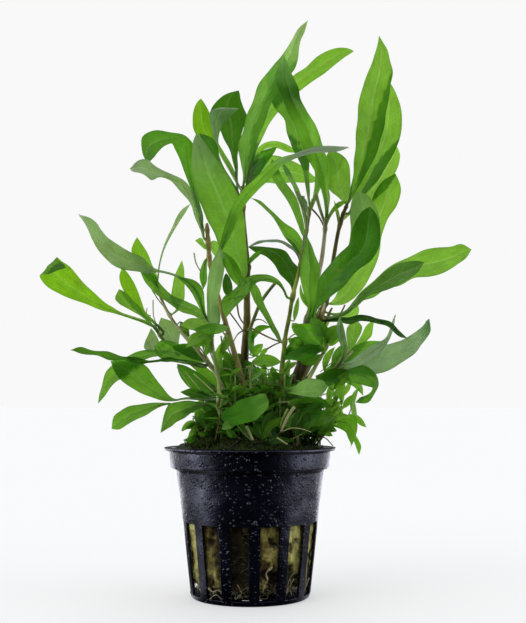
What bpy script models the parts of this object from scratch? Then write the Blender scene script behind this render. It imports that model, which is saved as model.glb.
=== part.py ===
"""Potted hygrophila: an aquarium stem plant growing from a rock wool plug in a black slotted net pot.

Frame: origin at the centre of the pot's underside, +Z up, the front of the plant towards -Y.
Units in this file are millimetres until a mesh is made.
"""
import math

import bmesh
import bpy
from mathutils import Vector

for _o in list(bpy.data.objects):
    bpy.data.objects.remove(_o, do_unlink=True)

MM = 0.001

# ------------------------------------------------------------------ driving dimensions (mm)
POT_HEIGHT = 47.7          # base to rim
FLANGE_R = 28.1            # thin lip round the rim
FLANGE_T = 1.0
COLLAR_R_TOP = 26.5        # collar under the lip
COLLAR_R_LOW = 25.9
STEP_Z = 41.2              # where the collar steps in to the body
BODY_R_TOP = 24.1
BODY_R_SLOT = 21.6         # body radius at the top of the slots
WALL = 0.9
SLOTS = 14
SLOT_TOP_Z = 24.2
SLOT_LOW_Z = 1.6
SLOT_ANGLE = 16.2          # degrees of each opening; the ribs take the rest
SLOT_FIRST = -60.0         # centre of one slot, degrees from the front towards +X
DRAIN_R_IN, DRAIN_R_OUT = 8.0, 14.6
BASE_T = 1.2
FIT_GAP = 0.35             # clearance between touching pieces
LEAF_T = 0.62              # thickness of a leaf solid at its midrib
MOSS_TOP_Z = 52.6
DEPTH_SPREAD = 1.5         # how far leaves reach to the front and back of their stem, against the table

# ------------------------------------------------------------------ front-view layout grid
# The plant is laid out on a front-view grid: one square is 0.33 mm at the pot's axis, and a grid
# point runs back along the line of sight from a viewpoint 330 mm in front of the axis, tipped up
# 5.4 degrees. Each point also has a depth in mm, positive towards the viewer (-Y).
GRID_F, GRID_CX, GRID_CY = 1000.0, 263.0, 311.5
VIEW_DIST, VIEW_X, VIEW_Z = 330.0, 4.1, 61.0
VIEW_TILT = math.radians(5.398)


def at(gx, gy, d):
    u = (gx - GRID_CX) / GRID_F
    v = (GRID_CY - gy) / GRID_F
    ty = math.cos(VIEW_TILT) - v * math.sin(VIEW_TILT)
    tz = math.sin(VIEW_TILT) + v * math.cos(VIEW_TILT)
    t = (VIEW_DIST - d) / ty
    return Vector((VIEW_X + t * u, -d, VIEW_Z + t * tz))


# ------------------------------------------------------------------ stems
# name: (radius low, radius high, [(grid x, grid y, depth), ...] from the moss up)
# --- plant table: begin
STEMS = {
    "stem_left_tall": (1.15, 0.6, [(252, 434, 2), (246, 400, 3), (243, 385, 3.5), (239, 370, 4), (234, 352, 4), (229, 335, 4),
                                   (224, 318, 4), (219, 300, 3), (214, 283, 2), (210, 262, 1), (208, 240, 2), (207, 223, 3)]),
    "stem_centre": (1.6, 0.68, [(250, 433, -7), (245, 400, -7), (244, 380, -6.5), (245, 350, -6), (247, 322, -5), (247, 294, -4),
                               (247, 262, -2), (245, 240, -2), (243, 210, -2), (243, 187, -2)]),
    "stem_branch": (0.6, 0.55, [(250, 329, -3.6), (254, 318, -3), (259, 306, -2.5), (265, 296, -2), (271, 288, -1), (277, 281, 0)]),
    "stem_right_inner": (0.85, 0.5, [(277, 434, 6), (277, 412, 7), (279, 395, 8), (281, 375, 8), (283, 360, 8), (285, 340, 8),
                                      (289, 318, 7), (293, 296, 7), (298, 275, 6), (302, 255, 5), (305, 238, 4), (308, 222, 3), (310, 206, 2)]),
    "stem_right_mid": (1.35, 0.58, [(296, 434, -2), (297, 400, -1), (298, 375, 1), (303, 345, 3), (308, 318, 4), (314, 295, 3),
                                  (319, 273, 2), (323, 250, 1), (325, 230, 1), (326, 218, 2)]),
    "stem_right_back": (1.4, 0.55, [(300, 432, -9), (301, 400, -8), (304, 370, -6), (309, 345, -4), (314, 328, -1.5), (321, 313, -2),
                                    (327, 298, -5), (331, 280, -6), (333, 262, -6), (336, 244, -6), (339, 228, -5), (343, 215, -4), (347, 205, -3)]),
    "stem_pale_right": (0.65, 0.55, [(297, 434, 15), (302, 405, 16), (308, 381, 16), (315, 367, 15), (322, 355, 14), (327, 345, 13), (331, 334, 13)]),
    "stem_lower_right": (0.7, 0.6, [(306, 433, 8), (313, 405, 9), (323, 384, 8.5), (336, 368, 8)]),
    "stem_left_main": (0.7, 0.5, [(238, 434, 9), (232, 410, 9), (223, 388, 9), (211, 366, 8), (196, 349, 6.5), (182, 333, 4),
                                  (170, 316, 0.5), (161, 298, -2), (156, 284, -3)]),
    "stem_left_front": (0.7, 0.5, [(229, 434, 14.5), (221, 415, 14.5), (219, 401, 14.2), (219, 385, 13), (216, 368, 12), (213, 350, 11), (211, 334, 9.5), (209, 319, 8)]),
    "stem_left_low": (0.6, 0.5, [(240, 433, -1), (226, 405, -1.5), (206, 378, -2), (186, 360, -2.5), (168, 345, -2.5), (158, 333, -2)]),
}

# Leaves. "on": the stem that it grows from; "d": depth at the base (None: the stem's own), middle and tip;
# "e": how much nearer the first edge is than the midrib at the base, middle and tip; "fold": how far the
# midrib sinks, as a part of the half width; "st": stations from the base to the tip, each the two edges
# (left-hand edge first, going outwards), and the tip as one point.
LEAVES = {
    "leaf_top_tall": dict(on="stem_centre", d=(None, 2, 4), e=(0, 1.5, 0.3), fold=0.18, tone="mid", st=[
        (242, 187, 244, 187), (243, 176, 247, 176), (240.5, 162, 250, 163), (238.5, 145, 256, 146), (243, 130, 261, 131), (246.5, 117, 266, 118),
        (251, 105, 271, 105), (254.5, 95, 277, 95), (259, 84, 285, 85), (266, 74, 290.5, 75), (274, 64, 294.5, 69), (281, 57, 298, 58),
        (287, 48, 299.5, 49), (292, 39, 301, 40), (298, 29, 304.5, 32), (308, 20)]),
    "leaf_top_front": dict(on="stem_right_mid", d=(None, 12, 16), e=(0, -1.5, 0.5), fold=0.2, tone="mid", st=[
        (325, 216, 328, 216), (324, 203, 328, 203), (321, 189, 328, 188), (316, 175, 328, 172), (309, 161, 327, 158), (303.5, 148, 323, 146),
        (298, 134, 319, 135), (293, 122, 314, 122), (287, 110, 307, 110), (281.5, 98, 300, 98), (278, 88, 298.5, 88), (275, 79, 295, 80),
        (277, 70, 291, 72), (280.5, 62.5, 287.5, 63), (284, 57)]),
    "leaf_top_right": dict(on="stem_centre", d=(None, -10, -8), e=(0, 1.5, 0), fold=0.15, tone="bright", st=[
        (243, 196, 246, 197), (246, 178, 249, 179), (249, 158, 254, 160), (252.5, 140, 260, 143), (259, 122, 268, 127), (267, 106, 277, 113),
        (281, 90, 290, 99), (294, 75, 301, 90), (306, 67, 312, 82), (318, 56, 325, 73), (331, 49.5, 336, 64), (342, 47.5, 345, 57), (349, 48.5, 350, 54), (354, 51)]),
    "leaf_top_back": dict(on="stem_right_inner", d=(None, -2, -3), e=(0, 1, 0), fold=0.15, tone="mid", st=[
        (308.5, 204, 310.5, 204), (306, 190, 310, 190), (303, 172, 309, 172), (298, 158, 309, 158), (291, 146, 307.5, 146), (287, 132, 305.5, 132),
        (284, 120, 302.5, 120), (276, 109, 299, 108), (271, 101, 296, 99), (266, 90, 292, 89), (267, 78, 286.5, 78), (273, 67, 283, 68), (280.5, 58.5)]),
    "leaf_long_arching": dict(on="stem_left_tall", d=(None, 17, 24), e=(0, 0.8, 3), fold=0.15, tone="mid", st=[
        (211, 263, 213, 264), (219, 247, 223, 248.5), (222, 236, 229, 238.5), (225.5, 224, 234, 228), (229.5, 212, 239.5, 215), (234.5, 202, 245.5, 204.5),
        (242, 191, 255, 194), (252, 181, 265, 183), (262, 171, 273, 175), (272, 163, 280, 168), (283, 157, 289, 161.5), (295, 153, 298, 157),
        (308, 148.5, 309.5, 154.5), (320, 147, 322, 152.5), (332, 145, 334, 151), (341, 145.5, 342, 150), (349.5, 148.3)]),
    "leaf_broad_left": dict(on="stem_centre", d=(None, 6, 10), e=(0, -1.5, 0), fold=0.16, tone="mid", st=[
        (244, 285, 246.5, 285), (236, 272, 248, 270), (228, 261, 247.5, 258), (221, 250, 246.5, 245), (216.5, 239, 245.5, 231), (211.5, 228, 244.5, 217),
        (205.5, 216, 241, 203), (198, 197, 233, 184), (193.5, 181, 225.5, 172), (191.5, 164, 217.5, 160.5), (192, 150, 209.5, 149.5), (193.5, 140, 203, 140), (196.5, 133)]),
    "leaf_small_upright": dict(on="stem_centre", d=(None, -0.5, -1), e=(0, 0.8, 0), fold=0.2, tone="bright", st=[
        (240, 188, 242, 187), (234, 176, 236.5, 175), (227, 164, 230.5, 163), (220, 152, 223.5, 151), (211, 143, 217, 140), (199, 137, 217, 134),
        (193.5, 129, 214.5, 126), (192.5, 120, 211.5, 119), (193.5, 111, 208.5, 111), (195.5, 105, 205.5, 105), (198, 101, 203, 101), (201, 98.5)]),
    "leaf_curled_dark": dict(on="stem_centre", d=(None, 4, 2), e=(0, -1, -1), fold=-0.2, tone="grey", st=[
        (241, 193, 243, 192), (232, 176, 234, 175), (224, 162, 226, 161), (217, 149, 219.5, 148), (213.5, 138, 218, 138), (212, 128, 220.5, 130), (209.5, 118, 224.5, 124),
        (210, 111, 229.5, 118), (219, 108.5, 233.5, 114), (229, 108, 236, 111), (238.5, 108.5)]),
    "leaf_dark_behind": dict(on="stem_centre", d=(None, -6, -6), e=(0, 1, 0), fold=0.15, tone="dark", st=[
        (240, 199, 242, 198), (236, 180, 238, 180), (234, 166, 238, 166), (230.5, 153, 238, 153), (225.5, 142, 240, 141), (220.5, 131, 243.5, 128),
        (213.5, 121, 247, 117), (210.5, 111, 243.5, 107), (217, 101, 240.5, 99), (226, 94, 239.8, 94), (238.7, 90.3)]),
    "leaf_drooping_left": dict(on="stem_left_tall", d=(None, -1, 8), e=(0, 0.5, 1.5), fold=0.12, tone="dark", st=[
        (204.5, 231, 206.5, 231), (200, 216, 203, 214.5), (195, 201, 199, 200), (190, 187, 195.5, 187), (184, 171, 193.5, 171), (179, 158, 193, 156),
        (175, 149, 192.5, 143), (172.5, 143.5, 184, 134.5), (167, 145, 170, 132), (160, 150, 152, 131.5), (155.5, 155, 142, 137), (152.5, 159, 141.5, 146),
        (151, 161.5, 143, 155), (147.5, 163)]),
    "leaf_grey_left": dict(on="stem_left_tall", d=(None, 8, 18), e=(0, 1.2, 2.5), fold=0.12, tone="grey", st=[
        (206, 241, 207, 239), (200, 229, 204, 226), (195, 217, 201, 213), (190, 203.5, 197, 202), (181, 192, 192, 189.5), (172, 182, 184, 180.5), (164, 178.5, 172, 174.5),
        (157.5, 177.5, 161, 168.5), (152, 180, 153, 164), (145, 176, 147.5, 160.5), (138, 173.5, 139, 160), (133, 171.5, 133, 164), (129.5, 168.5)]),
    "leaf_right_tall": dict(on="stem_right_back", d=(None, 4, 2), e=(0, 1.5, 0), fold=0.18, tone="bright", st=[
        (347, 203, 349.5, 203), (350, 191, 357, 190), (352.5, 178, 364, 177), (353.8, 165, 371, 166), (355, 150, 377.5, 150), (356, 135, 382, 136), (357, 120, 385, 121),
        (358.5, 107, 387, 108), (360, 95, 389, 96), (364, 84, 391, 84), (368, 72, 392.5, 73), (373, 60, 390.5, 61), (376, 50, 387, 49.5), (378, 42, 383, 42), (379, 35.5)]),
    "leaf_right_tall_back": dict(on="stem_right_back", d=(None, -6, -6), e=(0, -1, 0), fold=0.15, tone="bright", st=[
        (346, 214, 347.5, 215), (352, 206, 355, 207.5), (359, 192, 366, 194), (365, 174, 380, 177), (370, 157, 391.5, 157), (373, 140, 399.5, 140), (376, 123, 402, 121),
        (379, 107, 400.5, 106), (383, 93, 395, 91), (387, 78)]),
    "leaf_right_behind": dict(on="stem_right_back", d=(None, -11, -9.5), e=(0, -1, 0), fold=0.15, tone="bright", st=[
        (328, 303, 330, 305), (337, 301, 340, 305), (346, 293, 351, 299), (353, 281, 362, 287), (359, 266, 373, 268), (364, 250, 379.5, 250),
        (366, 234, 382, 234), (368, 219, 388, 219), (371, 204, 397, 205), (376, 190, 401, 190), (385, 179, 399, 181), (395.5, 173.5)]),
    "leaf_right_inner": dict(on="stem_right_back", d=(None, 2, 3.5), e=(0, 1, 0), fold=0.12, tone="mid", st=[
        (333, 281, 336, 284), (340, 270, 350, 276), (346, 256, 365, 262), (349.5, 241, 376, 245), (350.5, 228, 379.5, 230), (350, 216, 379.5, 217), (351, 205, 375.5, 206),
        (353.5, 196.5, 368, 196), (359, 190.5)]),
    "leaf_right_broad": dict(on="stem_right_mid", d=(None, 13, 15), e=(0, -1.8, 0), fold=0.14, tone="dark", st=[
        (309, 318, 311, 320), (311, 303, 318.5, 308), (317, 284, 330, 298), (327, 267, 344, 285.5), (340, 253.5, 359, 269.5), (349, 243.5, 371, 260),
        (351, 234, 379, 248), (354, 225, 380.5, 234), (358.5, 216, 379, 221.5), (363.5, 210, 375, 212), (370, 206.5)]),
    "leaf_far_right_long": dict(on="stem_right_back", d=(None, 0, 5), e=(0, -2, -0.5), fold=0.15, tone="bright", st=[
        (327, 312, 327.5, 314), (336, 313, 337, 316), (344, 311, 346.5, 315), (352, 303, 355, 308), (360, 293.5, 363, 300.5), (370, 283.5, 374, 296.5),
        (382, 272.5, 386, 290), (396, 263.5, 399, 285.5), (410, 256, 413, 278.5), (424, 250.5, 429, 277), (438, 247.5, 444, 272), (452, 246, 458, 264.5),
        (463, 244.5, 467, 257.5), (471.5, 249.5)]),
    "leaf_far_right_front": dict(on="stem_right_back", d=(None, 8, 12), e=(0, -1, 0), fold=0.15, tone="dark", st=[
        (323, 315.5, 324, 317.5), (334, 315.5, 335, 318), (344, 311.5, 346, 315), (353, 302, 356, 307), (363, 291, 367, 297), (374, 281.5, 378, 293), (386, 271.5, 391, 288),
        (398, 263.5, 403, 283), (409, 261.5, 412, 277), (418, 261, 419, 270.5), (424.5, 262)]),
    "leaf_right_arch_thin": dict(on="stem_right_back", d=(None, 12, 16), e=(0, -3.5, -2), fold=0.1, tone="dark", st=[
        (319, 319, 319.5, 321), (332, 318.5, 332, 322), (344, 317, 344.5, 323), (352, 316, 353, 323.5), (362, 315.5, 363, 321.5), (372, 316, 372, 321),
        (381, 319, 380, 324.5), (390, 323, 388, 328), (398, 329, 395, 332.5), (404, 333.5, 401, 336.5), (408.5, 339)]),
    "leaf_lower_right_grey": dict(on="stem_lower_right", d=(None, 9.5, 20), e=(0, -1, -1), fold=0.14, tone="grey", st=[
        (338, 366, 339.5, 369.5), (350, 361, 353, 373), (363, 353.5, 368, 375), (376, 346.5, 381, 373), (390, 344, 396, 366.5), (403, 339, 410, 357),
        (414, 333.5, 420, 347.5), (422, 326, 427, 337.5), (427, 320.5, 430.5, 327.5), (429.5, 318.5)]),
    "leaf_lower_right_curled": dict(on="stem_lower_right", d=(None, 15, 13), e=(0, -1, -1.5), fold=0.1, tone="dark", st=[
        (330, 374, 331, 376.5), (343, 371.5, 344, 379), (352, 368, 352, 382), (362, 365, 361, 384.5), (371, 369.5, 369.5, 386.5), (377, 376, 372.5, 388),
        (379.5, 385, 369.5, 392), (374, 395, 364.5, 395.5), (367, 402.5, 359.5, 398.5), (361, 403, 357.5, 400.5), (355, 402.5)]),
    "leaf_far_left_folded": dict(on="stem_left_low", d=(None, 2, 9), e=(0, 1, 0), fold=0.1, tone="bright", st=[
        (157.5, 332, 158.5, 330), (147, 325, 149, 322), (133, 319.5, 134, 316.5), (118, 314.5, 118.5, 311), (105, 311.5, 109, 305), (90, 305.5, 99, 297.5), (75, 300.5, 87, 286),
        (60, 294, 76, 274), (47.5, 287, 68.5, 265.5), (41.5, 280, 61, 260.5), (40.3, 276, 56.7, 256.7), (43.5, 274.5, 58.5, 260), (51, 272.5, 63, 263), (66, 268)],
        lift=[(10, 0.3), (11, 1.4), (12, 2.4), (13, 2.9)]),
    "leaf_left_grey_green": dict(on="stem_left_front", d=(None, 3, 14), e=(0, 0.6, 2.2), fold=0.16, tone="grey", st=[
        (206.5, 320, 208, 318), (201.5, 303, 203.5, 302), (193, 287.5, 194.5, 285.5), (181, 279.3, 182, 277), (165, 273.5, 166, 271.3), (157, 272.3, 158, 269.5), (150, 274, 152, 267),
        (138, 272, 143.5, 258.5), (122, 269, 132, 252.5), (110, 263, 120, 246), (100, 253, 110, 239.5), (93, 240, 102, 230), (87, 229.5, 94.5, 221.5), (82, 219, 86, 216), (78.5, 213.5)]),
    "leaf_left_bright_tip": dict(on="stem_left_main", d=(None, -6, -7), e=(0, -1, 0), fold=0.15, tone="bright", st=[
        (155, 286, 157, 285), (148, 279, 157, 276), (140, 268, 153, 266), (133.5, 258, 149, 257), (131, 250, 146, 250.5), (133.5, 243.5, 142, 244), (137, 237)]),
    "leaf_left_round": dict(on="stem_left_low", d=(None, -1.5, 1), e=(0, 0.5, 0), fold=0.15, tone="bright", st=[
        (162, 335, 164, 333.5), (152.5, 323, 154.5, 321), (141, 313.5, 145, 311), (132, 303.5, 141.5, 301), (124, 291.5, 137, 289), (120, 282, 132.5, 280), (119.5, 275, 127, 272), (122, 267)]),
    "leaf_left_edge_on": dict(on="stem_left_main", d=(None, 12, 15), e=(0.8, 4, 2.5), fold=0.12, tone="dark", st=[
        (210, 367.5, 211, 365.5), (196, 364.5, 196, 362), (178, 361, 178, 358.3), (160, 361.5, 160, 358.8), (146, 363, 146, 359.8), (130, 361.5, 129, 356.5), (114, 360, 114, 353.7),
        (100, 357.5, 100, 350.8), (88, 354.5, 88, 348.8), (78, 351.7, 79, 348), (70, 350)]),
    "leaf_lower_left_big": dict(on="stem_left_front", d=(None, 11, 10), e=(0, 1, 0), fold=0.16, tone="mid", st=[
        (215, 401.5, 215.5, 399.5), (200, 400.3, 200, 398), (185, 399.7, 185, 397.3), (174, 401, 176, 398.5), (161, 400.5, 169, 395.5), (148, 396, 161, 385), (137, 391, 153.5, 375.5),
        (127, 385, 145.5, 365.5), (119.5, 378.5, 134, 361), (114, 370.5, 123, 359.5), (110.5, 361)]),
    "leaf_lower_left_pointed": dict(on="stem_left_main", d=(None, 5, 8), e=(0, 1.5, 0.5), fold=0.12, tone="mid", st=[
        (207, 367, 207, 365), (190, 364.5, 190, 362.5), (170, 361.5, 170, 359.8), (157, 361.5, 156, 359.5), (145, 363.5, 143, 360), (134.5, 370, 129, 360), (126, 376, 117, 361),
        (119, 380, 110.5, 367), (112, 386.5, 105, 374.5), (106, 394, 101.5, 386), (101.5, 400, 99, 396), (98, 404)]),
    "leaf_lower_left_round": dict(d=(12.4, 16, 18), e=(0, 1, 0), fold=0.12, tone="mid", st=[
        (171, 404.6, 170, 402.9), (165, 405.3, 163, 402.6), (156, 409, 153, 402.8), (146, 415, 141, 404), (136, 420, 130, 405.5), (127, 425, 120, 411.5), (118.5, 429.5, 113, 418), (111.5, 429)]),
    "leaf_low_left_hanging": dict(on="stem_left_front", d=(None, 16, 20), e=(0, 1, 0.5), fold=0.15, tone="mid", st=[
        (212, 406, 212, 403.5), (202, 406.5, 201, 402.5), (193, 411.5, 188, 400), (184.5, 418.5, 177, 402), (177, 421.5, 168.5, 405), (171, 426.5, 164, 414.5), (165, 430.5, 162, 424), (160.5, 433)]),
    "leaf_front_bright": dict(on="stem_left_front", d=(None, 24, 27), e=(0, -2, 0), fold=0.1, tone="dark", st=[
        (222, 411, 222, 413.5), (223.5, 411.5, 223, 420), (232, 406.5, 232, 424.5), (243, 399.5, 243, 423.5), (254, 395.5, 254, 420), (262, 393.5, 262.5, 416), (267, 398.5, 267, 411), (268.8, 405)]),
    "leaf_front_light_right": dict(on="stem_right_inner", d=(None, 19, 22), e=(0, -2, 0), fold=0.1, tone="bright", st=[
        (281, 391, 281, 393), (290, 388, 290, 393.5), (299, 382.5, 300, 395.5), (309, 379, 310, 397), (319, 379, 319, 396), (325, 382, 325, 391.5), (328, 387)]),
    "leaf_centre_dark_arch": dict(on="stem_right_inner", d=(None, -4.5, -7), e=(0, 2.5, 1), fold=-0.15, tone="dark", st=[
        (291.5, 295, 293.5, 295), (290, 284, 297.5, 283), (280.5, 276, 298.5, 268.5), (276, 266, 292.5, 260), (268, 259, 283.5, 251), (261, 254, 268, 246.5), (253, 250.5, 257, 246), (247.5, 247)]),
    "leaf_centre_green_arch": dict(on="stem_right_inner", d=(None, 14, 12), e=(0, 1, 1), fold=0.12, tone="dark", st=[
        (287.3, 298.5, 289, 297.7), (283, 290.5, 284.8, 289.3), (277, 284.6, 280.5, 281.5), (268, 281.8, 271, 275.6), (259.5, 282, 260, 274.5), (254, 285, 250.5, 275.5),
        (249.5, 290.5, 241.5, 281.5), (245, 297, 233, 290), (239.5, 303, 224.5, 296.5), (233.5, 309, 221.8, 303), (229.8, 313.5, 222.5, 310), (226, 318)]),
    "leaf_centre_strip": dict(on="stem_right_inner", d=(None, 5, 5), e=(0, 1, 0), fold=0.15, tone="mid", st=[
        (282.5, 343, 284.5, 342), (273.5, 333, 278.5, 331.5), (267, 322, 272, 320), (260, 311, 267, 309), (254, 300, 262.5, 299), (250, 290, 258.5, 288), (251.5, 279)]),
    "leaf_centre_right": dict(on="stem_right_mid", d=(None, 17, 16), e=(0, 1.5, 0), fold=0.16, tone="mid", st=[
        (307, 322, 309, 322), (307.5, 309, 314, 309), (304, 296, 316.5, 297), (301, 282, 318, 281), (300.5, 268, 320, 266), (302.5, 254, 315, 254), (305, 244, 310.5, 243), (307, 236)]),
    "leaf_centre_long": dict(on="stem_right_mid", d=(None, 1, 5), e=(0, 1, 1), fold=0.14, tone="mid", st=[
        (314, 288, 316, 286.5), (306, 268, 309.5, 266), (298, 254, 305.5, 249.5), (291, 244.5, 302, 239), (285, 237, 295, 230.5), (279, 227.5, 286, 224), (272, 217, 277, 215), (265, 209, 267, 206.5),
        (258, 203, 259, 200.5), (250, 197.5)]),
    "leaf_light_right": dict(on="stem_right_back", d=(None, -5, -6), e=(0, 1, 0), fold=0.1, tone="bright", st=[
        (345.5, 205, 347.5, 203.5), (338, 197.5, 350, 196), (330.5, 190.5, 350.5, 186), (327, 181, 350.5, 174), (325.5, 169, 348.5, 164), (325.5, 160, 344, 157), (327.5, 153.5, 337, 152), (330, 149.5)]),
}

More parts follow.
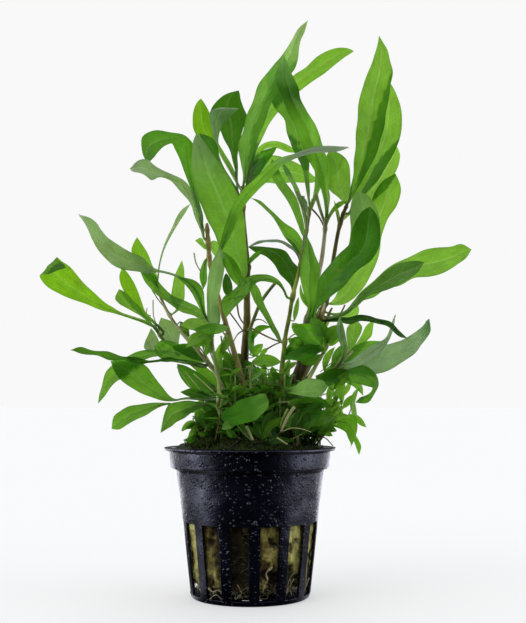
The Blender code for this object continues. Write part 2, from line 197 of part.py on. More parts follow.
# Small leaves that grow straight out of a stem, in one piece with it.
SMALL = {
    "stem_left_tall": [
        dict(at=(207, 247), d=(None, 3, 4), e=(0, 0.5, 0), tone="bright", st=[(206.5, 249, 206.5, 245), (202, 247, 201, 238), (195, 240.5)]),
        dict(at=(208, 245), d=(None, 0.5, -1), e=(0, 0.5, 0), tone="bright", st=[(209, 243, 209, 248), (214, 240.5, 214, 255), (219, 244, 218, 257), (222, 252)]),
        dict(at=(209, 258), d=(None, -1, -2), e=(0, 0.5, 0), tone="dark", st=[(206, 258, 208, 260), (201.5, 266, 207, 270), (199.5, 277, 207, 281), (203, 290)]),
    ],
    "stem_centre": [
        dict(at=(243, 205), d=(None, -14, -15), e=(0, 1, 0), tone="bright", st=[(247, 187, 250, 187), (250, 168, 254, 169), (253.5, 153, 259, 157), (263, 143.5, 266, 149), (276, 141, 277, 148), (288, 145, 287, 152), (300, 153)]),
        dict(at=(243, 190), d=(None, -20, -22), e=(0, -2, 0), tone="bright", st=[(246, 184, 246, 188), (254, 163, 255, 183), (266, 156, 267, 183), (280, 156.5, 280, 183.5), (293, 161, 293, 182.5), (305, 168.5, 305, 182.5), (314, 176, 314, 182.5), (320, 180.5)]),
        dict(at=(246, 268), d=(None, -0.5, -1), e=(0, 1, 0), tone="dark", st=[(247, 267, 249.5, 266), (249.5, 258, 253, 261), (256, 252, 259, 256), (265, 249)]),
        dict(at=(243, 207), d=(None, 6.5, 7), e=(0, 0.5, 0), tone="dark", st=[(237, 193, 239, 192), (230, 181, 232, 180), (221, 169, 224, 167), (212, 158, 219, 155), (206, 148.5, 218, 148), (202, 140.5, 213, 138.5), (199, 133)]),
    ],
    "stem_branch": [],
    "stem_right_inner": [
        dict(at=(305, 238), d=(None, -1, -3), e=(0, 0.8, 0), tone="dark", st=[(301, 233, 305, 231), (297, 222, 303, 219), (293.5, 213, 301, 211), (290, 206, 299, 204), (285.5, 198, 296, 197), (280, 190, 291, 189), (274.5, 182, 285, 181), (271, 175, 280, 173), (270, 168, 277, 166), (272, 159)]),
        dict(at=(306, 231), d=(None, -6, -8), e=(0, 1.5, 1), tone="mid", st=[(303.5, 219, 306, 218), (299, 203, 302.5, 202), (294, 190, 298.5, 188), (288, 178, 292.5, 176), (283, 168, 286, 166), (280, 160)]),
        dict(at=(309, 213), d=(None, 1.5, 2), e=(0, 1, 0), tone="mid", st=[(311, 204, 315, 203), (314, 191, 320, 190), (315, 177, 325.5, 178), (313.5, 163, 326, 163), (314.5, 150, 324, 150), (320, 138)]),
        dict(at=(300, 264), d=(None, -9, -9), e=(0, 2.5, 1.5), tone="dark", st=[(298, 258, 300.5, 256), (292, 250, 294.5, 247.5), (285, 245.5, 287, 242.5), (276, 242.5, 277, 239.5), (266, 242, 266, 239.5), (256, 245, 255, 242.5), (246, 248)]),
        dict(at=(302, 254), d=(None, 6.5, 7), e=(0, 0.5, 0), tone="grey", st=[(306, 211, 308, 209), (303, 205, 307, 201), (300, 199, 302, 196), (297, 190)]),
    ],
    "stem_right_mid": [
        dict(at=(326, 219), d=(None, -9, -11), e=(0, 0.8, 0), tone="mid", st=[(327.5, 200, 330, 200), (327.5, 181, 331, 181), (327, 174, 336.5, 175), (326, 166, 340.5, 168), (327, 159, 341.5, 161), (335, 153)]),
        dict(at=(325, 228), d=(None, 3, 3), e=(0, 0.5, 0), tone="bright", st=[(328, 217, 330, 218.5), (333, 207, 336, 210), (339, 201.5, 341, 206.5), (347, 201.5)]),
    ],
    "stem_right_back": [
        dict(at=(341, 221), d=(None, -17, -19), e=(0, -1, 0), tone="bright", st=[(351, 209, 354, 212), (358, 196, 370, 203), (366, 181, 385, 191), (374, 168, 394, 175), (384, 156, 399.3, 162), (392.5, 149, 399.5, 152), (397, 146.5)]),
        dict(at=(340, 226), d=(None, -4, -3.5), e=(0, 0.5, 0), tone="bright", st=[(338, 217, 340, 217), (335, 209, 338, 208.5), (334, 200)]),
        dict(at=(319, 317), d=(None, -11, -12), e=(0, 1, 0), tone="bright", st=[(335, 318, 336, 321), (345, 315, 348, 320), (350, 306, 359, 313), (357, 300)]),
    ],
    "stem_pale_right": [
        dict(at=(330, 336), d=(None, 17, 18), e=(0, 2, 0), tone="mid", st=[(331, 341, 331, 330), (319, 345, 319, 325.5), (307, 342, 307, 323), (298, 336, 298, 324), (291, 327)]),
        dict(at=(325, 349), d=(None, 16, 15), e=(0, 2, 0), tone="dark", st=[(321, 352, 320, 345), (311, 357.5, 308, 344), (299, 360.5, 297, 348), (289, 360, 288, 354), (284, 360)]),
        dict(at=(327, 345), d=(None, 11, 11), e=(0, -1, 0), tone="bright", st=[(325, 338, 331, 346), (328, 331, 338, 342), (334, 326, 343, 334), (342, 323)]),
    ],
    "stem_lower_right": [
        dict(at=(337, 367), d=(None, 15, 7), e=(0, -1, 0), tone="grey", st=[(342, 364, 343.5, 367), (351, 360.5, 354, 367), (362, 352, 368, 361.5), (373, 344.5, 379, 354), (383, 340, 386, 345.5), (387.5, 334.5, 391, 336), (391, 325, 394, 326), (393, 319, 395, 319.5), (395.7, 314.3)]),
        dict(at=(334, 371), d=(None, 2.5, 4), e=(0, -1, 0), tone="mid", st=[(339, 363, 342, 366), (347, 353, 351, 362.5), (357, 345, 362.5, 355.5), (367, 341, 371, 348), (380.5, 341)]),
        dict(at=(335, 369), d=(None, 2, -3), e=(0, 1, 0), tone="bright", st=[(340, 359, 343, 361), (347, 349, 353, 352), (347, 341, 357, 341), (346, 333, 361, 333), (348, 326, 362, 326), (356, 319)]),
        dict(at=(333, 372), d=(None, -2, 0), e=(0, -1, 0), tone="bright", st=[(342, 362, 345, 364), (351, 351, 356, 354), (357, 342, 365.5, 342.5), (362, 334, 371.5, 336), (366, 326, 373, 328), (374.5, 319)]),
        dict(at=(336, 368), d=(None, 15, 17), e=(0, 1, 0), tone="grey", st=[(341, 358, 345, 358), (341, 348, 347, 348), (337.5, 336, 346, 337), (336.5, 325, 343.5, 326), (340, 316)]),
        dict(at=(325, 380), d=(None, 6, 4), e=(0, 0.5, 0), tone="mid", st=[(340, 379, 339, 381.5), (352, 380.5, 350, 384.5), (361, 384, 355, 388), (363.5, 396)]),
    ],
    "stem_left_main": [
        dict(at=(170, 316), d=(None, -5, -5), e=(0, 0.8, 0), tone="bright", st=[(176, 309, 179, 310), (171.5, 298, 184, 300), (172.5, 287, 184.5, 288), (174.5, 276, 184.5, 277), (178, 268, 184, 268), (182, 260)]),
        dict(at=(157, 286), d=(None, -4, -5), e=(0, 1, 1.5), tone="grey", st=[(157.3, 276, 159, 276), (158.5, 266, 160, 266), (162, 251, 163.8, 252), (166, 240, 168, 241.5), (171, 229.5, 174, 231), (177, 217, 181, 219.5), (184, 207.5, 187, 210), (192, 202.5)]),
        dict(at=(207, 361), d=(None, 6, 5), e=(0, 1, 0), tone="mid", st=[(203, 363, 203, 358), (190, 361, 192, 351), (175, 359.5, 179, 344), (163, 359, 167, 340.5), (157, 355, 159, 341.5), (154, 348)]),
    ],
    "stem_left_front": [
        dict(at=(212, 338), d=(None, 10.5, 10), e=(0, 1, 0), tone="grey", st=[(211, 330, 216, 331), (207.5, 319, 219, 320), (207, 303, 217.5, 303), (207, 288, 221, 288), (208.5, 274, 223.5, 274), (212, 262, 225, 262), (216, 254, 224, 254), (220, 248)]),
        dict(at=(210, 327), d=(None, 12, 12), e=(0, 1.5, 0), tone="bright", st=[(204, 329, 204, 320), (194, 330.5, 194, 318), (186, 328.5, 187, 319.5), (180, 325)]),
        dict(at=(212, 338), d=(None, 12.5, 13), e=(0, 1.5, 0), tone="bright", st=[(208, 338, 207, 332.5), (200, 342, 196, 332.5), (193, 345.5, 189.5, 336), (186, 347.5)]),
        dict(at=(220, 396), d=(None, 9, 8), e=(0, 1.5, 0), tone="dark", st=[(209, 399.5, 209, 395), (198, 398.5, 199, 389), (188, 396.5, 189, 388.5), (180, 392)]),
        dict(at=(210, 328), d=(None, 3, 2), e=(0, 1, 0), tone="mid", st=[(203, 322, 205, 318.5), (195, 316.5, 199.5, 308.5), (182, 312, 188, 302), (169.5, 304, 174, 296.5), (160, 297, 166.5, 290), (152, 290, 159, 282), (145, 282, 154, 274), (140, 271)]),
        dict(at=(209, 324), d=(None, 10.5, 9), e=(0, 1, 0), tone="mid", st=[(202.5, 314, 206, 313), (197.5, 304, 204.5, 302), (193, 295, 203, 290), (187, 287, 197, 281.5), (176, 276)]),
    ],
    "stem_left_low": [
        dict(at=(158, 335), d=(None, 3.5, 5), e=(0, 1, 0), tone="bright", st=[(148, 322.5, 150, 320.5), (136, 313.5, 141, 308), (126, 307.5, 134, 301), (118.5, 303, 128, 295), (115, 297.5, 123, 291), (119, 289)]),
        dict(at=(166, 343), d=(None, -7, -9), e=(0, 1, 0), tone="grey", st=[(152, 352, 160, 349), (144.5, 349, 159, 341), (145, 341.5, 156, 334.5), (148, 335, 153.5, 331), (151, 328)]),
        dict(at=(180, 355), d=(None, -7, -7), e=(0, 1, 0), tone="grey", st=[(171, 343.5, 179, 340.5), (163, 341, 180, 334), (158.5, 334, 177, 328), (158, 326, 172, 321.5), (161, 317.5)]),
        dict(at=(172, 349), d=(None, 0, 1), e=(0, 1.5, 0), tone="mid", st=[(159, 356, 160, 351), (152, 357.5, 151, 349.5), (144, 360, 143, 350.5), (135, 359, 135, 352.5), (127, 356.5)]),
    ],
}
# --- plant table: end

# Undergrowth: tufts of small leaves round the foot of the stems. Each tuft is one piece: a foot on the
# moss, and short leaves that spring from it. "foot": grid point, depth and radius in mm.
# --- undergrowth: begin
TUFTS = {
    "undergrowth_left": dict(foot=(205, 437, 9, 2.2), leaves=[
        dict(d=(9, 10, 11), tone="mid", st=[(203, 434, 206, 432), (197, 430, 201, 424), (189, 429, 193, 422), (182, 431)]),
        dict(d=(9, 13, 15), tone="dark", st=[(202, 437, 204, 433), (195, 441, 196, 434), (189, 443, 188, 438), (183, 440)]),
        dict(d=(9, 8, 7), tone="mid", st=[(204, 431, 208, 431), (197, 420, 204, 417), (194, 410, 200, 408), (194, 402)]),
        dict(d=(9, 5, 3), tone="mid", st=[(207, 430, 210, 431), (207, 420, 213, 421), (205, 411, 210, 410), (205, 404)]),
    ]),
    "undergrowth_front": dict(foot=(262, 441, 18, 2.6), leaves=[
        dict(d=(18, 20, 21), tone="mid", st=[(258, 438, 262, 437), (247, 432, 250, 426), (239, 432, 240, 426), (232, 431)]),
        dict(d=(18, 21, 22), tone="bright", st=[(262, 437, 266, 438), (265, 428, 272, 430), (272, 420, 279, 424), (283, 417)]),
        dict(d=(18, 22, 24), tone="mid", st=[(266, 440, 266, 444), (276, 437, 277, 444), (287, 438, 287, 443), (294, 441)]),
        dict(d=(18, 17, 16), tone="dark", st=[(259, 436, 263, 436), (255, 425, 263, 425), (257, 417, 264, 416), (261, 410)]),
    ]),
    "undergrowth_right": dict(foot=(318, 438, 3, 2.4), leaves=[
        dict(d=(3, 5, 6), tone="mid", st=[(317, 434, 321, 435), (320, 423, 327, 426), (326, 414, 333, 418), (336, 409)]),
        dict(d=(3, 4, 3), tone="dark", st=[(315, 434, 319, 434), (311, 424, 318, 423), (311, 413, 317, 412), (314, 403)]),
        dict(d=(3, 6, 8), tone="mid", st=[(319, 430, 318, 434), (324, 428, 323, 435), (329, 430, 328, 436.5), (333, 436)]),
    ]),
    "undergrowth_back": dict(foot=(262, 431, -16, 3.0), leaves=[
        dict(d=(-16, -17, -18), tone="mid", st=[(258, 427, 262, 427), (252, 412, 261, 412), (250, 398, 258, 396), (252, 386)]),
        dict(d=(-16, -19, -21), tone="mid", st=[(262, 427, 266, 427), (266, 412, 275, 413), (273, 400, 281, 402), (281, 390)]),
        dict(d=(-16, -19, -20), tone="dark", st=[(257, 430, 259, 427), (241, 420, 246, 413), (229, 412, 234, 405), (220, 402)]),
        dict(d=(-16, -18, -20), tone="mid", st=[(266, 427, 268, 430), (281, 415, 285, 421), (294, 407, 297, 413), (307, 404)]),
        dict(d=(-16, -21, -24), tone="dark", st=[(260, 427, 264, 427), (258, 419, 266, 419), (259, 410, 266, 410), (263, 402)]),
    ]),
    "sprig_right": dict(foot=(320, 434, -4, 1.3), leaves=[
        dict(d=(-4, 4, 7), tone="mid", st=[(329, 424, 331, 427), (337, 419.5, 337, 424), (346, 415.5, 342.5, 428.5), (354.5, 415, 346, 433), (357.5, 424, 348.5, 439), (356.5, 434, 351, 444), (349, 450)]),
        dict(d=(-4, 1, 3), tone="mid", st=[(333, 424, 333, 427), (345, 427, 343, 430.5), (354, 433, 351, 436.5), (359, 440.5, 354.5, 443), (361.3, 448, 357, 450), (359, 455)]),
        dict(d=(-4, -2, 0), tone="mid", st=[(333, 420, 334, 423), (346, 415, 347, 418.5), (355, 414, 354, 419), (363, 420, 359.5, 425), (366.5, 427.5)]),
    ]),
}
# --- undergrowth: end


# ------------------------------------------------------------------ curves and helpers
def quad(f, t):
    a, b, c = f
    return a + (-3 * a + 4 * b - c) * t + (2 * a - 4 * b + 2 * c) * t * t


def knots_of(rows, mids):
    s = [0.0]
    for a, b in zip(mids, mids[1:]):
        s.append(s[-1] + max(math.hypot(b[0] - a[0], b[1] - a[1]), 0.5))
    return s


def curve_at(knots, rows, s):
    """Smooth curve through rows of numbers at the given knots (cubic, tangents from the neighbours)."""
    n = len(knots)
    i = 0
    while i < n - 2 and s > knots[i + 1]:
        i += 1

    def slope(k):
        if k == 0:
            return [(b - a) / (knots[1] - knots[0]) for a, b in zip(rows[0], rows[1])]
        if k == n - 1:
            return [(b - a) / (knots[-1] - knots[-2]) for a, b in zip(rows[-2], rows[-1])]
        h0, h1 = knots[k] - knots[k - 1], knots[k + 1] - knots[k]
        return [((b - a) / h0 * h1 + (c - b) / h1 * h0) / (h0 + h1) for a, b, c in zip(rows[k - 1], rows[k], rows[k + 1])]

    h = knots[i + 1] - knots[i]
    u = min(max((s - knots[i]) / h, 0.0), 1.0)
    m0, m1 = slope(i), slope(i + 1)
    a = 2 * u ** 3 - 3 * u ** 2 + 1
    b = u ** 3 - 2 * u ** 2 + u
    c = -2 * u ** 3 + 3 * u ** 2
    d = u ** 3 - u ** 2
    return [a * p + b * h * q + c * r + d * h * w for p, q, r, w in zip(rows[i], m0, rows[i + 1], m1)]


def moss_top(x, y):
    """Height of the moss surface."""
    r = math.hypot(x, y)
    a = math.atan2(x, -y)
    dome = [(0, MOSS_TOP_Z), (10, MOSS_TOP_Z - 0.4), (17, MOSS_TOP_Z - 1.8), (22, MOSS_TOP_Z - 3.6), (25.1, MOSS_TOP_Z - 5.6)]
    z = dome[-1][1]
    for (r0, z0), (r1, z1) in zip(dome, dome[1:]):
        if r <= r1:
            z = z0 + (z1 - z0) * (r - r0) / (r1 - r0)
            break
    return z + 0.5 * math.sin(3 * a + 0.8) * min(r / 14, 1.0)


def stem_samples(name, n=120):
    r0, r1, pts = STEMS[name]
    knots = knots_of(pts, pts)
    out = []
    for i in range(n + 1):
        s = knots[-1] * i / n
        gx, gy, d = curve_at(knots, pts, s)
        out.append((at(gx, gy, d), r0 + (r1 - r0) * i / n, gx, gy, d))
    first = 0
    for i, (p, r, gx, gy, d) in enumerate(out):
        if p.z < moss_top(p.x, p.y) + 0.45 + 0.35 * r:
            first = i + 1
    return out[first:] if first < n else out


STEM_CACHE = {name: stem_samples(name) for name in STEMS}


def stem_spot(name, gx, gy):
    return min(STEM_CACHE[name], key=lambda q: (q[2] - gx) ** 2 + (q[3] - gy) ** 2)


def ribbon(leaf, start=None, n=200):
    """Dense cross-sections of a leaf: (left edge, midrib, right edge, away direction, share of the length)."""
    st = leaf["st"]
    rows = [list(q) for q in st[:-1]] + [[st[-1][0], st[-1][1], st[-1][0], st[-1][1]]]
    d = list(leaf["d"])
    if start is not None:
        p, r, gx, gy, sd = start
        if d[0] is None:
            d = [sd] + [sd + (v - sd) * DEPTH_SPREAD for v in d[1:]]
        lx, ly, rx, ry = rows[0]
        w = math.hypot(rx - lx, ry - ly) or 1.0
        k = 1.1 / w
        rows.insert(0, [gx - (rx - lx) * k, gy - (ry - ly) * k, gx + (rx - lx) * k, gy + (ry - ly) * k])
        if math.hypot((lx + rx) / 2 - gx, (ly + ry) / 2 - gy) < 1.2:
            rows.pop(1)
    lift = [0.0] * len(rows)
    shift = len(rows) - len(st)
    for i, v in leaf.get("lift", []):
        lift[i + shift] = v
    rows = [r + [v] for r, v in zip(rows, lift)]
    mids = [((r[0] + r[2]) / 2, (r[1] + r[3]) / 2) for r in rows]
    knots = knots_of(rows, mids)
    e = leaf.get("e", (0, 0, 0))
    fold = leaf.get("fold", 0.1)
    raw = []
    for i in range(n + 1):
        t = i / n
        lx, ly, rx, ry, v = curve_at(knots, rows, knots[-1] * t)
        dd, ee = quad(d, t) + v, quad(e, t) * min(t * 4, 1.0)
        left, right = at(lx, ly, dd + ee), at(rx, ry, dd - ee)
        raw.append((left, right, t))
    out = []
    for i, (left, right, t) in enumerate(raw):
        a, b = raw[max(i - 3, 0)], raw[min(i + 3, n)]
        tan = (b[0] + b[1]) / 2 - (a[0] + a[1]) / 2
        mid, w = (left + right) / 2, right - left
        if w.length < 0.01:
            prev = raw[max(i - 6, 0)]
            w = prev[1] - prev[0]
            w = w.normalized() * 0.01 if w.length > 1e-6 else Vector((0.01, 0, 0))
        away = tan.cross(w)
        away = away.normalized() if away.length > 1e-9 else Vector((0, 1, 0))
        out.append([left, mid + away * (fold * w.length / 2), right, away, t])
    return out


def to_axis(p, samples):
    """Distance from a point to a stem's surface."""
    return min((p - q[0]).length - q[1] for q in samples)


def leaf_rings(leaf, start=None, own=None, rings=9, thick=LEAF_T, share_open=0.3):
    dense = ribbon(leaf, start)
    first = 0
    if own is not None:
        for i, (a, m, b, away, t) in enumerate(dense):
            if t > share_open:
                break
            wide = (b - a).length
            half = (b - a).normalized() * max(wide / 2, 0.38) if wide > 1e-6 else Vector((0.38, 0, 0))
            if min(to_axis(q, own) for q in ((a + b) / 2 - half, (a + b) / 2 + half, m - away * thick / 2, m + away * thick / 2)) < FIT_GAP:
                first = i + 1
    picks = [first + (len(dense) - 1 - first) * i / rings for i in range(rings)]
    out = []
    for i, q in enumerate(picks):
        a, m, b, away, t = dense[int(round(q))]
        w = b - a
        if w.length < 0.76:
            c = (a + b) / 2
            w = (w.normalized() if w.length > 1e-6 else Vector((1, 0, 0))) * 0.38
            a, b = c - w, c + w
        th = thick * (0.8 if i in (0, rings - 1) else 1.0)
        out.append([a, m - away * th / 2, b, m + away * th / 2])
    return out, dense[-1][1]


# ------------------------------------------------------------------ materials
def material(name, colour, rough=0.6):
    mat = bpy.data.materials.new(name)
    mat.use_nodes = True
    bsdf = next(n for n in mat.node_tree.nodes if n.type == "BSDF_PRINCIPLED")
    bsdf.inputs["Base Color"].default_value = (*colour, 1.0)
    bsdf.inputs["Roughness"].default_value = rough
    mat.diffuse_color = (*colour, 1.0)
    return mat


MAT_POT = material("pot_plastic", (0.018, 0.017, 0.026), 0.32)
MAT_WOOL = material("rock_wool", (0.23, 0.20, 0.07), 0.95)
MAT_ROOT = material("root_fibre", (0.62, 0.56, 0.40), 0.8)
MAT_MOSS = material("moss", (0.045, 0.06, 0.018), 0.95)
MAT_STEM = material("stem", (0.34, 0.26, 0.11), 0.6)
MAT_LEAF = material("leaf", (0.30, 0.42, 0.03), 0.45)
MAT_SHADED = material("leaf_shaded", (0.12, 0.20, 0.02), 0.45)
MAT_GREY = material("leaf_sheen", (0.24, 0.32, 0.16), 0.35)
TONES = {"bright": MAT_LEAF, "mid": MAT_LEAF, "dark": MAT_SHADED, "grey": MAT_GREY}


# ------------------------------------------------------------------ mesh makers
def to_object(name, verts, faces, mat, smooth_angle=None):
    bm = bmesh.new()
    vs = [bm.verts.new(Vector(v) * MM) for v in verts]
    for f in faces:
        bm.faces.new([vs[i] for i in f])
    bmesh.ops.triangulate(bm, faces=[f for f in bm.faces if len(f.verts) > 3])
    bmesh.ops.recalc_face_normals(bm, faces=bm.faces)
    if bm.calc_volume(signed=True) < 0:
        bmesh.ops.reverse_faces(bm, faces=bm.faces)
    mesh = bpy.data.meshes.new(name)
    bm.to_mesh(mesh)
    bm.free()
    mesh.materials.append(mat)
    if smooth_angle:
        mesh.shade_smooth()
        mesh.set_sharp_from_angle(angle=math.radians(smooth_angle))
    obj = bpy.data.objects.new(name, mesh)
    bpy.context.scene.collection.objects.link(obj)
    return obj


def skin(rings, tip):
    """Faces of a closed body of equal rings that ends in one tip vertex."""
    n = len(rings[0])
    verts = [v for ring in rings for v in ring] + [tip]
    faces = [list(range(n))]
    for i in range(len(rings) - 1):
        for j in range(n):
            k = (j + 1) % n
            faces.append([i * n + j, i * n + k, (i + 1) * n + k, (i + 1) * n + j])
    last = (len(rings) - 1) * n
    for j in range(n):
        faces.append([last + j, last + (j + 1) % n, len(verts) - 1])
    return verts, faces


def tube(samples, sides, rings):
    """Closed tube along a stem, with flat ends."""
    picks = [samples[int(round((len(samples) - 1) * i / (rings - 1)))] for i in range(rings)]
    verts, faces = [], []
    side = Vector((1, 0, 0))
    for i, q in enumerate(picks):
        a, b = picks[max(i - 1, 0)][0], picks[min(i + 1, rings - 1)][0]
        tan = (b - a).normalized()
        side = (side - tan * side.dot(tan)).normalized()
        other = tan.cross(side)
        for j in range(sides):
            ang = 2 * math.pi * j / sides
            verts.append(q[0] + (side * math.cos(ang) + other * math.sin(ang)) * q[1])
    for i in range(rings - 1):
        for j in range(sides):
            k = (j + 1) % sides
            faces.append([i * sides + j, i * sides + k, (i + 1) * sides + k, (i + 1) * sides + j])
    faces.append(list(range(sides)))
    faces.append(list(range((rings - 1) * sides, rings * sides)))
    return verts, faces


def join_all(name, objs, mat):
    """One closed body from overlapping closed bodies."""
    base = objs[0]
    for other in objs[1:]:
        mod = base.modifiers.new("join", "BOOLEAN")
        mod.operation = "UNION"
        mod.solver = "EXACT"
        mod.use_self = True
        mod.object = other
        deps = bpy.context.evaluated_depsgraph_get()
        deps.update()
        mesh = bpy.data.meshes.new_from_object(base.evaluated_get(deps))
        base.modifiers.clear()
        old = base.data
        base.data = mesh
        bpy.data.meshes.remove(old)
        bpy.data.objects.remove(other, do_unlink=True)
    bm = bmesh.new()
    bm.from_mesh(base.data)
    bmesh.ops.triangulate(bm, faces=bm.faces)
    bmesh.ops.remove_doubles(bm, verts=bm.verts, dist=2e-6)
    bmesh.ops.dissolve_degenerate(bm, edges=bm.edges, dist=1e-6)
    bmesh.ops.triangulate(bm, faces=bm.faces)
    bm.to_mesh(base.data)
    bm.free()
    base.name = name
    base.data.name = name
    base.data.materials.clear()
    base.data.materials.append(mat)
    return base


# ------------------------------------------------------------------ pot
def make_pot():
    outer = [(FLANGE_R, POT_HEIGHT), (FLANGE_R, POT_HEIGHT - FLANGE_T), (COLLAR_R_TOP, POT_HEIGHT - FLANGE_T - 0.15),
             (COLLAR_R_LOW, STEP_Z), (BODY_R_TOP, STEP_Z - 0.9), (22.95, 32.0), (BODY_R_SLOT + 0.35, SLOT_TOP_Z),
             (19.45, SLOT_LOW_Z), (18.8, 0.0), (DRAIN_R_OUT, 0.0), (DRAIN_R_IN, 0.0)]
    inner = [(COLLAR_R_TOP - WALL, POT_HEIGHT), (COLLAR_R_LOW - WALL, STEP_Z), (BODY_R_TOP - WALL, STEP_Z - 0.9),
             (22.95 - WALL, 32.0), (BODY_R_SLOT + 0.35 - WALL, SLOT_TOP_Z), (19.45 - WALL, SLOT_LOW_Z),
             (18.3, BASE_T), (DRAIN_R_OUT, BASE_T), (DRAIN_R_IN, BASE_T)]
    open_outer = {6, 9}         # strips of the outer chain that are open in a slot column
    open_inner = {4, 7}
    slot, drain = ((6, 4), (7, 5)), ((9, 7), (10, 8))
    pitch = 360.0 / SLOTS
    angles, is_open = [], []
    for s in range(SLOTS):
        c = SLOT_FIRST + s * pitch
        h, rib = SLOT_ANGLE / 2, pitch - SLOT_ANGLE
        angles += [c - h, c, c + h]
        is_open += [True, True, False]
    cols = len(angles)
    verts = []
    index = {}

    def put(kind, i, j, rz):
        a = math.radians(angles[j])
        index[kind, i, j] = len(verts)
        verts.append((rz[0] * math.sin(a), -rz[0] * math.cos(a), rz[1]))

    for j in range(cols):
        for i, rz in enumerate(outer):
            put("o", i, j, rz)
        for i, rz in enumerate(inner):
            put("i", i, j, rz)
    under, floor = len(verts), len(verts) + 1
    verts += [(0, 0, 0), (0, 0, BASE_T)]
    faces = []
    for j in range(cols):
        k = (j + 1) % cols
        for i in range(len(outer) - 1):
            if not (is_open[j] and i in open_outer):
                faces.append([index["o", i, j], index["o", i + 1, j], index["o", i + 1, k], index["o", i, k]])
        for i in range(len(inner) - 1):
            if not (is_open[j] and i in open_inner):
                faces.append([index["i", i, k], index["i", i + 1, k], index["i", i + 1, j], index["i", i, j]])
        faces.append([index["o", 0, k], index["i", 0, k], index["i", 0, j], index["o", 0, j]])
        faces.append([index["o", len(outer) - 1, j], under, index["o", len(outer) - 1, k]])
        faces.append([index["i", len(inner) - 1, k], floor, index["i", len(inner) - 1, j]])
        if is_open[j]:
            for (o, i) in slot + drain:
                faces.append([index["o", o, j], index["o", o, k], index["i", i, k], index["i", i, j]])
        if is_open[j] != is_open[j - 1]:
            for (o0, i0), (o1, i1) in (slot, drain):
                faces.append([index["o", o0, j], index["o", o1, j], index["i", i1, j], index["i", i0, j]])
    return to_object("net_pot", verts, faces, MAT_POT, 35)


def turned(name, chain, cols, mat, wave=None):
    """Closed body of revolution from (r, z) pairs, from the top centre to the bottom centre."""
    verts = [(0, 0, chain[0][1])]
    for r, z in chain[1:-1]:
        for j in range(cols):
            a = 2 * math.pi * (j + 0.5) / cols
            rr, zz = (r, z) if wave is None else wave(r, z, a)
            verts.append((rr * math.sin(a), -rr * math.cos(a), zz))
    verts.append((0, 0, chain[-1][1]))
    rows = len(chain) - 2
    faces = []
    for j in range(cols):
        k = (j + 1) % cols
        faces.append([0, 1 + j, 1 + k])
        for i in range(rows - 1):
            faces.append([1 + i * cols + j, 1 + (i + 1) * cols + j, 1 + (i + 1) * cols + k, 1 + i * cols + k])
        faces.append([1 + (rows - 1) * cols + k, 1 + (rows - 1) * cols + j, len(verts) - 1])
    return to_object(name, verts, faces, mat, 50)


def make_fill():
    g = WALL + FIT_GAP + 0.3
    wool = [(0, 44.9), (23.6, 44.9), (24.4, 44.2), (COLLAR_R_LOW - g, STEP_Z + 0.1), (BODY_R_TOP - g - 0.5, STEP_Z - 1.6), (22.95 - g, 32.0),
            (BODY_R_SLOT + 0.35 - g, SLOT_TOP_Z), (19.75 - g, 5.4), (18.0, 4.6), (0, 4.6)]
    turned("rock_wool_plug", wool, 21, MAT_WOOL)

    def moss_wave(r, z, a):
        x, y = r * math.sin(a), -r * math.cos(a)
        return (r, moss_top(x, y)) if z > 45.5 and r > 0 else (r, z)

    moss = [(0, MOSS_TOP_Z), (9, 52), (16, 51), (21, 49), (24.9, 47), (24.6, 45.3), (0, 45.3)]
    turned("moss_mat", moss, 24, MAT_MOSS, moss_wave)

    def root_wave(r, z, a):
        k = 1 + 0.07 * math.sin(5 * a) + 0.05 * math.sin(9 * a + 1) if r > 12 else 1
        return (min(r * k, 17.6), z)

    roots = [(0, 4.1), (9, 4.2), (14, 3.9), (16.4, 3.0), (15.8, 1.75), (9, 1.6), (0, 1.6)]
    turned("root_tangle", roots, 16, MAT_ROOT, root_wave)


# ------------------------------------------------------------------ plant
LEAF_RINGS = {"leaf_long_arching": 14, "leaf_far_left_folded": 15, "leaf_top_tall": 11, "leaf_top_front": 11, "leaf_top_right": 11,
              "leaf_left_grey_green": 13, "leaf_grey_left": 12, "leaf_drooping_left": 12, "leaf_centre_green_arch": 11}


def make_stem(name):
    samples = STEM_CACHE[name]
    length = sum((b[0] - a[0]).length for a, b in zip(samples, samples[1:]))
    verts, faces = tube(samples, 6, max(4, min(11, int(length / 8) + 2)))
    objs = [to_object(name, verts, faces, MAT_STEM)]
    for i, leaf in enumerate(SMALL[name]):
        spot = stem_spot(name, *leaf["at"])
        rings, tip = leaf_rings(leaf, spot, None, rings=min(5, len(leaf["st"]) + 1), thick=0.56)
        v, f = skin(rings, tip)
        objs.append(to_object("%s_small_%d" % (name, i), v, f, MAT_LEAF))
    return join_all(name, objs, MAT_STEM) if len(objs) > 1 else objs[0]


def make_leaf(name):
    leaf = LEAVES[name]
    start = own = None
    if "on" in leaf:
        a = leaf["st"][0]
        start = stem_spot(leaf["on"], (a[0] + a[2]) / 2, (a[1] + a[3]) / 2)
        own = STEM_CACHE[leaf["on"]]
    rings, tip = leaf_rings(leaf, start, own, rings=LEAF_RINGS.get(name, 8))
    v, f = skin(rings, tip)
    return to_object(name, v, f, TONES[leaf["tone"]])


